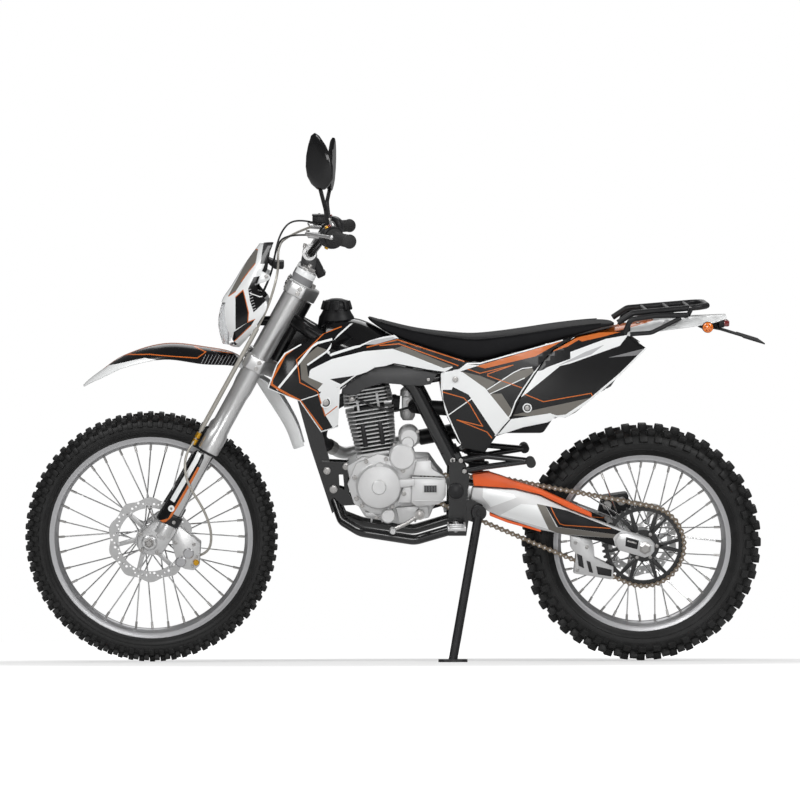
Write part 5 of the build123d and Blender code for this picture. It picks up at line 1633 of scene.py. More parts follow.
# ---------------------------------------------------------------- engine
@dataclass
class Engine:
    """The single-cylinder engine: cases with their covers, a leaning finned cylinder, head and starter."""

    cases: tuple[Point, ...] = ((-138, 552), (-96, 578), (90, 572), (112, 540), (130, 520), (130, 478),
        (100, 440), (88, 410), (6, 392), (-88, 412), (-120, 466))
    left: float = -78.0
    right: float = 84.0
    foot: Point = (-55.0, 578.5)
    lean: float = 9.0
    # x, z, y of its foot and radius of each cover bolt on the left
    cover_bolts: tuple = ((-85, 568, -92, 6), (-116, 523, -92, 6.5), (-111, 466, -92, 6.5),
        (-96, 446, -92, 5.5), (-57, 413, -84, 6), (-13, 443, -92, 5.5), (-31, 574, -92, 5.5),
        (16, 542, -92, 6), (62, 566, -84, 5.5), (84, 568, -84, 5.5), (40, 408, -80, 5.5))
    # name, outer face, inner face, bevel and side outline of the left covers
    left_slabs: tuple = (("flange", -92, -76, 3, ((-53, 588), (6, 574), (90, 572), (93, 550), (40, 525),
        (40, 462), (7, 446), (-53, 414), (-118, 450), (-136, 505), (-112, 562))),
        ("cog_cover_top", -106, -80, 3, ((44, 530), (132, 526), (94, 549), (92, 571), (52, 570), (46, 545))),
        ("cog_cover", -114, -96, 3.5, ((40, 524), (132, 521), (132, 474), (115, 452), (53, 444), (38, 456))),
        ("cog_cover_lip", -115.4, -112, 0.8, ((40, 463), (129, 463), (129, 460), (40, 460))),
        ("cog_cover_lip", -115.4, -100, 0.8, ((40, 527), (130, 524), (130, 521), (40, 524))),
        ("cover_lug", -119, -96, 3.2, ((-3, 519), (46, 523), (49, 503), (4, 497))),
        ("cover_arm", -108, -92, 2.5, ((16, 498), (40, 500), (38, 455), (0, 455))),
        ("window_rim", -116.2, -112, 1.2, ((70, 507), (110, 507), (110, 482), (70, 482))),
        ("lower_web", -92, -78, 2, ((-88, 428), (-40, 424), (-40, 416), (-84, 416))),
        ("lower_web", -90, -78, 3, ((-4, 440), (84, 446), (88, 412), (6, 396))))
    # name, x, z, steps and (radius, y) profile of the round pieces on the cases
    left_rounds: tuple = (("generator_cover", -50, 500, 96, ((0.5, -130), (17, -130), (19, -128.5),
        (20.5, -125.5), (50, -124), (57, -121), (60.5, -115), (61.5, -98), (64, -96), (64, -84), (0.5, -84))),
        ("timing_plug", -48.5, 553, 40, ((0.5, -118), (11, -118), (12.6, -116), (12.6, -96), (0.5, -96))),
        ("oil_filter_cap", -25, 418, 48, ((0.5, -112), (16, -112), (19, -109), (19.5, -84), (0.5, -84))),
        ("shift_knuckle", 62, 424, 40, ((0.5, -114), (11, -114), (13, -111), (13, -84), (0.5, -84))))
    starter_rounds: tuple = (("starter_cover", 13.5, 581, 64, ((0.5, -112), (31, -112), (35, -108),
        (36, -100), (36, -36), (0.5, -36))), ("starter_gear", 28.5, 618, 40,
        ((0.5, -104), (15, -104), (17, -101), (17, -60), (0.5, -60))),
        ("starter_drum", 33, 631, 56, ((0.5, -90), (22, -90), (27, -85), (28.5, -78), (28.5, 8), (0.5, 8))))
    right_rounds: tuple = (
        ("clutch_cover", 28, 500, 72, ((64, 102), (66, 110), (62, 124), (54, 130), (0.5, 131), (0.5, 102))),
        ("pump_cover", -70, 480, 72, ((40, 102), (40, 116), (36, 122), (0.5, 123), (0.5, 102))),
        ("kick_boss", 70, 446, 72, ((12, 100), (12, 112), (0.5, 112), (0.5, 100))))

    @property
    def own_axes(self) -> Matrix:
        """From the cylinder's own upright axes to its leaning place."""
        return Matrix.Translation((self.foot[0], 0, self.foot[1])) @ Matrix.Rotation(math.radians(-self.lean),
            4, "Y")

    def upright(self, piece: Piece) -> Piece:
        """Leans a piece that was drawn on the cylinder's own axes."""
        piece.data.transform(self.own_axes)
        return piece

    def blocks(self, name: str, finish: Finish, size: Point3, bevel: float, *places: Point3) -> list[Piece]:
        """Like blocks at places on the cylinder's own axes."""
        return [finish.on(self.upright(Shop.block(name, Vector(place), Vector(size), bevel=bevel)))
                for place in places]

    def fin(self, height: float, length: float, width: float, thick: float = 3.4) -> Piece:
        """One cooling fin with cut corners, rounded at its rim.

        Args:
            height: how high its middle lies.
            length: its size along the machine.
            width: its size across.
            thick: its thickness.

        Returns:
            The fin.
        """
        x, y, cut = length / 2, width / 2, 16.0
        corners = ((cut - x, -y), (x - cut, -y), (x, cut - y), (x, y - cut), (x - cut, y), (cut - x, y),
                   (-x, y - cut), (-x, cut - y))
        face = Shop.outline("fin", [Vector((x, y, height - thick / 2)) for x, y in corners])
        fin = Shop.extruded(face, Vector((0, 0, thick)))
        Shop.bevel(fin, 1.0, 2, 40)
        return FIN_METAL.on(self.upright(fin))

    def barrel(self) -> list[Piece]:
        """The cylinder's and the head's fins round their cores.

        Returns:
            The pieces.
        """
        made = self.blocks("core", SATIN_BLACK, (84, 84, 140), 8.0, (0, 0, 70))
        made += self.blocks("head", SATIN_BLACK, (108, 102, 46), 6.0, (0, 0, 168))
        made += [self.fin(18 + 11.0 * number, 112 + 2.2 * number, 116 + 1.2 * number) for number in range(11)]
        made += [self.fin(146 + 9.5 * number, 136 - 2.0 * number, 130) for number in range(5)]
        made += self.blocks("rib", FIN_METAL, (7, 8, 42), 1.5, *((x, y, 150) for x in (-30, 26) for y in (-58,
            58)))
        return made + self.blocks("slot", SATIN_BLACK, (13, 12, 74), 2.0,
                                  *((x, y, 66) for x in (-26, 22) for y in (-56, 56)))

    def head_cover(self) -> list[Piece]:
        """The rocker cover with its fins, bolts, plug cap and cam cover.

        Returns:
            The pieces.
        """
        made = self.blocks("rocker_cover", FIN_METAL, (82, 88, 18), 5.0, (4, 0, 199))
        made += self.blocks("cover_rib", FIN_METAL, (4, 84, 20), 1.4,
            *((-28 + 16 * number, 0, 200) for number in range(5)))
        for x in (-34, -8, 18, 40):
            for y in (-40, 40):
                made.append(Shop.bolt(self.own_axes @ Vector((x, y, 204)), self.own_axes.to_3x3() @ UP, 5.0,
                    6.0, 6))
        made += self.blocks("plug_cap", BOLT_STEEL, (17, 16, 15), 3.0, (-44, -60, 166))
        cover = Shop.lathe("cam_cover", [(0.5, -60), (20, -60), (24, -57), (24, -48), (0.5, -48)],
            (14, 0, 168), 32)
        return made + [SATIN_BLACK.on(self.upright(cover))]

    def plug_lead(self) -> Piece:
        """The black lead from the plug cap to the coil behind."""
        route = ((-113, -70, 737), (-62, -76, 716), (-6, -74, 703), (34, -60, 712), (62, -40, 724))
        return CABLE_BLACK.on(Shop.tube("plug_lead", route, 3.2, 26))

    def case_half(self) -> list[Piece]:
        """The crankcase with its centre joint and sump ribs.

        Returns:
            The pieces.
        """
        made = [Shop.slab("crankcase", self.cases, self.left, self.right, 5.0)]
        joint = [(x * 1.004 + 0.1, 488 + (z - 488) * 1.01) for x, z in self.cases]
        made.append(Shop.slab("joint", joint, -2.0, 2.0, 0.6))
        for x in (-70, -40, -10, 20, 50):
            made.append(Shop.block("sump_rib", (x, 0, 402), (5, 120, 14), bevel=1.2))
        made = [CAST_METAL.on(piece) for piece in made]
        return made + self.blocks("cylinder_base", CAST_METAL, (112, 112, 12), 3.0, (0, 0, 4))

    def rounds(self, rows: tuple) -> list[Piece]:
        """Cast round pieces from a table."""
        return [CAST_METAL.on(Shop.lathe(name, profile, (x, 0, z), steps))
                for name, x, z, steps, profile in rows]

    def left_covers(self) -> list[Piece]:
        """The covers on the left with their bolts, and the ribbed window over the small sprocket.

        Returns:
            The pieces.
        """
        made = [CAST_METAL.on(Shop.slab(name, side, outer, inner, bevel))
                for name, outer, inner, bevel, side in self.left_slabs]
        made += self.rounds(self.left_rounds)
        made += Shop.bolts([(18, 481)], -108, LEFT, 6.5, 3.0) + Shop.bolts([(62, 424)], -113, LEFT, 6.5, 3.0)
        glass = Shop.slab("window", [(73, 504), (107, 504), (107, 485), (73, 485)], -116.8, -114.0, 0.6)
        made.append(SATIN_BLACK.on(glass))
        for number in range(8):
            bar = Shop.block("bar", (75.5 + 4.2 * number, -117.2, 494.5), (1.4, 1.2, 17), bevel=0.3)
            made.append(GREY_PLASTIC.on(bar))
        return made + [Shop.bolt((x, y, z), LEFT, radius, 6.0) for x, z, y, radius in self.cover_bolts]

    def right_covers(self) -> list[Piece]:
        """The clutch cover, the oil pump cover and the kick shaft boss on the right.

        Returns:
            The pieces.
        """
        rim = ((-120, 540), (-60, 590), (30, 580), (80, 540), (96, 480), (60, 425), (-50, 415), (-118, 450))
        flange = CAST_METAL.on(Shop.slab("right_flange", rim, self.right - 2, 104.0, 5.0))
        bolts = Shop.bolts(((-112, 530), (-62, 578), (24, 570), (70, 534), (84, 480), (54, 434), (-46, 424),
            (-108, 456)), 103, RIGHT, 5.5, 5.0, 6)
        return [flange] + self.rounds(self.right_rounds) + bolts

    def gearbox_cog(self) -> Piece:
        """The small sprocket behind its cover.

        Returns:
            The sprocket.
        """
        side = []
        for cog in range(13):
            for share, reach in ((-0.25, 27.5), (0.0, 36.0), (0.25, 27.5)):
                turn = 2 * math.pi * (cog + share) / 13
                side.append((88 + reach * math.cos(turn), 497 + reach * math.sin(turn)))
        return BOLT_STEEL.on(Shop.slab("gearbox_cog", side, -76.0, -70.0, 0.6))

    def build(self) -> None:
        """Builds the engine and puts it in the frame."""
        cases = self.case_half() + self.left_covers() + self.right_covers() + [self.gearbox_cog()]
        Shop.seat("engine_dressed", cases, "chassis", "engine_block")
        bolts = Shop.bolts(((-18, 566), (-8, 612), (44, 560), (56, 648)), -84, LEFT, 5.0, 5.0, 6)
        Shop.seat("starter_dressed", self.rounds(self.starter_rounds) + bolts, "chassis", "starter_motor")
        Shop.seat("cylinder_dressed", self.barrel() + self.head_cover() + [self.plug_lead()], "chassis",
            "engine_cylinder")


# ---------------------------------------------------------------- steering
RAKE = math.radians(29.0)
HEAD = Vector((-283.014, 0.0, 1016.95))
FORK_UP = Vector((math.sin(RAKE), 0, math.cos(RAKE)))
FORK_AHEAD = Vector((-math.cos(RAKE), 0, math.sin(RAKE)))
FORK_SPREAD = 98.0
LEFT_LEG = -FORK_SPREAD
FORK_TURN = Matrix.Rotation(RAKE, 4, "Y") @ Matrix.Rotation(math.radians(90), 4, "Z")


def on_fork(down: float, y: float = 0.0, ahead: float = 0.0) -> Vector:
    """A place this far down the fork line, at that y, and ahead of the line."""
    return HEAD - FORK_UP * down + FORK_AHEAD * ahead + Vector((0, y, 0))


def from_head(x: float, y: float, z: float) -> Vector:
    """A place given as steps from the head anchor."""
    return HEAD + Vector((x, y, z))


def both(pieces: list[Piece]) -> list[Piece]:
    """Left-hand pieces with their mirror images."""
    return pieces + [Shop.mirrored(piece) for piece in pieces]


@dataclass
class Fork:
    """Outer tubes, lower legs with their axle lugs, and the guards in front of them."""

    outer: float = 27.0
    waist: float = 24.6
    inner: float = 21.5
    collar: float = 30.0
    top: float = -86.0
    bottom: float = 480.0
    leg_end: float = 752.0
    lug: tuple[Point, ...] = ((12, 57), (60, 62), (76, 32), (36, -30), (0, -36), (-32, -18), (-32, 18),
        (-14, 37))
    # of each section of the guard: how far down, its reach from the leg's line, and its first and last angle
    guard_rows: tuple = ((492, 26, -60, 78), (500, 30, -84, 92), (540, 31, -92, 98), (610, 31, -94, 98),
                         (650, 32, -94, 96), (684, 34, -94, 92), (702, 34, -84, 80), (707, 33, -74, 66))

    def outer_tube(self) -> list[Piece]:
        """The left outer tube with its seal, its cap and the wrap at its top.

        Returns:
            The pieces.
        """
        length, outer, collar = self.bottom - self.top, self.outer, self.collar
        top = on_fork(self.top, LEFT_LEG)
        made = Shop.turnings(top, -FORK_UP, ("outer_tube", SILVER_METAL, 64, (0, 0.4), (0, 23), (2, outer),
            (372, outer), (394, self.waist), (length - 66, self.waist), (length - 54, collar),
            (length - 2, collar), (length, collar - 2), (length, 0.4)))
        made += Shop.turnings(on_fork(self.bottom, LEFT_LEG), -FORK_UP,
                              ("seal", BLACK_PLASTIC, 48, (0, 0.4), (0, 27), (5, 26), (7, 23), (7, 0.4)))
        made += Shop.turnings(on_fork(self.top + 1, LEFT_LEG), FORK_UP,
                              ("cap", BOLT_STEEL, 6, (0, 0.4), (0, 20), (6, 21.5), (8, 21.5), (8, 0.4)))
        made += Shop.turnings(on_fork(self.top - 6, LEFT_LEG), FORK_UP,
                              ("knob", BOLT_STEEL, 20, (0, 0.4), (0, 7), (9, 6.5), (10, 0.4)))
        return made + Shop.turnings(top, -FORK_UP, ("wrap", WHITE_PLASTIC, 56, (6, outer), (6, 28), (7, 28.4),
            (43, 28.4), (44, 28), (44, outer)), ("label", GREY_PLASTIC, 56, (22, 28.4), (22, 28.8),
            (42, 28.8), (42, 28.4)))

    def lower_leg(self) -> list[Piece]:
        """The left inner leg, its lug, the black clamp piece and the bolts.

        Returns:
            The pieces.
        """
        made = Shop.turnings(on_fork(self.bottom, LEFT_LEG), -FORK_UP,
            ("inner_leg", CHROME, 56, (0, 0.4), (0, self.inner), (268, self.inner), (272, self.inner - 2),
            (272, 0.4)))
        made += Shop.slabs(FRONT_AXLE, ("axle_lug", SILVER_METAL, LEFT_LEG - 17, LEFT_LEG + 24, 6.0,
            *self.lug))
        made += Shop.turnings(on_fork(self.leg_end - 62, LEFT_LEG), -FORK_UP,
            ("lug_sleeve", SILVER_METAL, 48, (0, 0.4), (0, 25), (3, 27), (50, 28), (52, 0.4)))
        made += Shop.lathings(FRONT_AXLE, ("axle_boss", SILVER_METAL, 56, (0.5, -120), (17, -120), (21, -117),
            (25, -110), (25, -76), (0.5, -76)), ("axle_nut", BOLT_STEEL, 6, (0.5, -128), (10, -128),
            (13.5, -125), (13.5, -116), (0.5, -116)), ("axle_end", BOLT_STEEL, 28, (0.5, -131), (7, -131),
            (8, -129.5), (8, -120), (0.5, -120)))
        made += Shop.turnings(on_fork(self.leg_end - 74, LEFT_LEG), -FORK_UP, (
            "clamp_piece", SATIN_BLACK, 40, (0, 20), (0, 29), (2, 30.5), (26, 30.5), (28, 29), (28, 20)))
        made += Shop.bolts(((-24, 24), (-22, -20), (52, 42), (22, -28)), LEFT_LEG - 16, LEFT, 5.5, 5.0,
            at=FRONT_AXLE)
        return made + [Shop.bolt(on_fork(self.leg_end - 60, LEFT_LEG - 30, -12), LEFT, 5.0, 5.0)]

    def guard(self) -> list[Piece]:
        """The left guard: a curved shield before and beside the lower leg, with its bolt.

        Returns:
            The pieces.
        """
        sections = []
        for down, reach, first, last in self.guard_rows:
            turns = [math.radians(first + (last - first) * step / 14) for step in range(15)]
            sections.append([on_fork(down, LEFT_LEG - reach * math.sin(turn), 2 + reach * math.cos(turn))
                             for turn in turns])
        made = [GUARD_KIT.on(Shop.sheet(Shop.skin("guard", sections), 3.0, FORK_AHEAD, 0.9))]
        made += Shop.turnings(on_fork(662, LEFT_LEG - 30.5, 12), LEFT,
                              ("guard_ring", WHITE_PLASTIC, 32, (0, 3.5), (0, 9), (2.4, 8.4), (2.4, 4.2)))
        made.append(Shop.bolt(on_fork(662, LEFT_LEG - 30, 12), LEFT, 4.0, 2.0))
        pad = Shop.block("guard_pad", on_fork(690, LEFT_LEG, 23), (34, 16, 24), FORK_TURN, 3.0)
        return made + [BLACK_PLASTIC.on(pad)]

    def build(self) -> None:
        """Builds both sides and puts them on."""
        Shop.seat("fork_tubes_dressed", both(self.outer_tube()), "steering", "fork_upper_tubes")
        axle = Shop.lathings(FRONT_AXLE, ("front_axle", BOLT_STEEL, 32, (7, -124), (10, -124), (10, 124),
            (7, 124)))
        Shop.seat("fork_legs_dressed", both(self.lower_leg()) + axle, "steering", "fork_lower_legs")
        Shop.seat("fork_guards_dressed", both(self.guard()), "steering", "fork_guards")


@dataclass
class Clamps:
    """The two fork clamps, the stem and the handlebar risers."""

    plan: tuple[Point, ...] = ((-128, -20), (-128, 22), (-108, 34), (-80, 30), (-58, 16), (58, 16), (80, 30),
        (108, 34), (128, 22), (128, -20), (100, -34), (60, -36), (26, -60), (-26, -60), (-60, -36),
        (-100, -34))
    riser: tuple[Point, ...] = ((13, 33), (49, 13), (65, 103), (61, 129), (33, 133), (23, 103))

    def clamp(self, low: float, high: float) -> Piece:
        """A clamp between two places down the fork.

        Args:
            low: its first place down the fork.
            high: its last place down the fork.

        Returns:
            The clamp.
        """
        piece = Shop.outline("clamp", [on_fork(low, y, ahead) for y, ahead in self.plan])
        Shop.extruded(piece, FORK_UP * (low - high))
        Shop.bevel(piece, 4.0, 3)
        return piece

    def build(self) -> None:
        """Builds the clamps and puts them on."""
        made = []
        for low, high in ((-41.0, -5.0), (187.0, 227.0)):
            made.append(SILVER_METAL.on(self.clamp(low, high)))
            for down in (low + 11, high - 11):
                made += both([Shop.bolt(on_fork(down, -127.5, -6), LEFT, 6.0, 4.5)])
                made += both([Shop.bolt(on_fork(down, -74, 30), FORK_AHEAD, 6.0, 5.0)])
        made += Shop.turnings(on_fork(195, 0, -26), FORK_UP, ("stem", BOLT_STEEL, 32, (0, 0.4), (0, 14),
            (210, 14), (210, 0.4)))
        made += Shop.turnings(on_fork(-40, 0, -26), FORK_UP,
                              ("stem_nut", BOLT_STEEL, 6, (0, 0.4), (0, 20), (9, 20), (11, 18), (12, 0.4)))
        made += both(Shop.slabs(HEAD, ("riser", DARK_PLASTIC, -58, -30, 4.0, *self.riser)))
        bar = from_head(45, -44, 116)
        made += both(Shop.lathings(bar, ("bar_saddle", SILVER_METAL, 40, (11.4, -15), (19, -15), (20, -13),
            (20, 13), (19, 15), (11.4, 15))))
        for ahead in (-14, 14):
            made += both([Shop.bolt(bar + Vector((ahead, 0, 15)), (0.15, 0, 1), 4.5, 6.0, 6)])
        Shop.seat("clamps_dressed", made, "steering", "triple_clamps")


@dataclass
class Cockpit:
    """Handlebar, grips, controls, mirrors and the small dash."""

    side: tuple = ((45, -58, 116), (51, -110, 121), (87, -214, 173), (152, -400, 168))
    grip: float = 122.0

    def __post_init__(self) -> None:
        """Works out the bar's end line."""
        self.end = from_head(*self.side[3])
        self.line = (from_head(*self.side[2]) - self.end).normalized()
        self.switch = self.end + self.line * (self.grip + 1)
        self.perch = self.switch + self.line * 50

    def bar(self) -> None:
        """The bent bar."""
        left = [from_head(*place) for place in self.side]
        points = left[::-1] + [Vector((p.x, -p.y, p.z)) for p in left]
        bar = FRAME_PAINT.on(Shop.tube("bar", points, 11.0, 56.0, 6, 8))
        Shop.seat("handlebar_dressed", [bar], "steering", "handlebar", angle=50)

    def grips(self) -> None:
        """Ribbed rubber grips with flanges."""
        profile = [(0, 11.2), (0, 16), (3, 24), (7, 24), (9, 17.5)]
        for number in range(15):
            start = 14 + 7 * number
            profile += [(start, 17.2), (start + 1, 15.8), (start + 3, 15.8), (start + 4, 17.2)]
        profile += [(self.grip + 2, 17.5), (self.grip + 6, 19), (self.grip + 8, 17), (self.grip + 8, 0.4),
            (20, 0.4)]
        grip = Shop.turned("grip", profile, self.end + self.line * self.grip, -self.line, 40)
        Shop.seat("grips_dressed", both([GRIP_RUBBER.on(grip)]), "steering", "grips", angle=50)

    def controls(self) -> None:
        """Switch boxes with their buttons, perches, levers and the brake's reservoir."""
        made = Shop.turnings(self.switch, self.line, ("switch_box", SATIN_BLACK, 40, (0, 11.5), (0, 26),
            (3, 30), (15, 31), (16, 29.6), (18, 29.6), (19, 31), (31, 30), (34, 26), (34, 11.5)))
        for degrees, finish in ((60, GOLD_METAL), (76, RED_LENS), (300, GOLD_METAL)):
            way = Matrix.Rotation(math.radians(degrees), 3, self.line) @ UP.cross(self.line).normalized()
            made += Shop.turnings(self.switch + self.line * 12 + way * 29, way,
                                  ("button", finish, 20, (0, 0.4), (0, 5.5), (4.5, 5.2), (6, 4), (6, 0.4)))
        made += Shop.turnings(self.perch - self.line * 10, self.line, (
            "perch_clamp", SILVER_METAL, 32, (0, 11.5), (0, 18), (2, 20), (20, 20), (22, 18), (22, 11.5)))
        start = self.perch + Vector((-52, 0, 4))
        made.append(SILVER_METAL.on(Shop.rod("perch_neck", self.perch, start, 8.5, 20, 2.0)))
        made.append(Shop.bolt(start + UP * 7, UP, 5.5, 5.0, 6))
        tip = self.end + Vector((-50, 10, 10))
        route = Shop.path([start, start + Vector((-4, -40, 6)), tip], 30, 8)
        made.append(SILVER_METAL.on(Shop.tube("lever", route, 4.6, 1.0, 5, 2)))
        made += Shop.turnings(tip, (tip - route[-2]).normalized(),
                              ("lever_end", SILVER_METAL, 20, (0, 0.4), (2, 5), (7, 6.4), (12, 5), (14, 0.4)))
        made = both(made)
        brake = Vector((self.perch.x, -self.perch.y, self.perch.z))
        for name, rise, size, bevel in (("reservoir", 22, (38, 52, 22), 4.0),
                ("reservoir_lid", 34, (40, 54, 4), 1.4)):
            made.append(SATIN_BLACK.on(Shop.block(name, brake + Vector((-26, 4, rise)), size, None, bevel)))
        made += [Shop.bolt(brake + Vector((-26, y, 36)), UP, 3.0, 1.6) for y in (-18, 26)]
        Shop.seat("controls_dressed", made, "steering", "hand_controls")

    def mirror(self, top: Vector, turn: float, tilt: float) -> list[Piece]:
        """A left-hand mirror: its stem, its shell and its glass.

        Args:
            top: the top of the stem.
            turn: how far the shell is turned.
            tilt: how far the shell is tilted.

        Returns:
            The mirror's pieces.
        """
        foot = self.perch + self.line + Vector((2, 0, 20.2))
        stem = SATIN_BLACK.on(Shop.tube("stem", [foot, foot + Vector((-6, -10, 50)), top], 5.5, 30, 5, 8))
        nut = BOLT_STEEL.on(Shop.turned("stem_nut", [(0, 0.4), (0, 8), (9, 8), (9, 0.4)],
            foot - Vector((0, 0, 3)), UP, 6))
        rim = ((-14, 0), (-32, 12), (-44, 28), (-48, 62), (-42, 92), (-30, 118), (-10, 144), (2, 151),
            (14, 144), (28, 118), (38, 92), (44, 60), (42, 34), (30, 14), (10, 0))
        middle = Vector((0, 0, 70))
        sections = []
        for depth, share in ((-9, 0.30), (-8.6, 0.62), (-6, 0.90), (-1, 1.0), (4, 1.0), (7, 0.97)):
            sections.append([Vector((depth, 0, 0)) + middle + (Vector((0, y, z)) - middle) * share for y,
                z in rim])
        shell = GLOSS_BLACK.on(Shop.skin("mirror_shell", sections, closed=True))
        glass = Shop.outline("glass", [Vector((7.4, 0, 0)) + middle + (Vector((0, y,
            z)) - middle) * 0.91 for y, z in rim])
        CHROME.on(Shop.extruded(glass, BACK * 0.9))
        place = Matrix.Translation(top) @ Matrix.Rotation(math.radians(turn), 4, "Z") @ Matrix.Rotation(
            math.radians(tilt), 4, "Y")
        for piece in (shell, glass):
            piece.data.transform(place)
        return [stem, nut, shell, glass]

    def mirrors(self) -> None:
        """Both mirrors, each turned its own way."""
        left = self.mirror(self.end + Vector((-75, 112, 131)), 48, -8)
        right = self.mirror(self.end + Vector((-55, 100, 103)), 8, 4)
        for piece in right:
            piece.data.transform(Matrix.Diagonal((1, -1, 1, 1)))
            piece.data.flip_normals()
        Shop.seat("mirrors_dressed", left + right, "steering", "mirrors")

    def dash(self) -> None:
        """The small dash with a dark screen and two buttons."""
        turn = Matrix.Rotation(math.radians(-27), 4, "Y")
        body = Shop.block("dash", from_head(67, 0, 73), (24, 58, 52), turn, 4.0)
        screen = Shop.block("screen", from_head(67, 0, 73) + turn.to_3x3() @ Vector((12.2, 0, 6)),
            (1.4, 46, 28), turn, 0.6)
        made = [BLACK_PLASTIC.on(body), GLOSS_BLACK.on(screen)]
        for y in (-14, 14):
            spot = from_head(67, y, 73) + turn.to_3x3() @ Vector((12, 0, -17))
            made.append(GREY_PLASTIC.on(Shop.turned("key", [(0, 0.4), (0, 5), (2, 4.6), (2, 0.4)], spot,
                                               turn.to_3x3() @ BACK, 20)))
        Shop.seat("dash_dressed", made, "steering", "instrument")

    def build(self) -> None:
        """Builds the cockpit."""
        self.bar()
        self.grips()
        self.controls()
        self.mirrors()
        self.dash()


@dataclass
class FrontCaliper:
    """The two-pot front caliper with its carrier."""

    side: tuple[Point, ...] = ((58, 35), (78, 44), (139, -6), (134, -70), (118, -82), (92, -78), (74, -60),
        (62, -20))

    def build(self) -> None:
        """Builds it astride the disc."""
        made = Shop.slabs(FRONT_AXLE, ("caliper_outer", SILVER_METAL, -80, -63, 3.5, *self.side),
            ("caliper_inner", SILVER_METAL, -53, -38, 3.5, *self.side),
            ("caliper_bridge", SILVER_METAL, -64, -52, 1.0, (127, 4), (139, -6), (134, -70), (124, -78),
            (122, -40)))
        for x, z in ((84, -58), (105, -35)):
            made += Shop.lathings(FRONT_AXLE + Vector((x, 0, z)), ("pot", RIM_METAL, 40, (0.5, -84),
                (12, -84), (14.5, -82), (15.5, -78), (15.5, -70), (0.5, -70)))
        for x, z, radius in ((70, 30, 5), (120, -10, 5), (116, -70, 4.5), (128, -44, 4), (70, -6, 5)):
            made.append(Shop.bolt(FRONT_AXLE + Vector((x, -79.5, z)), LEFT, radius, 4.0, 6))
        made += Shop.lathings(FRONT_AXLE + Vector((126, 0, -60)), (
            "banjo", GOLD_METAL, 24, (0.5, -88), (6, -88), (8, -86), (8, -78), (0.5, -78)))
        Shop.seat("front_caliper_dressed", made, "steering", "front_caliper")


# ---------------------------------------------------------------- soft and curved bodywork
def hoses() -> None:
    """The front brake's hose with its sleeve and gold fitting, and the clutch and throttle cables."""
    beside, ahead = -FORK_SPREAD - 6, 44.0
    route = [from_head(48, 236, 174), from_head(-30, 150, 150), from_head(-44, 20, 118),
        from_head(-38, -90, 70)]
    route += [on_fork(down, beside, ahead) for down in (60, 140, 330, 462)] + [on_fork(520, beside - 14, 50)]
    route += [FRONT_AXLE + Vector(step) for step in ((101, -138, 171), (153, -128, 89), (172, -112, 20),
                                                     (160, -84, -34), (128, -66, -44))]
    hose = HOSE_GREY.on(Shop.swept("hose", route, 3.5, 3, True))
    sleeve = Shop.turned("sleeve", [(0, 3), (0, 5.4), (4, 6.2), (316, 6.2), (320, 5.4), (320, 3)],
                         on_fork(120, beside, ahead), -FORK_UP, 24)
    made = [hose, HOSE_GREY.on(sleeve)]
    for down in (446, 466):
        nut = Shop.turned("fitting", [(0, 3), (0, 7.5), (15, 7.5), (17, 5), (17, 3)],
            on_fork(down, beside, ahead), -FORK_UP, 12)
        made.append(GOLD_METAL.on(nut))
    Shop.seat("brake_hose_dressed", made, "steering", "brake_hose")
    left = [from_head(*step) for step in ((60, -236, 175), (-20, -150, 176), (-48, -60, 126), (-62, -30, 40),
                                          (-112, -24, -40))]
    right = [from_head(*step) for step in ((80, 236, 177), (4, 190, 206), (-44, 70, 160), (-60, 34, 40),
                                           (-112, 26, -50))]
    Shop.seat("cables_dressed", [CABLE_BLACK.on(Shop.swept("cable", side, 2.6, 3, True)) for side in (left,
        right)], "steering", "cables")


def resampled(rows: tuple[tuple[float, ...], ...], count: int) -> list[tuple[float, ...]]:
    """Rows set evenly along a smooth line through the first two columns.

    Args:
        rows: each with its place along the side plane first.
        count: how many rows are wanted.

    Returns:
        The new rows.
    """
    along = [0.0]
    for before, after in zip(rows, rows[1:]):
        along.append(along[-1] + math.hypot(after[0] - before[0], after[1] - before[1]))
    columns = list(zip(*rows))
    return [tuple(smooth(tuple(along), column, along[-1] * number / (count - 1)) for column in columns)
            for number in range(count)]


def rounded(share: float, power: float) -> float:
    """A share of a rounded box's half size, with its sign."""
    return math.copysign(abs(share) ** power, share)


def ring_section(x: float, low: float, high: float, half_low: float, half_high: float, power: float,
                 count: int = 28) -> list[Vector]:
    """A rounded cross section whose width changes with height.

    Args:
        x: its place along the machine.
        low: its lowest height.
        high: its greatest height.
        half_low: half the width at the bottom.
        half_high: half the width at the top.
        power: the power that shapes its corners.
        count: how many points it has.

    Returns:
        The section's points.
    """
    points = []
    for number in range(count):
        turn = 2 * math.pi * (number + 0.5) / count
        rise = rounded(math.sin(turn), power)
        half = half_low + (half_high - half_low) * (rise + 1) / 2
        points.append(Vector((x, half * rounded(math.cos(turn), power),
            (low + high) / 2 + (high - low) / 2 * rise)))
    return points


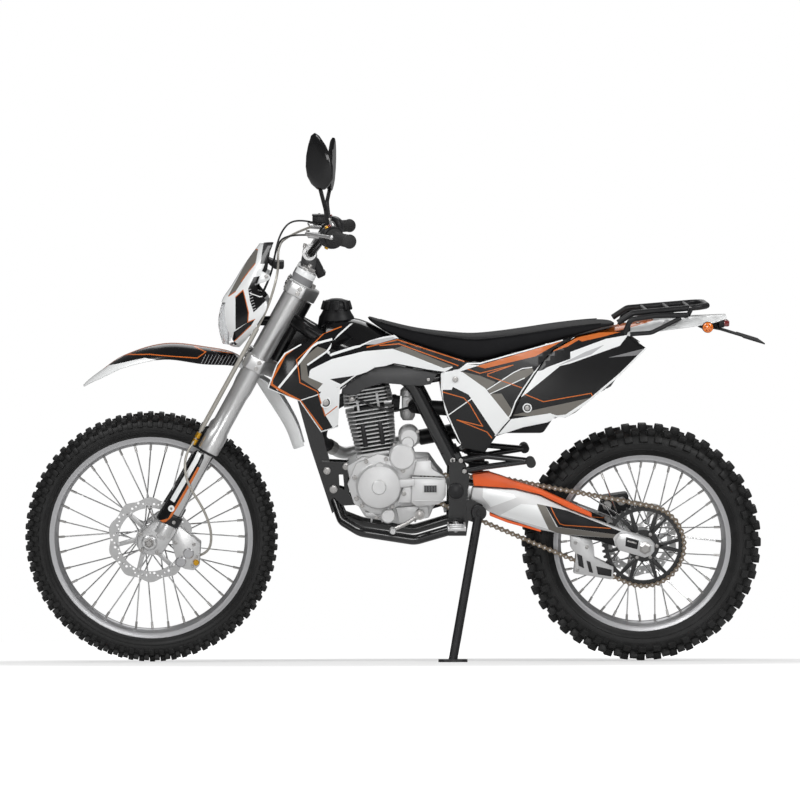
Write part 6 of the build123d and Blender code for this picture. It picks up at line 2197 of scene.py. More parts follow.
@dataclass
class Tank:
    """The tank between the spars, its bell-shaped neck and the screw cap."""

    rows: tuple = ((-206, 872, 936, 60, 50), (-190, 856, 952, 96, 66), (-100, 842, 948, 118, 70),
                   (-8, 826, 902, 112, 74), (70, 810, 866, 92, 74))
    filler: Vector = field(default_factory=lambda: Vector((-165.0, 0.0, 977.0)))

    def build(self) -> None:
        """Builds the tank and the cap."""
        sections = [ring_section(x, low, high, a, b, 0.62)
                    for x, low, high, a, b in resampled(self.rows, 16)]
        shell = GLOSS_BLACK.on(Shop.skin("tank_shell", sections, closed=True))
        neck = Shop.turned("neck", [(0, 0.4), (0, 36), (3, 37.5), (10, 41), (21, 48), (40, 51), (62, 53),
            (72, 50), (72, 0.4)], self.filler, DOWN, 56)
        ring = Shop.turned("neck_ring", [(-2, 30), (-2, 36), (1, 37.5), (3, 37.5), (3, 30)], self.filler,
                           DOWN, 56)
        Shop.seat("tank_dressed", [shell, BLACK_PLASTIC.on(neck), BLACK_PLASTIC.on(ring)],
                  "chassis", "fuel_tank")
        dome = Shop.turned("cap", [(0, 0.4), (0, 35), (6, 36.5), (17, 34), (25, 27), (29, 15), (30, 0.4)],
                           self.filler, UP, 56)
        made = [dome]
        splay = Matrix.Rotation(math.radians(-16), 4, "Y")
        for number in range(8):
            lug = Shop.block("cap_lug", (36.5, 0, 11), (9, 15, 26), splay, 3.0)
            lug.data.transform(Matrix.Translation(self.filler) @ Matrix.Rotation(2 * math.pi * number / 8, 4,
                "Z"))
            made.append(lug)
        made.append(Shop.turned("hose_spigot", [(0, 0.4), (0, 5), (6, 4), (6, 0.4)],
                                self.filler + Vector((0, 0, 24)), UP, 20))
        Shop.seat("filler_cap_dressed", [BLACK_PLASTIC.on(piece) for piece in made], "chassis", "filler_cap")


@dataclass
class Seat:
    """The long padded seat with its piping."""

    rows: tuple = ((-80, 951, 958, 40, 32), (-30, 917, 943, 66, 52), (60, 880, 923, 84, 66),
        (185, 838, 909, 100, 84), (229, 837, 909, 106, 92), (340, 868, 921, 108, 98),
        (450, 898, 936, 104, 94), (560, 931, 945, 92, 80), (598, 936, 941, 70, 60))

    def piping(self, side: int) -> Piece:
        """The piped seam along one upper edge.

        Args:
            side: -1 for one side and 1 for the other.

        Returns:
            The piping.
        """
        points = []
        for x, low, high, half_low, half_high in resampled(self.rows, 34)[2:-2]:
            rise = 0.80
            half = half_low + (half_high - half_low) * (rise + 1) / 2
            points.append(Vector((x, side * half * 0.955, (low + high) / 2 + (high - low) / 2 * rise)))
        return BLACK_PLASTIC.on(Shop.tube("piping", points, 1.5, 4.0, 2, 1))

    def build(self) -> None:
        """Builds the seat."""
        sections = [ring_section(x, low, high, a, b, 0.5, 24) for x, low, high, a,
            b in resampled(self.rows, 26)]
        pad = Shop.skin("pad", sections, closed=True)
        Shop.modify(pad, "SUBSURF", levels=1)
        made = [SEAT_VINYL.on(pad), self.piping(-1), self.piping(1)]
        Shop.seat("seat_dressed", made, "chassis", "seat", angle=60)


@dataclass
class Mudguard:
    """A curved guard: rows of place, slope, half width and how far its edges turn down."""

    name: str
    body: str
    node: str
    finish: Finish
    rows: tuple
    count: int
    power: float = 3.0
    thickness: float = 3.2
    columns: int = 19

    def shell(self) -> Piece:
        """The guard's sheet.

        Returns:
            The sheet.
        """
        sections = []
        for x, z, slope, half, edge in resampled(self.rows, self.count):
            tilt = math.radians(slope)
            down = Vector((math.sin(tilt), 0, -math.cos(tilt)))
            sections.append([Vector((x, half * t,
                z)) + down * edge * abs(t) ** self.power for t in (2 * number / (self.columns - 1) - 1
                for number in range(self.columns))])
        return Shop.sheet(Shop.skin(self.name, sections), self.thickness, UP, 0.9)

    def build(self, extras: list[Piece], cutters: list[Piece]) -> None:
        """Builds it with what is fixed to it and cut out of it.

        Args:
            extras: what is fixed to it.
            cutters: what is cut out of it.
        """
        shell = self.shell()
        if cutters:
            Shop.cut(shell, *cutters)
        Shop.seat(self.name + "_dressed", [self.finish.on(shell)] + extras, self.body, self.node)


def front_mudguard() -> None:
    """The high front guard with its tail, under the lower clamp."""
    rows = ((-577, -247, 42, 24, 3), (-560, -231, 40, 42, 8), (-533, -211, 36, 62, 14),
        (-467, -167, 22, 76, 26), (-354, -134, 4, 80, 36), (-237, -144, -8, 76, 40),
        (-153, -165, -22, 62, 26), (-113, -217, -60, 58, -8), (-78, -272, -56, 58, -34),
        (-22, -362, -62, 52, -34), (2, -424, -66, 44, -30))
    placed = tuple((HEAD.x + x, HEAD.z + z, *rest) for x, z, *rest in rows)
    legs = [Shop.rod("room", on_fork(40, y), on_fork(500, y), 28.5, 40) for y in (-FORK_SPREAD, FORK_SPREAD)]
    pad = Shop.block("mount_pad", on_fork(235), (70, 60, 16), FORK_TURN, 3.0)
    bolts = [Shop.bolt(on_fork(236, y, 36), FORK_AHEAD, 5.5, 4.0) for y in (-24, 24)]
    Mudguard("front_fender", "steering", "front_fender", FRONT_FENDER_KIT, placed, 46).build(
        [BLACK_PLASTIC.on(pad)] + bolts, legs)


def rear_mudguard() -> None:
    """The rear guard that rises behind the seat, on two posts."""
    rows = ((470, 899, 14, 92, 22), (540, 916, 12, 92, 24), (600, 930, 10, 92, 26), (700, 947, 7, 84, 26),
            (800, 957, 4, 70, 24), (860, 960, 3, 54, 18), (903, 962, 2, 34, 10))
    posts = [BLACK_PLASTIC.on(Shop.rod("post", (628, y, 898), (628, y, 933), 8, 20)) for y in (-72, 72)]
    bolts = [Shop.bolt((x, y, z), (-0.12, 0, 1), 6.0, 3.0) for x, z in ((660, 940), (790, 956))
             for y in (-34, 34)]
    Mudguard("rear_fender", "chassis", "rear_fender", REAR_FENDER_KIT, rows, 30, 4.0).build(posts + bolts, [])


@dataclass
class HeadlightMask:
    """The mask's shell, its lens, the reflector behind it and the lamp's body."""

    # steps from the head anchor: height, nose, tail and half width
    rows: tuple = ((-140, -169, -147, 56), (-117, -183, -127, 84), (-71, -191, -95, 112),
        (-17, -191, -69, 116), (25, -165, -97, 104), (83, -129, -79, 84), (141, -87, -55, 62))
    window: tuple[Point, ...] = ((-215, -134), (-215, -17), (-158, -17), (-158, -134))
    window_half: float = 64.0

    def row(self, height: float) -> tuple[float, float, float]:
        """Nose, tail and half width at a height."""
        knots = tuple(row[0] for row in self.rows)
        return tuple(smooth(knots, tuple(row[column] for row in self.rows), height) for column in (1, 2, 3))

    def section(self, height: float) -> list[Vector]:
        """A level line round the shell, from the left tail to the right one.

        Args:
            height: the line's height.

        Returns:
            The line's points.
        """
        nose, tail, half = self.row(height)
        knots = (0.0, 0.34, 0.68, 1.0)
        xs = (tail, (nose + tail) / 2, nose + 1, nose - 5)
        ys = (half, half * 0.90, half * 0.48, 0.0)
        line = []
        for number in range(27):
            share = 1 - abs(number / 13 - 1)
            side = -1 if number < 13 else 1
            line.append(from_head(smooth(knots, xs, share), side * smooth(knots, ys, share), height))
        return line

    def shell(self) -> Piece:
        """The mask with its lens window.

        Returns:
            The mask.
        """
        skin = Shop.skin("mask", [self.section(-140 + 281 * number / 30) for number in range(31)])
        Shop.sheet(skin, 3.4, AHEAD, 0.9)
        Shop.cut(skin, Shop.slab("window", self.window, -self.window_half, self.window_half, at=HEAD))
        return skin

    def lens(self) -> Piece:
        """The bulged clear lens.

        Returns:
            The lens.
        """
        sections = []
        for number in range(15):
            height = -132 + 114 * number / 14
            lift = math.sin(math.pi * number / 14)
            line = []
            for place in range(15):
                t = 2 * place / 14 - 1
                line.append(from_head(-190 - 12 * lift * (1 - t * t) - 4 * (1 - t ** 4) + 14 * t ** 4, 62 * t,
                    height))
            sections.append(line)
        return Shop.sheet(Shop.skin("lens", sections), 2.4, AHEAD, 0.6)

    def lamp(self) -> list[Piece]:
        """The reflector bowl, the bulb, the lamp's body with its surround, and its arms.

        Returns:
            The pieces.
        """
        back = from_head(-118, 0, -72)
        made = Shop.turnings(back, AHEAD, ("reflector", CHROME, 48, (6, 12), (10, 26), (22, 42), (40, 52),
            (42, 52), (42, 54.5), (38, 54), (20, 45), (6, 28), (2, 12)),
            ("bulb", CLEAR_LENS, 24, (4, 0.4), (4, 8), (18, 8), (26, 6), (30, 0.4)))
        body, surround = Shop.slabs(HEAD, ("lamp_body", BLACK_PLASTIC, -50, 50, 6.0, (-150, -24), (-117, -30),
            (-115, -110), (-150, -118)), ("lamp_surround", BLACK_PLASTIC, -66, 66, 1.0, (-172, -20),
            (-160, -16), (-150, -130), (-160, -134)))
        for piece, start, end, radius, steps in ((body, 8, 60, 40, 32), (surround, 0, 80, 55, 48)):
            Shop.cut(piece, Shop.turned("room", [(start, 0.4), (start, radius), (end, radius), (end, 0.4)],
                back, AHEAD, steps))
            made.append(BLACK_PLASTIC.on(piece))
        for side in (-1, 1):
            arm = Shop.rod("lamp_arm", from_head(-121, side * 42, -72), from_head(-58, side * 74, -72), 8, 20,
                1.0)
            made.append(BLACK_PLASTIC.on(arm))
        return made

    def backing(self) -> list[Piece]:
        """The black backing behind the mask's top, the white ears and their bolts.

        Returns:
            The pieces.
        """
        made = Shop.slabs(HEAD, ("backing", BLACK_PLASTIC, -46, 46, 4.0, (-62, 132), (-80, 126), (-104, 74),
            (-138, 30), (-128, 18), (-96, 30), (-72, 68)), ("lamp_bracket", BLACK_PLASTIC, -40, 40, 3.0,
            (-71, 103), (-47, 93), (-26, 93), (-26, 72), (-50, 72), (-67, 86)))
        made += both(Shop.slabs(HEAD, ("ear", WHITE_PLASTIC, -92, -87, 1.6, (-94, 76), (-64, 60), (-60, 52),
            (-68, 44), (-108, 30))))
        return made + both([Shop.bolt(from_head(-72, -91.5, 56), LEFT, 5.0, 3.0)])

    def build(self) -> None:
        """Builds the headlight's three pieces."""
        Shop.seat("mask_dressed", [MASK_KIT.on(self.shell())] + self.backing(), "steering", "headlight_mask")
        Shop.seat("lens_dressed", [CLEAR_LENS.on(self.lens())], "steering", "headlight_lens")
        Shop.seat("lamp_dressed", self.lamp(), "steering", "headlight_unit")


# ---------------------------------------------------------------- rear end and fittings
@dataclass
class RearArm:
    """The swingarm with its end blocks, the chain slider and the guide under it."""

    arm: tuple[Point, ...] = ((204, 500), (320, 493), (388, 476), (469, 437), (578, 394), (686, 357),
        (700, 340), (697, 318), (680, 306), (551, 349), (388, 381), (279, 417), (199, 456))
    neck: tuple[Point, ...] = ((159, 503), (300, 497), (300, 450), (159, 468))
    bridge: tuple[Point, ...] = ((274, 496), (311, 487), (294, 448), (264, 453))
    block: tuple[Point, ...] = ((606, 372), (629, 373), (690, 356), (703, 343), (702, 322), (692, 309),
        (676, 304), (604, 325), (594, 350))
    slider: tuple[Point, ...] = ((208, 503), (204, 534), (250, 540), (285, 529), (330, 512), (392, 492),
        (470, 456), (530, 426), (530, 416), (469, 440), (388, 479), (320, 496))
    strip: tuple[Point, ...] = ((252, 428), (300, 408), (392, 381), (392, 375), (300, 401), (252, 420))
    guide: tuple[Point, ...] = ((474, 368), (532, 354), (538, 330), (541, 300), (593, 275), (592, 242),
        (585, 240), (484, 257), (490, 311), (476, 327))
    inserts: tuple = (((492, 312), (506, 306), (512, 271), (497, 278)),
        ((518, 293), (529, 289), (537, 258), (526, 261)), ((545, 277), (588, 267), (587, 248), (550, 254)))

    def left_arm(self) -> list[Piece]:
        """The left arm with its neck, end block, adjuster and nut.

        Returns:
            The pieces.
        """
        made = Shop.slabs(ORIGIN, ("arm", ARM_KIT, -116, -90, 5.0, *self.arm),
            ("neck", SILVER_METAL, -91, -45, 4.0, *self.neck), ("end_block", SILVER_METAL, -119, -88, 3.0,
            *self.block), ("slot", SATIN_BLACK, -120, -117, 2.0, (624, 362), (660, 352), (655, 327),
            (622, 336)), ("adjuster", SILVER_METAL, -122, -119, 2.5, (662, 349), (700, 338), (693, 314),
            (657, 325)))
        made += Shop.lathings(REAR_AXLE, (
            "axle_nut", BOLT_STEEL, 6, (0.5, -131), (11, -131), (17, -127), (17, -119), (0.5, -119)))
        tilt = Matrix.Rotation(math.radians(16), 4, "Y")
        for x, z in ((634, 349), (646, 346)):
            made.append(BOLT_STEEL.on(Shop.block("screw", (x, -121, z), (14, 4, 4.5), tilt, 1.0)))
        return made + [Shop.bolt((696, -104, 331), (1, 0, -0.3), 6.0, 6.0, 6)]

    def build(self) -> None:
        """Builds the arm, then the guides."""
        middle = Shop.slabs(ORIGIN, ("bridge", SILVER_METAL, -91, 91, 5.0, *self.bridge))
        middle += Shop.lathings((159, 0, 489), ("pivot_tube", SILVER_METAL, 48, (12, -94), (21, -94),
            (21, 94), (12, 94)))
        middle += Shop.lathings(REAR_AXLE, ("rear_axle", BOLT_STEEL, 32, (7, -126), (10, -126), (10, 126),
            (7, 126)))
        Shop.seat("swingarm_dressed", both(self.left_arm()) + middle, "chassis", "swingarm")
        made = Shop.slabs(ORIGIN, ("slider", ORANGE_PLASTIC, -119, -88, 2.0, *self.slider),
            ("strip", ORANGE_PLASTIC, -114, -92, 1.5, *self.strip),
            ("cheek", SILVER_METAL, -91, -86, 1.5, *self.guide), ("cheek", SILVER_METAL, -60, -56, 1.0,
            *self.guide), ("guide_floor", SILVER_METAL, -87, -59, 0.8, (484, 257), (546, 247), (546, 251),
            (485, 262)), *(("insert", SATIN_BLACK, -92.4, -90.2, 1.0, *corners) for corners in self.inserts))
        made += Shop.bolts(((488, 342), (519, 330), (493, 266)), -90.6, LEFT, 5.0, 3.0)
        Shop.seat("chain_guides_dressed", made, "chassis", "chain_guides")


@dataclass
class Shock:
    """The single shock with its coil spring."""

    low: Vector = field(default_factory=lambda: Vector((236.0, 0.0, 420.0)))
    high: Vector = field(default_factory=lambda: Vector((196.0, 0.0, 752.0)))

    def build(self) -> None:
        """Builds it between the arm and the frame."""
        line = (self.high - self.low).normalized()
        length = (self.high - self.low).length
        body = Shop.turned("shock_body", [(0, 0.4), (0, 12), (24, 14), (26, 32), (31, 33), (33, 15),
            (120, 15), (122, 23), (252, 23), (254, 33), (260, 33), (262, 24), (length - 14, 24), (length, 12),
            (length, 0.4)], self.low, line, 40)
        side = line.cross(RIGHT).normalized()
        coil = []
        turns, steps = 8, 20
        for number in range(turns * steps + 1):
            turn = 2 * math.pi * number / steps
            rise = 36 + 213 * number / (turns * steps)
            coil.append(self.low + line * rise + (side * math.cos(turn) + RIGHT * math.sin(turn)) * 29)
        spring = Shop.tube("coil", coil, 5.2, 0.5, 3, 1)
        made = [SATIN_BLACK.on(body), GLOSS_BLACK.on(spring)]
        Shop.seat("shock_dressed", made, "chassis", "shock_absorber", angle=50)


@dataclass
class Exhaust:
    """The header pipe with its flange and shield, and the silencer."""

    route: tuple = ((-118, 26, 742), (-190, 34, 700), (-214, 60, 610), (-150, 138, 560), (40, 152, 600),
                    (240, 154, 636), (330, 174, 640), (372, 180, 662))
    end: Vector = field(default_factory=lambda: Vector((606.0, 180.0, 800.0)))

    def build(self) -> None:
        """Builds both pieces."""
        points = [Vector(place) for place in self.route]
        middle = (points[2] + points[3]) / 2
        header = SATIN_BLACK.on(Shop.tube("header", points[:3] + [middle], 17.0, 60.0, 6, 10))
        pipe = SILVER_METAL.on(Shop.tube("pipe", [middle] + points[3:], 17.0, 60.0, 6, 10))
        along = (points[3] - points[2]).normalized()
        clip = Shop.turned("pipe_clip", [(-12, 17), (-12, 19.5), (12, 19.5), (12, 17)], middle, along, 32)
        way = (points[1] - points[0]).normalized()
        flange = BOLT_STEEL.on(Shop.turned("flange", [(0, 17), (0, 30), (8, 30), (10, 28), (10, 17)],
            points[0], way, 32))
        made = [header, pipe, flange, BOLT_STEEL.on(clip)]
        for side in (-1, 1):
            made.append(Shop.bolt(points[0] + Vector((-4, side * 24, 3)), way, 5.0, 8.0, 6))
        line = (points[5] - points[4]).normalized()
        length = (points[5] - points[4]).length
        shield = Shop.turned("heat_shield", [(24, 19), (28, 22), (length - 28, 22), (length - 24, 19)],
            points[4], line, 32)
        made.append(SATIN_BLACK.on(shield))
        for share in (0.25, 0.5, 0.75):
            made.append(Shop.bolt(points[4] + line * length * share + Vector((0, 21, 0)), RIGHT, 5.0, 3.0))
        Shop.seat("exhaust_dressed", made, "chassis", "exhaust_pipe")
        start, way = points[-1], (self.end - points[-1]).normalized()
        full = (self.end - start).length
        can = Shop.turned("can", [(0, 0.4), (0, 21), (30, 24), (58, 43), (62, 45), (full - 44, 45),
            (full - 44, 0.4)], start, way, 64)
        cap = Shop.turned("end_cap", [(full - 46, 0.4), (full - 46, 44), (full - 42, 46), (full - 30, 46),
            (full - 4, 33), (full, 30), (full, 15), (full - 30, 13), (full - 30, 0.4)], start, way, 64)
        band = Shop.turned("band", [(136, 45), (136, 47.5), (154, 47.5), (154, 45)], start, way, 64)
        rivets = []
        for number in range(10):
            turn = Matrix.Rotation(2 * math.pi * number / 10, 3, way)
            out = turn @ way.cross(UP).normalized()
            rivets.append(Shop.bolt(start + way * (full - 52) + out * 44.5, out, 2.6, 1.6, 8))
        lug = Shop.block("silencer_lug", start + way * 145 + Vector((0, -58, 14)), (16, 46, 8), None, 2.0)
        Shop.seat("silencer_dressed", [RIM_METAL.on(can), SATIN_BLACK.on(cap),
                                       SATIN_BLACK.on(band), SATIN_BLACK.on(lug)] + rivets,
                  "chassis", "silencer")


def intake() -> None:
    """The carburettor with its float bowl and boots, the ducts and the air box."""
    made = Shop.turnings((-14, 0, 718), (1, 0, -0.08), (
        "boot", BLACK_PLASTIC, 32, (0, 0.4), (0, 24), (8, 25), (14, 22), (22, 22), (22, 0.4)))
    for name, start, end in (("duct", (60, -46, 712), (262, -40, 700)),
            ("duct_link", (46, -20, 712), (66, -50, 712))):
        made.append(BLACK_PLASTIC.on(Shop.rod(name, start, end, 20, 32, 2.0)))
    made += Shop.slabs(ORIGIN, (
        "air_box", BLACK_PLASTIC, -62, 62, 8.0, (262, 640), (262, 806), (452, 848), (440, 700), (400, 640)))
    made.append(FIN_METAL.on(Shop.block("carburettor", (30, 0, 718), (32, 50, 40), None, 5.0)))
    made += Shop.turnings((30, 0, 738), UP, (
        "carburettor_top", FIN_METAL, 32, (0, 0.4), (0, 21), (16, 20), (24, 12), (24, 0.4)))
    made += Shop.turnings((30, 0, 699), DOWN, (
        "float_bowl", FIN_METAL, 32, (0, 0.4), (0, 22), (18, 20), (28, 14), (28, 0.4)))
    for z in (664, 700, 736, 772):
        made.append(BLACK_PLASTIC.on(Shop.block("box_rib", (300, 0, z), (60, 127, 5), None, 1.5)))
    made.append(Shop.bolt((30, -25, 722), LEFT, 6.0, 5.0, 6))
    Shop.seat("intake_dressed", made, "chassis", "intake")


def knee_covers() -> None:
    """The dark moulded covers over the spars."""
    outline = ((-152, 756), (-150, 770), (-119, 794), (-59, 827), (-6, 835), (108, 811), (90, 782), (61, 778),
               (-40, 786), (-86, 773), (-112, 752))
    bulge = Bulge((745, 800, 840), ((-160, 125, 126, 125), (-80, 126, 133, 127), (30, 126, 134, 127),
        (112, 122, 126, 123)))
    Panel("knee_cover", ("knee_covers",), outline, bulge, DARK_PLASTIC, thickness=5.0, cell=11.0,
          bolts=((84, 795, 4.5),)).build()


def pegs_and_pedals() -> None:
    """The rider's toothed pegs, the passenger's round pegs, the gear lever and the brake pedal."""
    made = []
    for x in (137, 181):
        made.append(Shop.block("peg_wall", (x, -184, 399), (5, 74, 12), None, 1.0))
        for number in range(8):
            made.append(Shop.block("tooth", (x, -216 + 9.2 * number, 405), (4.5, 5, 5),
                                   Matrix.Rotation(math.radians(45), 4, "X"), 0.5))
    for y in (-219, -184, -149):
        made.append(Shop.block("peg_bar", (159, y, 398), (44, 5, 9), None, 1.0))
    made.append(Shop.block("peg_hinge", (159, -135, 393), (18, 27, 22), None, 3.0))
    made.append(Shop.rod("peg_pin", (159, -136, 378), (159, -136, 408), 4.5, 20, 1.0))
    pegs = [SILVER_METAL.on(piece) for piece in made]
    Shop.seat("footpegs_dressed", both(pegs), "chassis", "footpegs")
    upper = Shop.tube("hanger", [(170, -125, 574), (242, -130, 586), (358, -142, 574)], 8, 60, 4, 8)
    lower = Shop.tube("hanger", [(180, -125, 545), (236, -130, 556), (358, -142, 574)], 8, 60, 4, 8)
    grooves = [(0, 0.4), (0, 10)]
    for number in range(6):
        grooves += [(3 + 9 * number, 13), (8 + 9 * number, 13), (9 + 9 * number, 11), (11 + 9 * number, 11)]
    rubber = Shop.turned("peg_rubber", grooves + [(61, 13), (62, 0.4)], (360, -134, 574), LEFT, 32)
    made = [FRAME_PAINT.on(upper), FRAME_PAINT.on(lower), GRIP_RUBBER.on(rubber)]
    made += Shop.bolts(((172, 574), (182, 545)), -131, LEFT, 6.5, 6.0, 6)
    Shop.seat("passenger_pegs_dressed", both(made), "chassis", "passenger_pegs")
    lever = Shop.tube("gear_lever", [(60, -150, 428), (22, -158, 404), (-13, -158, 388)], 5.5, 20, 4, 8)
    toe = Shop.turned("toe_piece", [(0, 0.4), (0, 7), (3, 9), (25, 9), (28, 7), (28, 0.4)], (-13, -158, 388),
                      LEFT, 32)
    clamp = Shop.lathe("lever_clamp", [(9, -158), (13, -158), (13, -142), (9, -142)], (60, 0, 428), 32)
    shaft = Shop.rod("shift_shaft", (60, -157, 428), (60, -78, 428), 9, 28, 1.0)
    pedal = Shop.tube("brake_pedal", [(168, 132, 430), (118, 136, 416), (20, 156, 384), (-40, 156, 392)], 6,
        45, 4, 8)
    pad = Shop.block("pedal_pad", (-51, 160, 392), (30, 32, 9), None, 2.0)
    pivot = Shop.rod("pedal_pivot", (168, 122, 430), (168, 140, 430), 11, 28, 1.5)
    made = [BOLT_STEEL.on(piece) for piece in (lever, clamp, shaft)]
    made += [SILVER_METAL.on(toe), SATIN_BLACK.on(pedal), SATIN_BLACK.on(pad),
             SATIN_BLACK.on(pivot)]
    for number in range(4):
        made.append(BOLT_STEEL.on(Shop.block("pad_tooth", (-62 + 7.4 * number, 160, 397), (3, 28, 3), None,
            0.6)))
    Shop.seat("foot_controls_dressed", made, "chassis", "foot_controls")


def tail_lights() -> None:
    """The red tail lamp and the round amber indicators."""
    made = [finish.on(Shop.block(name, place, size, None, bevel)) for name, finish, place, size, bevel in (
        ("tail_lens", RED_LENS, (899, 0, 939), (22, 80, 17), 4.0),
        ("tail_shell", BLACK_PLASTIC, (888, 0, 938), (16, 84, 20), 3.0),
        *(("lens_rib", RED_LENS, (909.6, 0, z), (1.6, 70, 1.2), 0.4) for z in (934, 939, 944)))]
    Shop.seat("tail_lamp_dressed", made, "chassis", "tail_lamp")
    centre = Vector((846, 0, 932))
    made = Shop.lathings(centre, ("indicator_cup", BLACK_PLASTIC, 40, (0.5, -60), (10, -60), (14, -66),
        (15, -74), (15, -83), (0.5, -83)), ("indicator_lens", AMBER_LENS, 40, (0.5, -92), (6, -91.6),
        (11, -90), (14, -87), (14.4, -82), (0.5, -82)))
    made.append(BLACK_PLASTIC.on(Shop.rod("stalk", (846, -61, 932), (846, -46, 932), 6.5, 24, 1.0)))
    for number in range(7):
        turn, reach = 2 * math.pi * number / 6, 0.0 if number == 6 else 8.0
        made += Shop.lathings(centre + Vector((reach * math.cos(turn), 0, reach * math.sin(turn))), (
            "dot", RED_LENS, 12, (0.3, -92.2), (1.6, -91.8), (2, -89), (0.3, -89)))
    Shop.seat("indicators_dressed", both(made), "chassis", "rear_indicators")


def rear_brake() -> None:
    """The rear caliper on its bracket."""
    side = ((-116, 73), (-104, 121), (-36, 131), (-24, 89), (-76, 61))
    made = Shop.slabs(REAR_AXLE, ("caliper_in", SATIN_BLACK, 44, 57, 4.0, *side),
        ("caliper_out", SATIN_BLACK, 67, 89, 5.0, *side), ("caliper_bridge", SATIN_BLACK, 56, 68, 1.0,
        (-108, 112), (-104, 121), (-36, 131), (-30, 118)), ("bracket", SILVER_METAL, 70, 99, 4.0, (-96, 49),
        (-36, 33), (-31, 89), (-101, 99)))
    for x, z in ((-92, 96), (-52, 108)):
        made += Shop.lathings(REAR_AXLE + Vector((x, 0, z)),
                              ("pot", BOLT_STEEL, 32, (0.5, 40), (12, 40), (13, 42), (13, 48), (0.5, 48)))
    made += Shop.bolts(((-104, 84), (-44, 118)), 88, RIGHT, 5.5, 5.0, 6, REAR_AXLE)
    Shop.seat("rear_caliper_dressed", made, "chassis", "rear_caliper")


def frame_fittings() -> None:
    """The bolts, caps and washers on the frame, and the rack's and bracket's screws."""
    made = []
    for side in (-1, 1):
        way = Vector((0, side, 0))
        for x, z, y, radius, sides in ((-139, 547, 36, 10, 20), (-174, 484, 36, 11, 20),
                (-192, 535, 36, 10, 20), (154, 388, 118, 8, 6), (150, 574, 119, 8, 6), (196, 444, 118, 7, 6),
                (30, 790, 92, 8, 6)):
            made.append(Shop.bolt((x, side * y, z), way, radius, 6.0, sides))
        cap = Shop.turned("pivot_cap", [(0, 0.4), (0, 20), (3, 22), (8, 21), (10, 18), (11, 0.4)],
                          (159, side * 121, 489), way, 40)
        made.append(SATIN_BLACK.on(cap))
        for x, y, z in ((613, 102, 889), (796, 92, 984)):
            made.append(Shop.bolt((x, side * y, z), way, 6.5, 5.0, 6))
        made.append(Shop.bolt((860, side * 40, 933), (0.3, 0, 1), 4.0, 2.5, 6))
    Shop.seat("frame_fittings", made, "chassis")


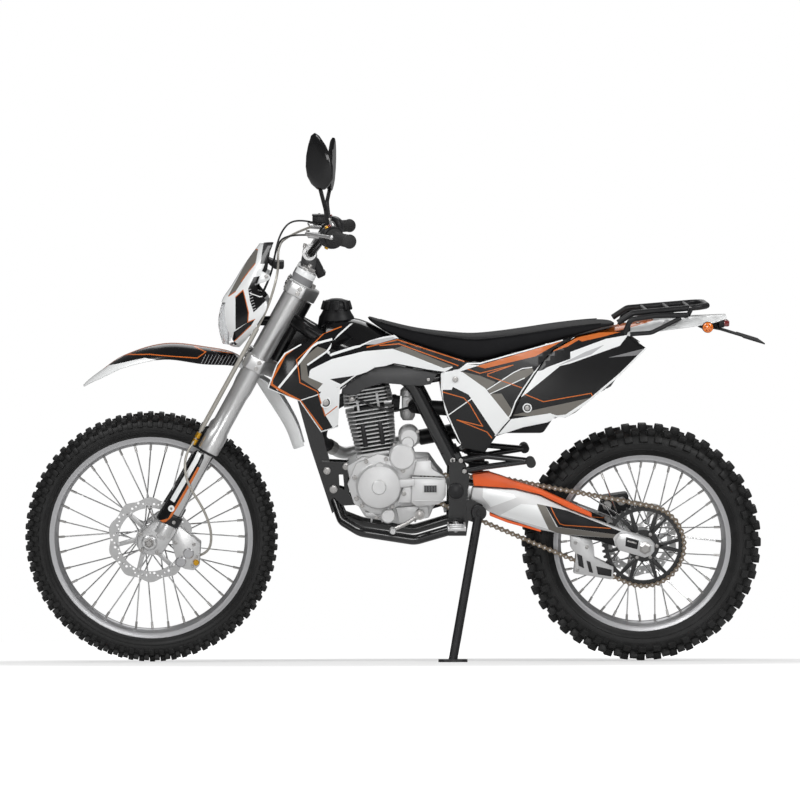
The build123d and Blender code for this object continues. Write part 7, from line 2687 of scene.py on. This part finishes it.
# ---------------------------------------------------------------- studio
@dataclass
class Studio:
    """The pale floor, the soft lamps and the camera."""

    eye: Vector = field(default_factory=lambda: Vector((-131.0, -9100.0, 1675.0)))
    target: Vector = field(default_factory=lambda: Vector((9.0, 0.0, 726.0)))
    focal_px: float = 3327.0
    image_px: int = 800
    floor_glow: float = 0.42
    shadow_room: tuple[float, float] = (1.1, 2.2)
    ambient: float = 0.30
    glossy: float = 0.16
    # place, size and power of each lamp
    lamps: tuple = (((-2.6, -3.0, 4.2), 2.2, 120.0), ((3.2, -3.2, 3.4), 1.8, 95.0),
        ((0.0, 4.0, 4.5), 3.5, 60.0), ((0.2, -6.0, 1.0), 1.6, 55.0))

    def camera(self) -> None:
        """Aims the camera across the machine's own side plane."""
        view = bpy.data.cameras.new("camera")
        view.lens = 36.0 * self.focal_px / self.image_px
        view.clip_end = 100.0
        camera = bpy.data.objects.new("camera", view)
        bpy.context.scene.collection.objects.link(camera)
        ahead = (self.target - self.eye).normalized()
        right = ahead.cross(UP).normalized()
        turn = Matrix((right, right.cross(ahead), -ahead)).transposed()
        camera.matrix_world = (Matrix.Translation(STANCE.at(*self.eye))
                               @ (Matrix.Rotation(STANCE.lean, 3, "X") @ turn).to_4x4())
        bpy.context.scene.camera = camera

    def floor(self) -> None:
        """Lays a plain pale floor that keeps the machine's shadow and fades into the white surround."""
        bpy.ops.object.select_all(action="DESELECT")
        bpy.ops.mesh.primitive_plane_add(size=60.0)
        floor = bpy.context.object
        floor.name = "floor"
        paint = bpy.data.materials.new("floor_paint")
        paint.use_nodes = True
        paint.node_tree.nodes.clear()
        nodes = Nodes(paint.node_tree)
        plain = nodes.add("BsdfDiffuse", Color=(0.8, 0.8, 0.8, 1.0))
        shade = nodes.add("BsdfDiffuse", Color=(0.5, 0.5, 0.5, 1.0))
        reach = nodes.add("VectorMath", operation="LENGTH")
        nodes.feed(reach.inputs[0], nodes.add("TexCoord").outputs["Object"])
        fade = nodes.add("MapRange", Value=reach.outputs["Value"], From_Min=self.shadow_room[0],
                         From_Max=self.shadow_room[1], To_Min=self.floor_glow, To_Max=1.0)
        glow = nodes.add("Emission", Color=(1.0, 1.0, 1.0, 1.0), Strength=fade.outputs[0])
        white = nodes.add_plain("ShaderNodeAddShader")
        nodes.feed(white.inputs[0], shade.outputs[0])
        nodes.feed(white.inputs[1], glow.outputs[0])
        seen = nodes.add_plain("ShaderNodeMixShader")
        nodes.feed(seen.inputs[0], nodes.add("LightPath").outputs["Is Camera Ray"])
        nodes.feed(seen.inputs[1], plain.outputs[0])
        nodes.feed(seen.inputs[2], white.outputs[0])
        nodes.feed(nodes.add_plain("ShaderNodeOutputMaterial").inputs["Surface"], seen.outputs[0])
        floor.data.materials.append(paint)

    def light(self) -> None:
        """Hangs soft lamps and a white surround."""
        for number, (place, size, power) in enumerate(self.lamps):
            lamp = bpy.data.lights.new(f"lamp_{number}", "AREA")
            lamp.size, lamp.energy = size, power
            holder = bpy.data.objects.new(lamp.name, lamp)
            bpy.context.scene.collection.objects.link(holder)
            holder.location = place
            holder.rotation_euler = (Vector((0, 0, 0.6)) - holder.location).to_track_quat("-Z",
                "Y").to_euler()
        world = bpy.data.worlds.new("surround")
        bpy.context.scene.world = world
        world.use_nodes = True
        world.node_tree.nodes.clear()
        nodes = Nodes(world.node_tree)
        rays = nodes.add("LightPath")
        seen = nodes.math("MAXIMUM", rays.outputs["Is Camera Ray"], rays.outputs["Is Transmission Ray"])
        lit = nodes.math("MULTIPLY_ADD", rays.outputs["Is Glossy Ray"], self.glossy - self.ambient)
        lit.node.inputs[2].default_value = self.ambient
        strength = nodes.math("MAXIMUM", seen, lit)
        ground = nodes.add("Background", Color=(1.0, 1.0, 1.0, 1.0), Strength=strength)
        nodes.feed(nodes.add_plain("ShaderNodeOutputWorld").inputs["Surface"], ground.outputs[0])


def main() -> None:
    """Builds the studio and dresses each piece."""
    logging.basicConfig(level=logging.INFO)
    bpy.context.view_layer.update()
    for name, finish in CARRIED.items():
        finish.on(frame["nodes"][name])
        LOG.info("%s carried over", name)
    Tyre("front_tyre_dressed", "front_wheel_set", "front_tyre", FRONT_AXLE, 348.0, 43.0, 12.0, 72,
        281.0).build()
    Tyre("rear_tyre_dressed", "rear_wheel_set", "rear_tyre", REAR_AXLE, 331.0, 56.0, 17.0, 44, 247.0).build()
    SpokedWheel("front_wheel_dressed", "front_wheel_set", "front_wheel", FRONT_AXLE, 281.0, 26.0, 52.0, 34.0,
        22.0, ((-61.0, -52.0, 26.0),)).build()
    SpokedWheel("rear_wheel_dressed", "rear_wheel_set", "rear_wheel", REAR_AXLE, 247.0, 33.0, 52.0, 46.0,
        30.0, ((-77.0, -52.0, 26.0), (52.0, 65.0, 26.0))).build()
    WaveDisc("front_disc", "front_wheel_set", "front_brake_disc", FRONT_AXLE, 118.0, -58.0, 10, 26.0).build()
    WaveDisc("rear_disc", "rear_wheel_set", "rear_brake_disc", REAR_AXLE, 108.0, 62.0, 9, 26.0).build()
    ChainDrive().build()
    for panel in PANELS:
        panel.build()
    Engine().build()
    for part in (Fork(), Clamps(), Cockpit(), FrontCaliper(), HeadlightMask(), Tank(), Seat(), RearArm(),
            Shock(), Exhaust()):
        part.build()
    for build in (hoses, front_mudguard, rear_mudguard, intake, knee_covers, pegs_and_pedals, tail_lights,
            rear_brake, frame_fittings):
        build()
    studio = Studio()
    studio.camera()
    studio.floor()
    studio.light()
    bpy.context.scene.view_settings.view_transform = "Standard"


if __name__ == "__main__":
    main()
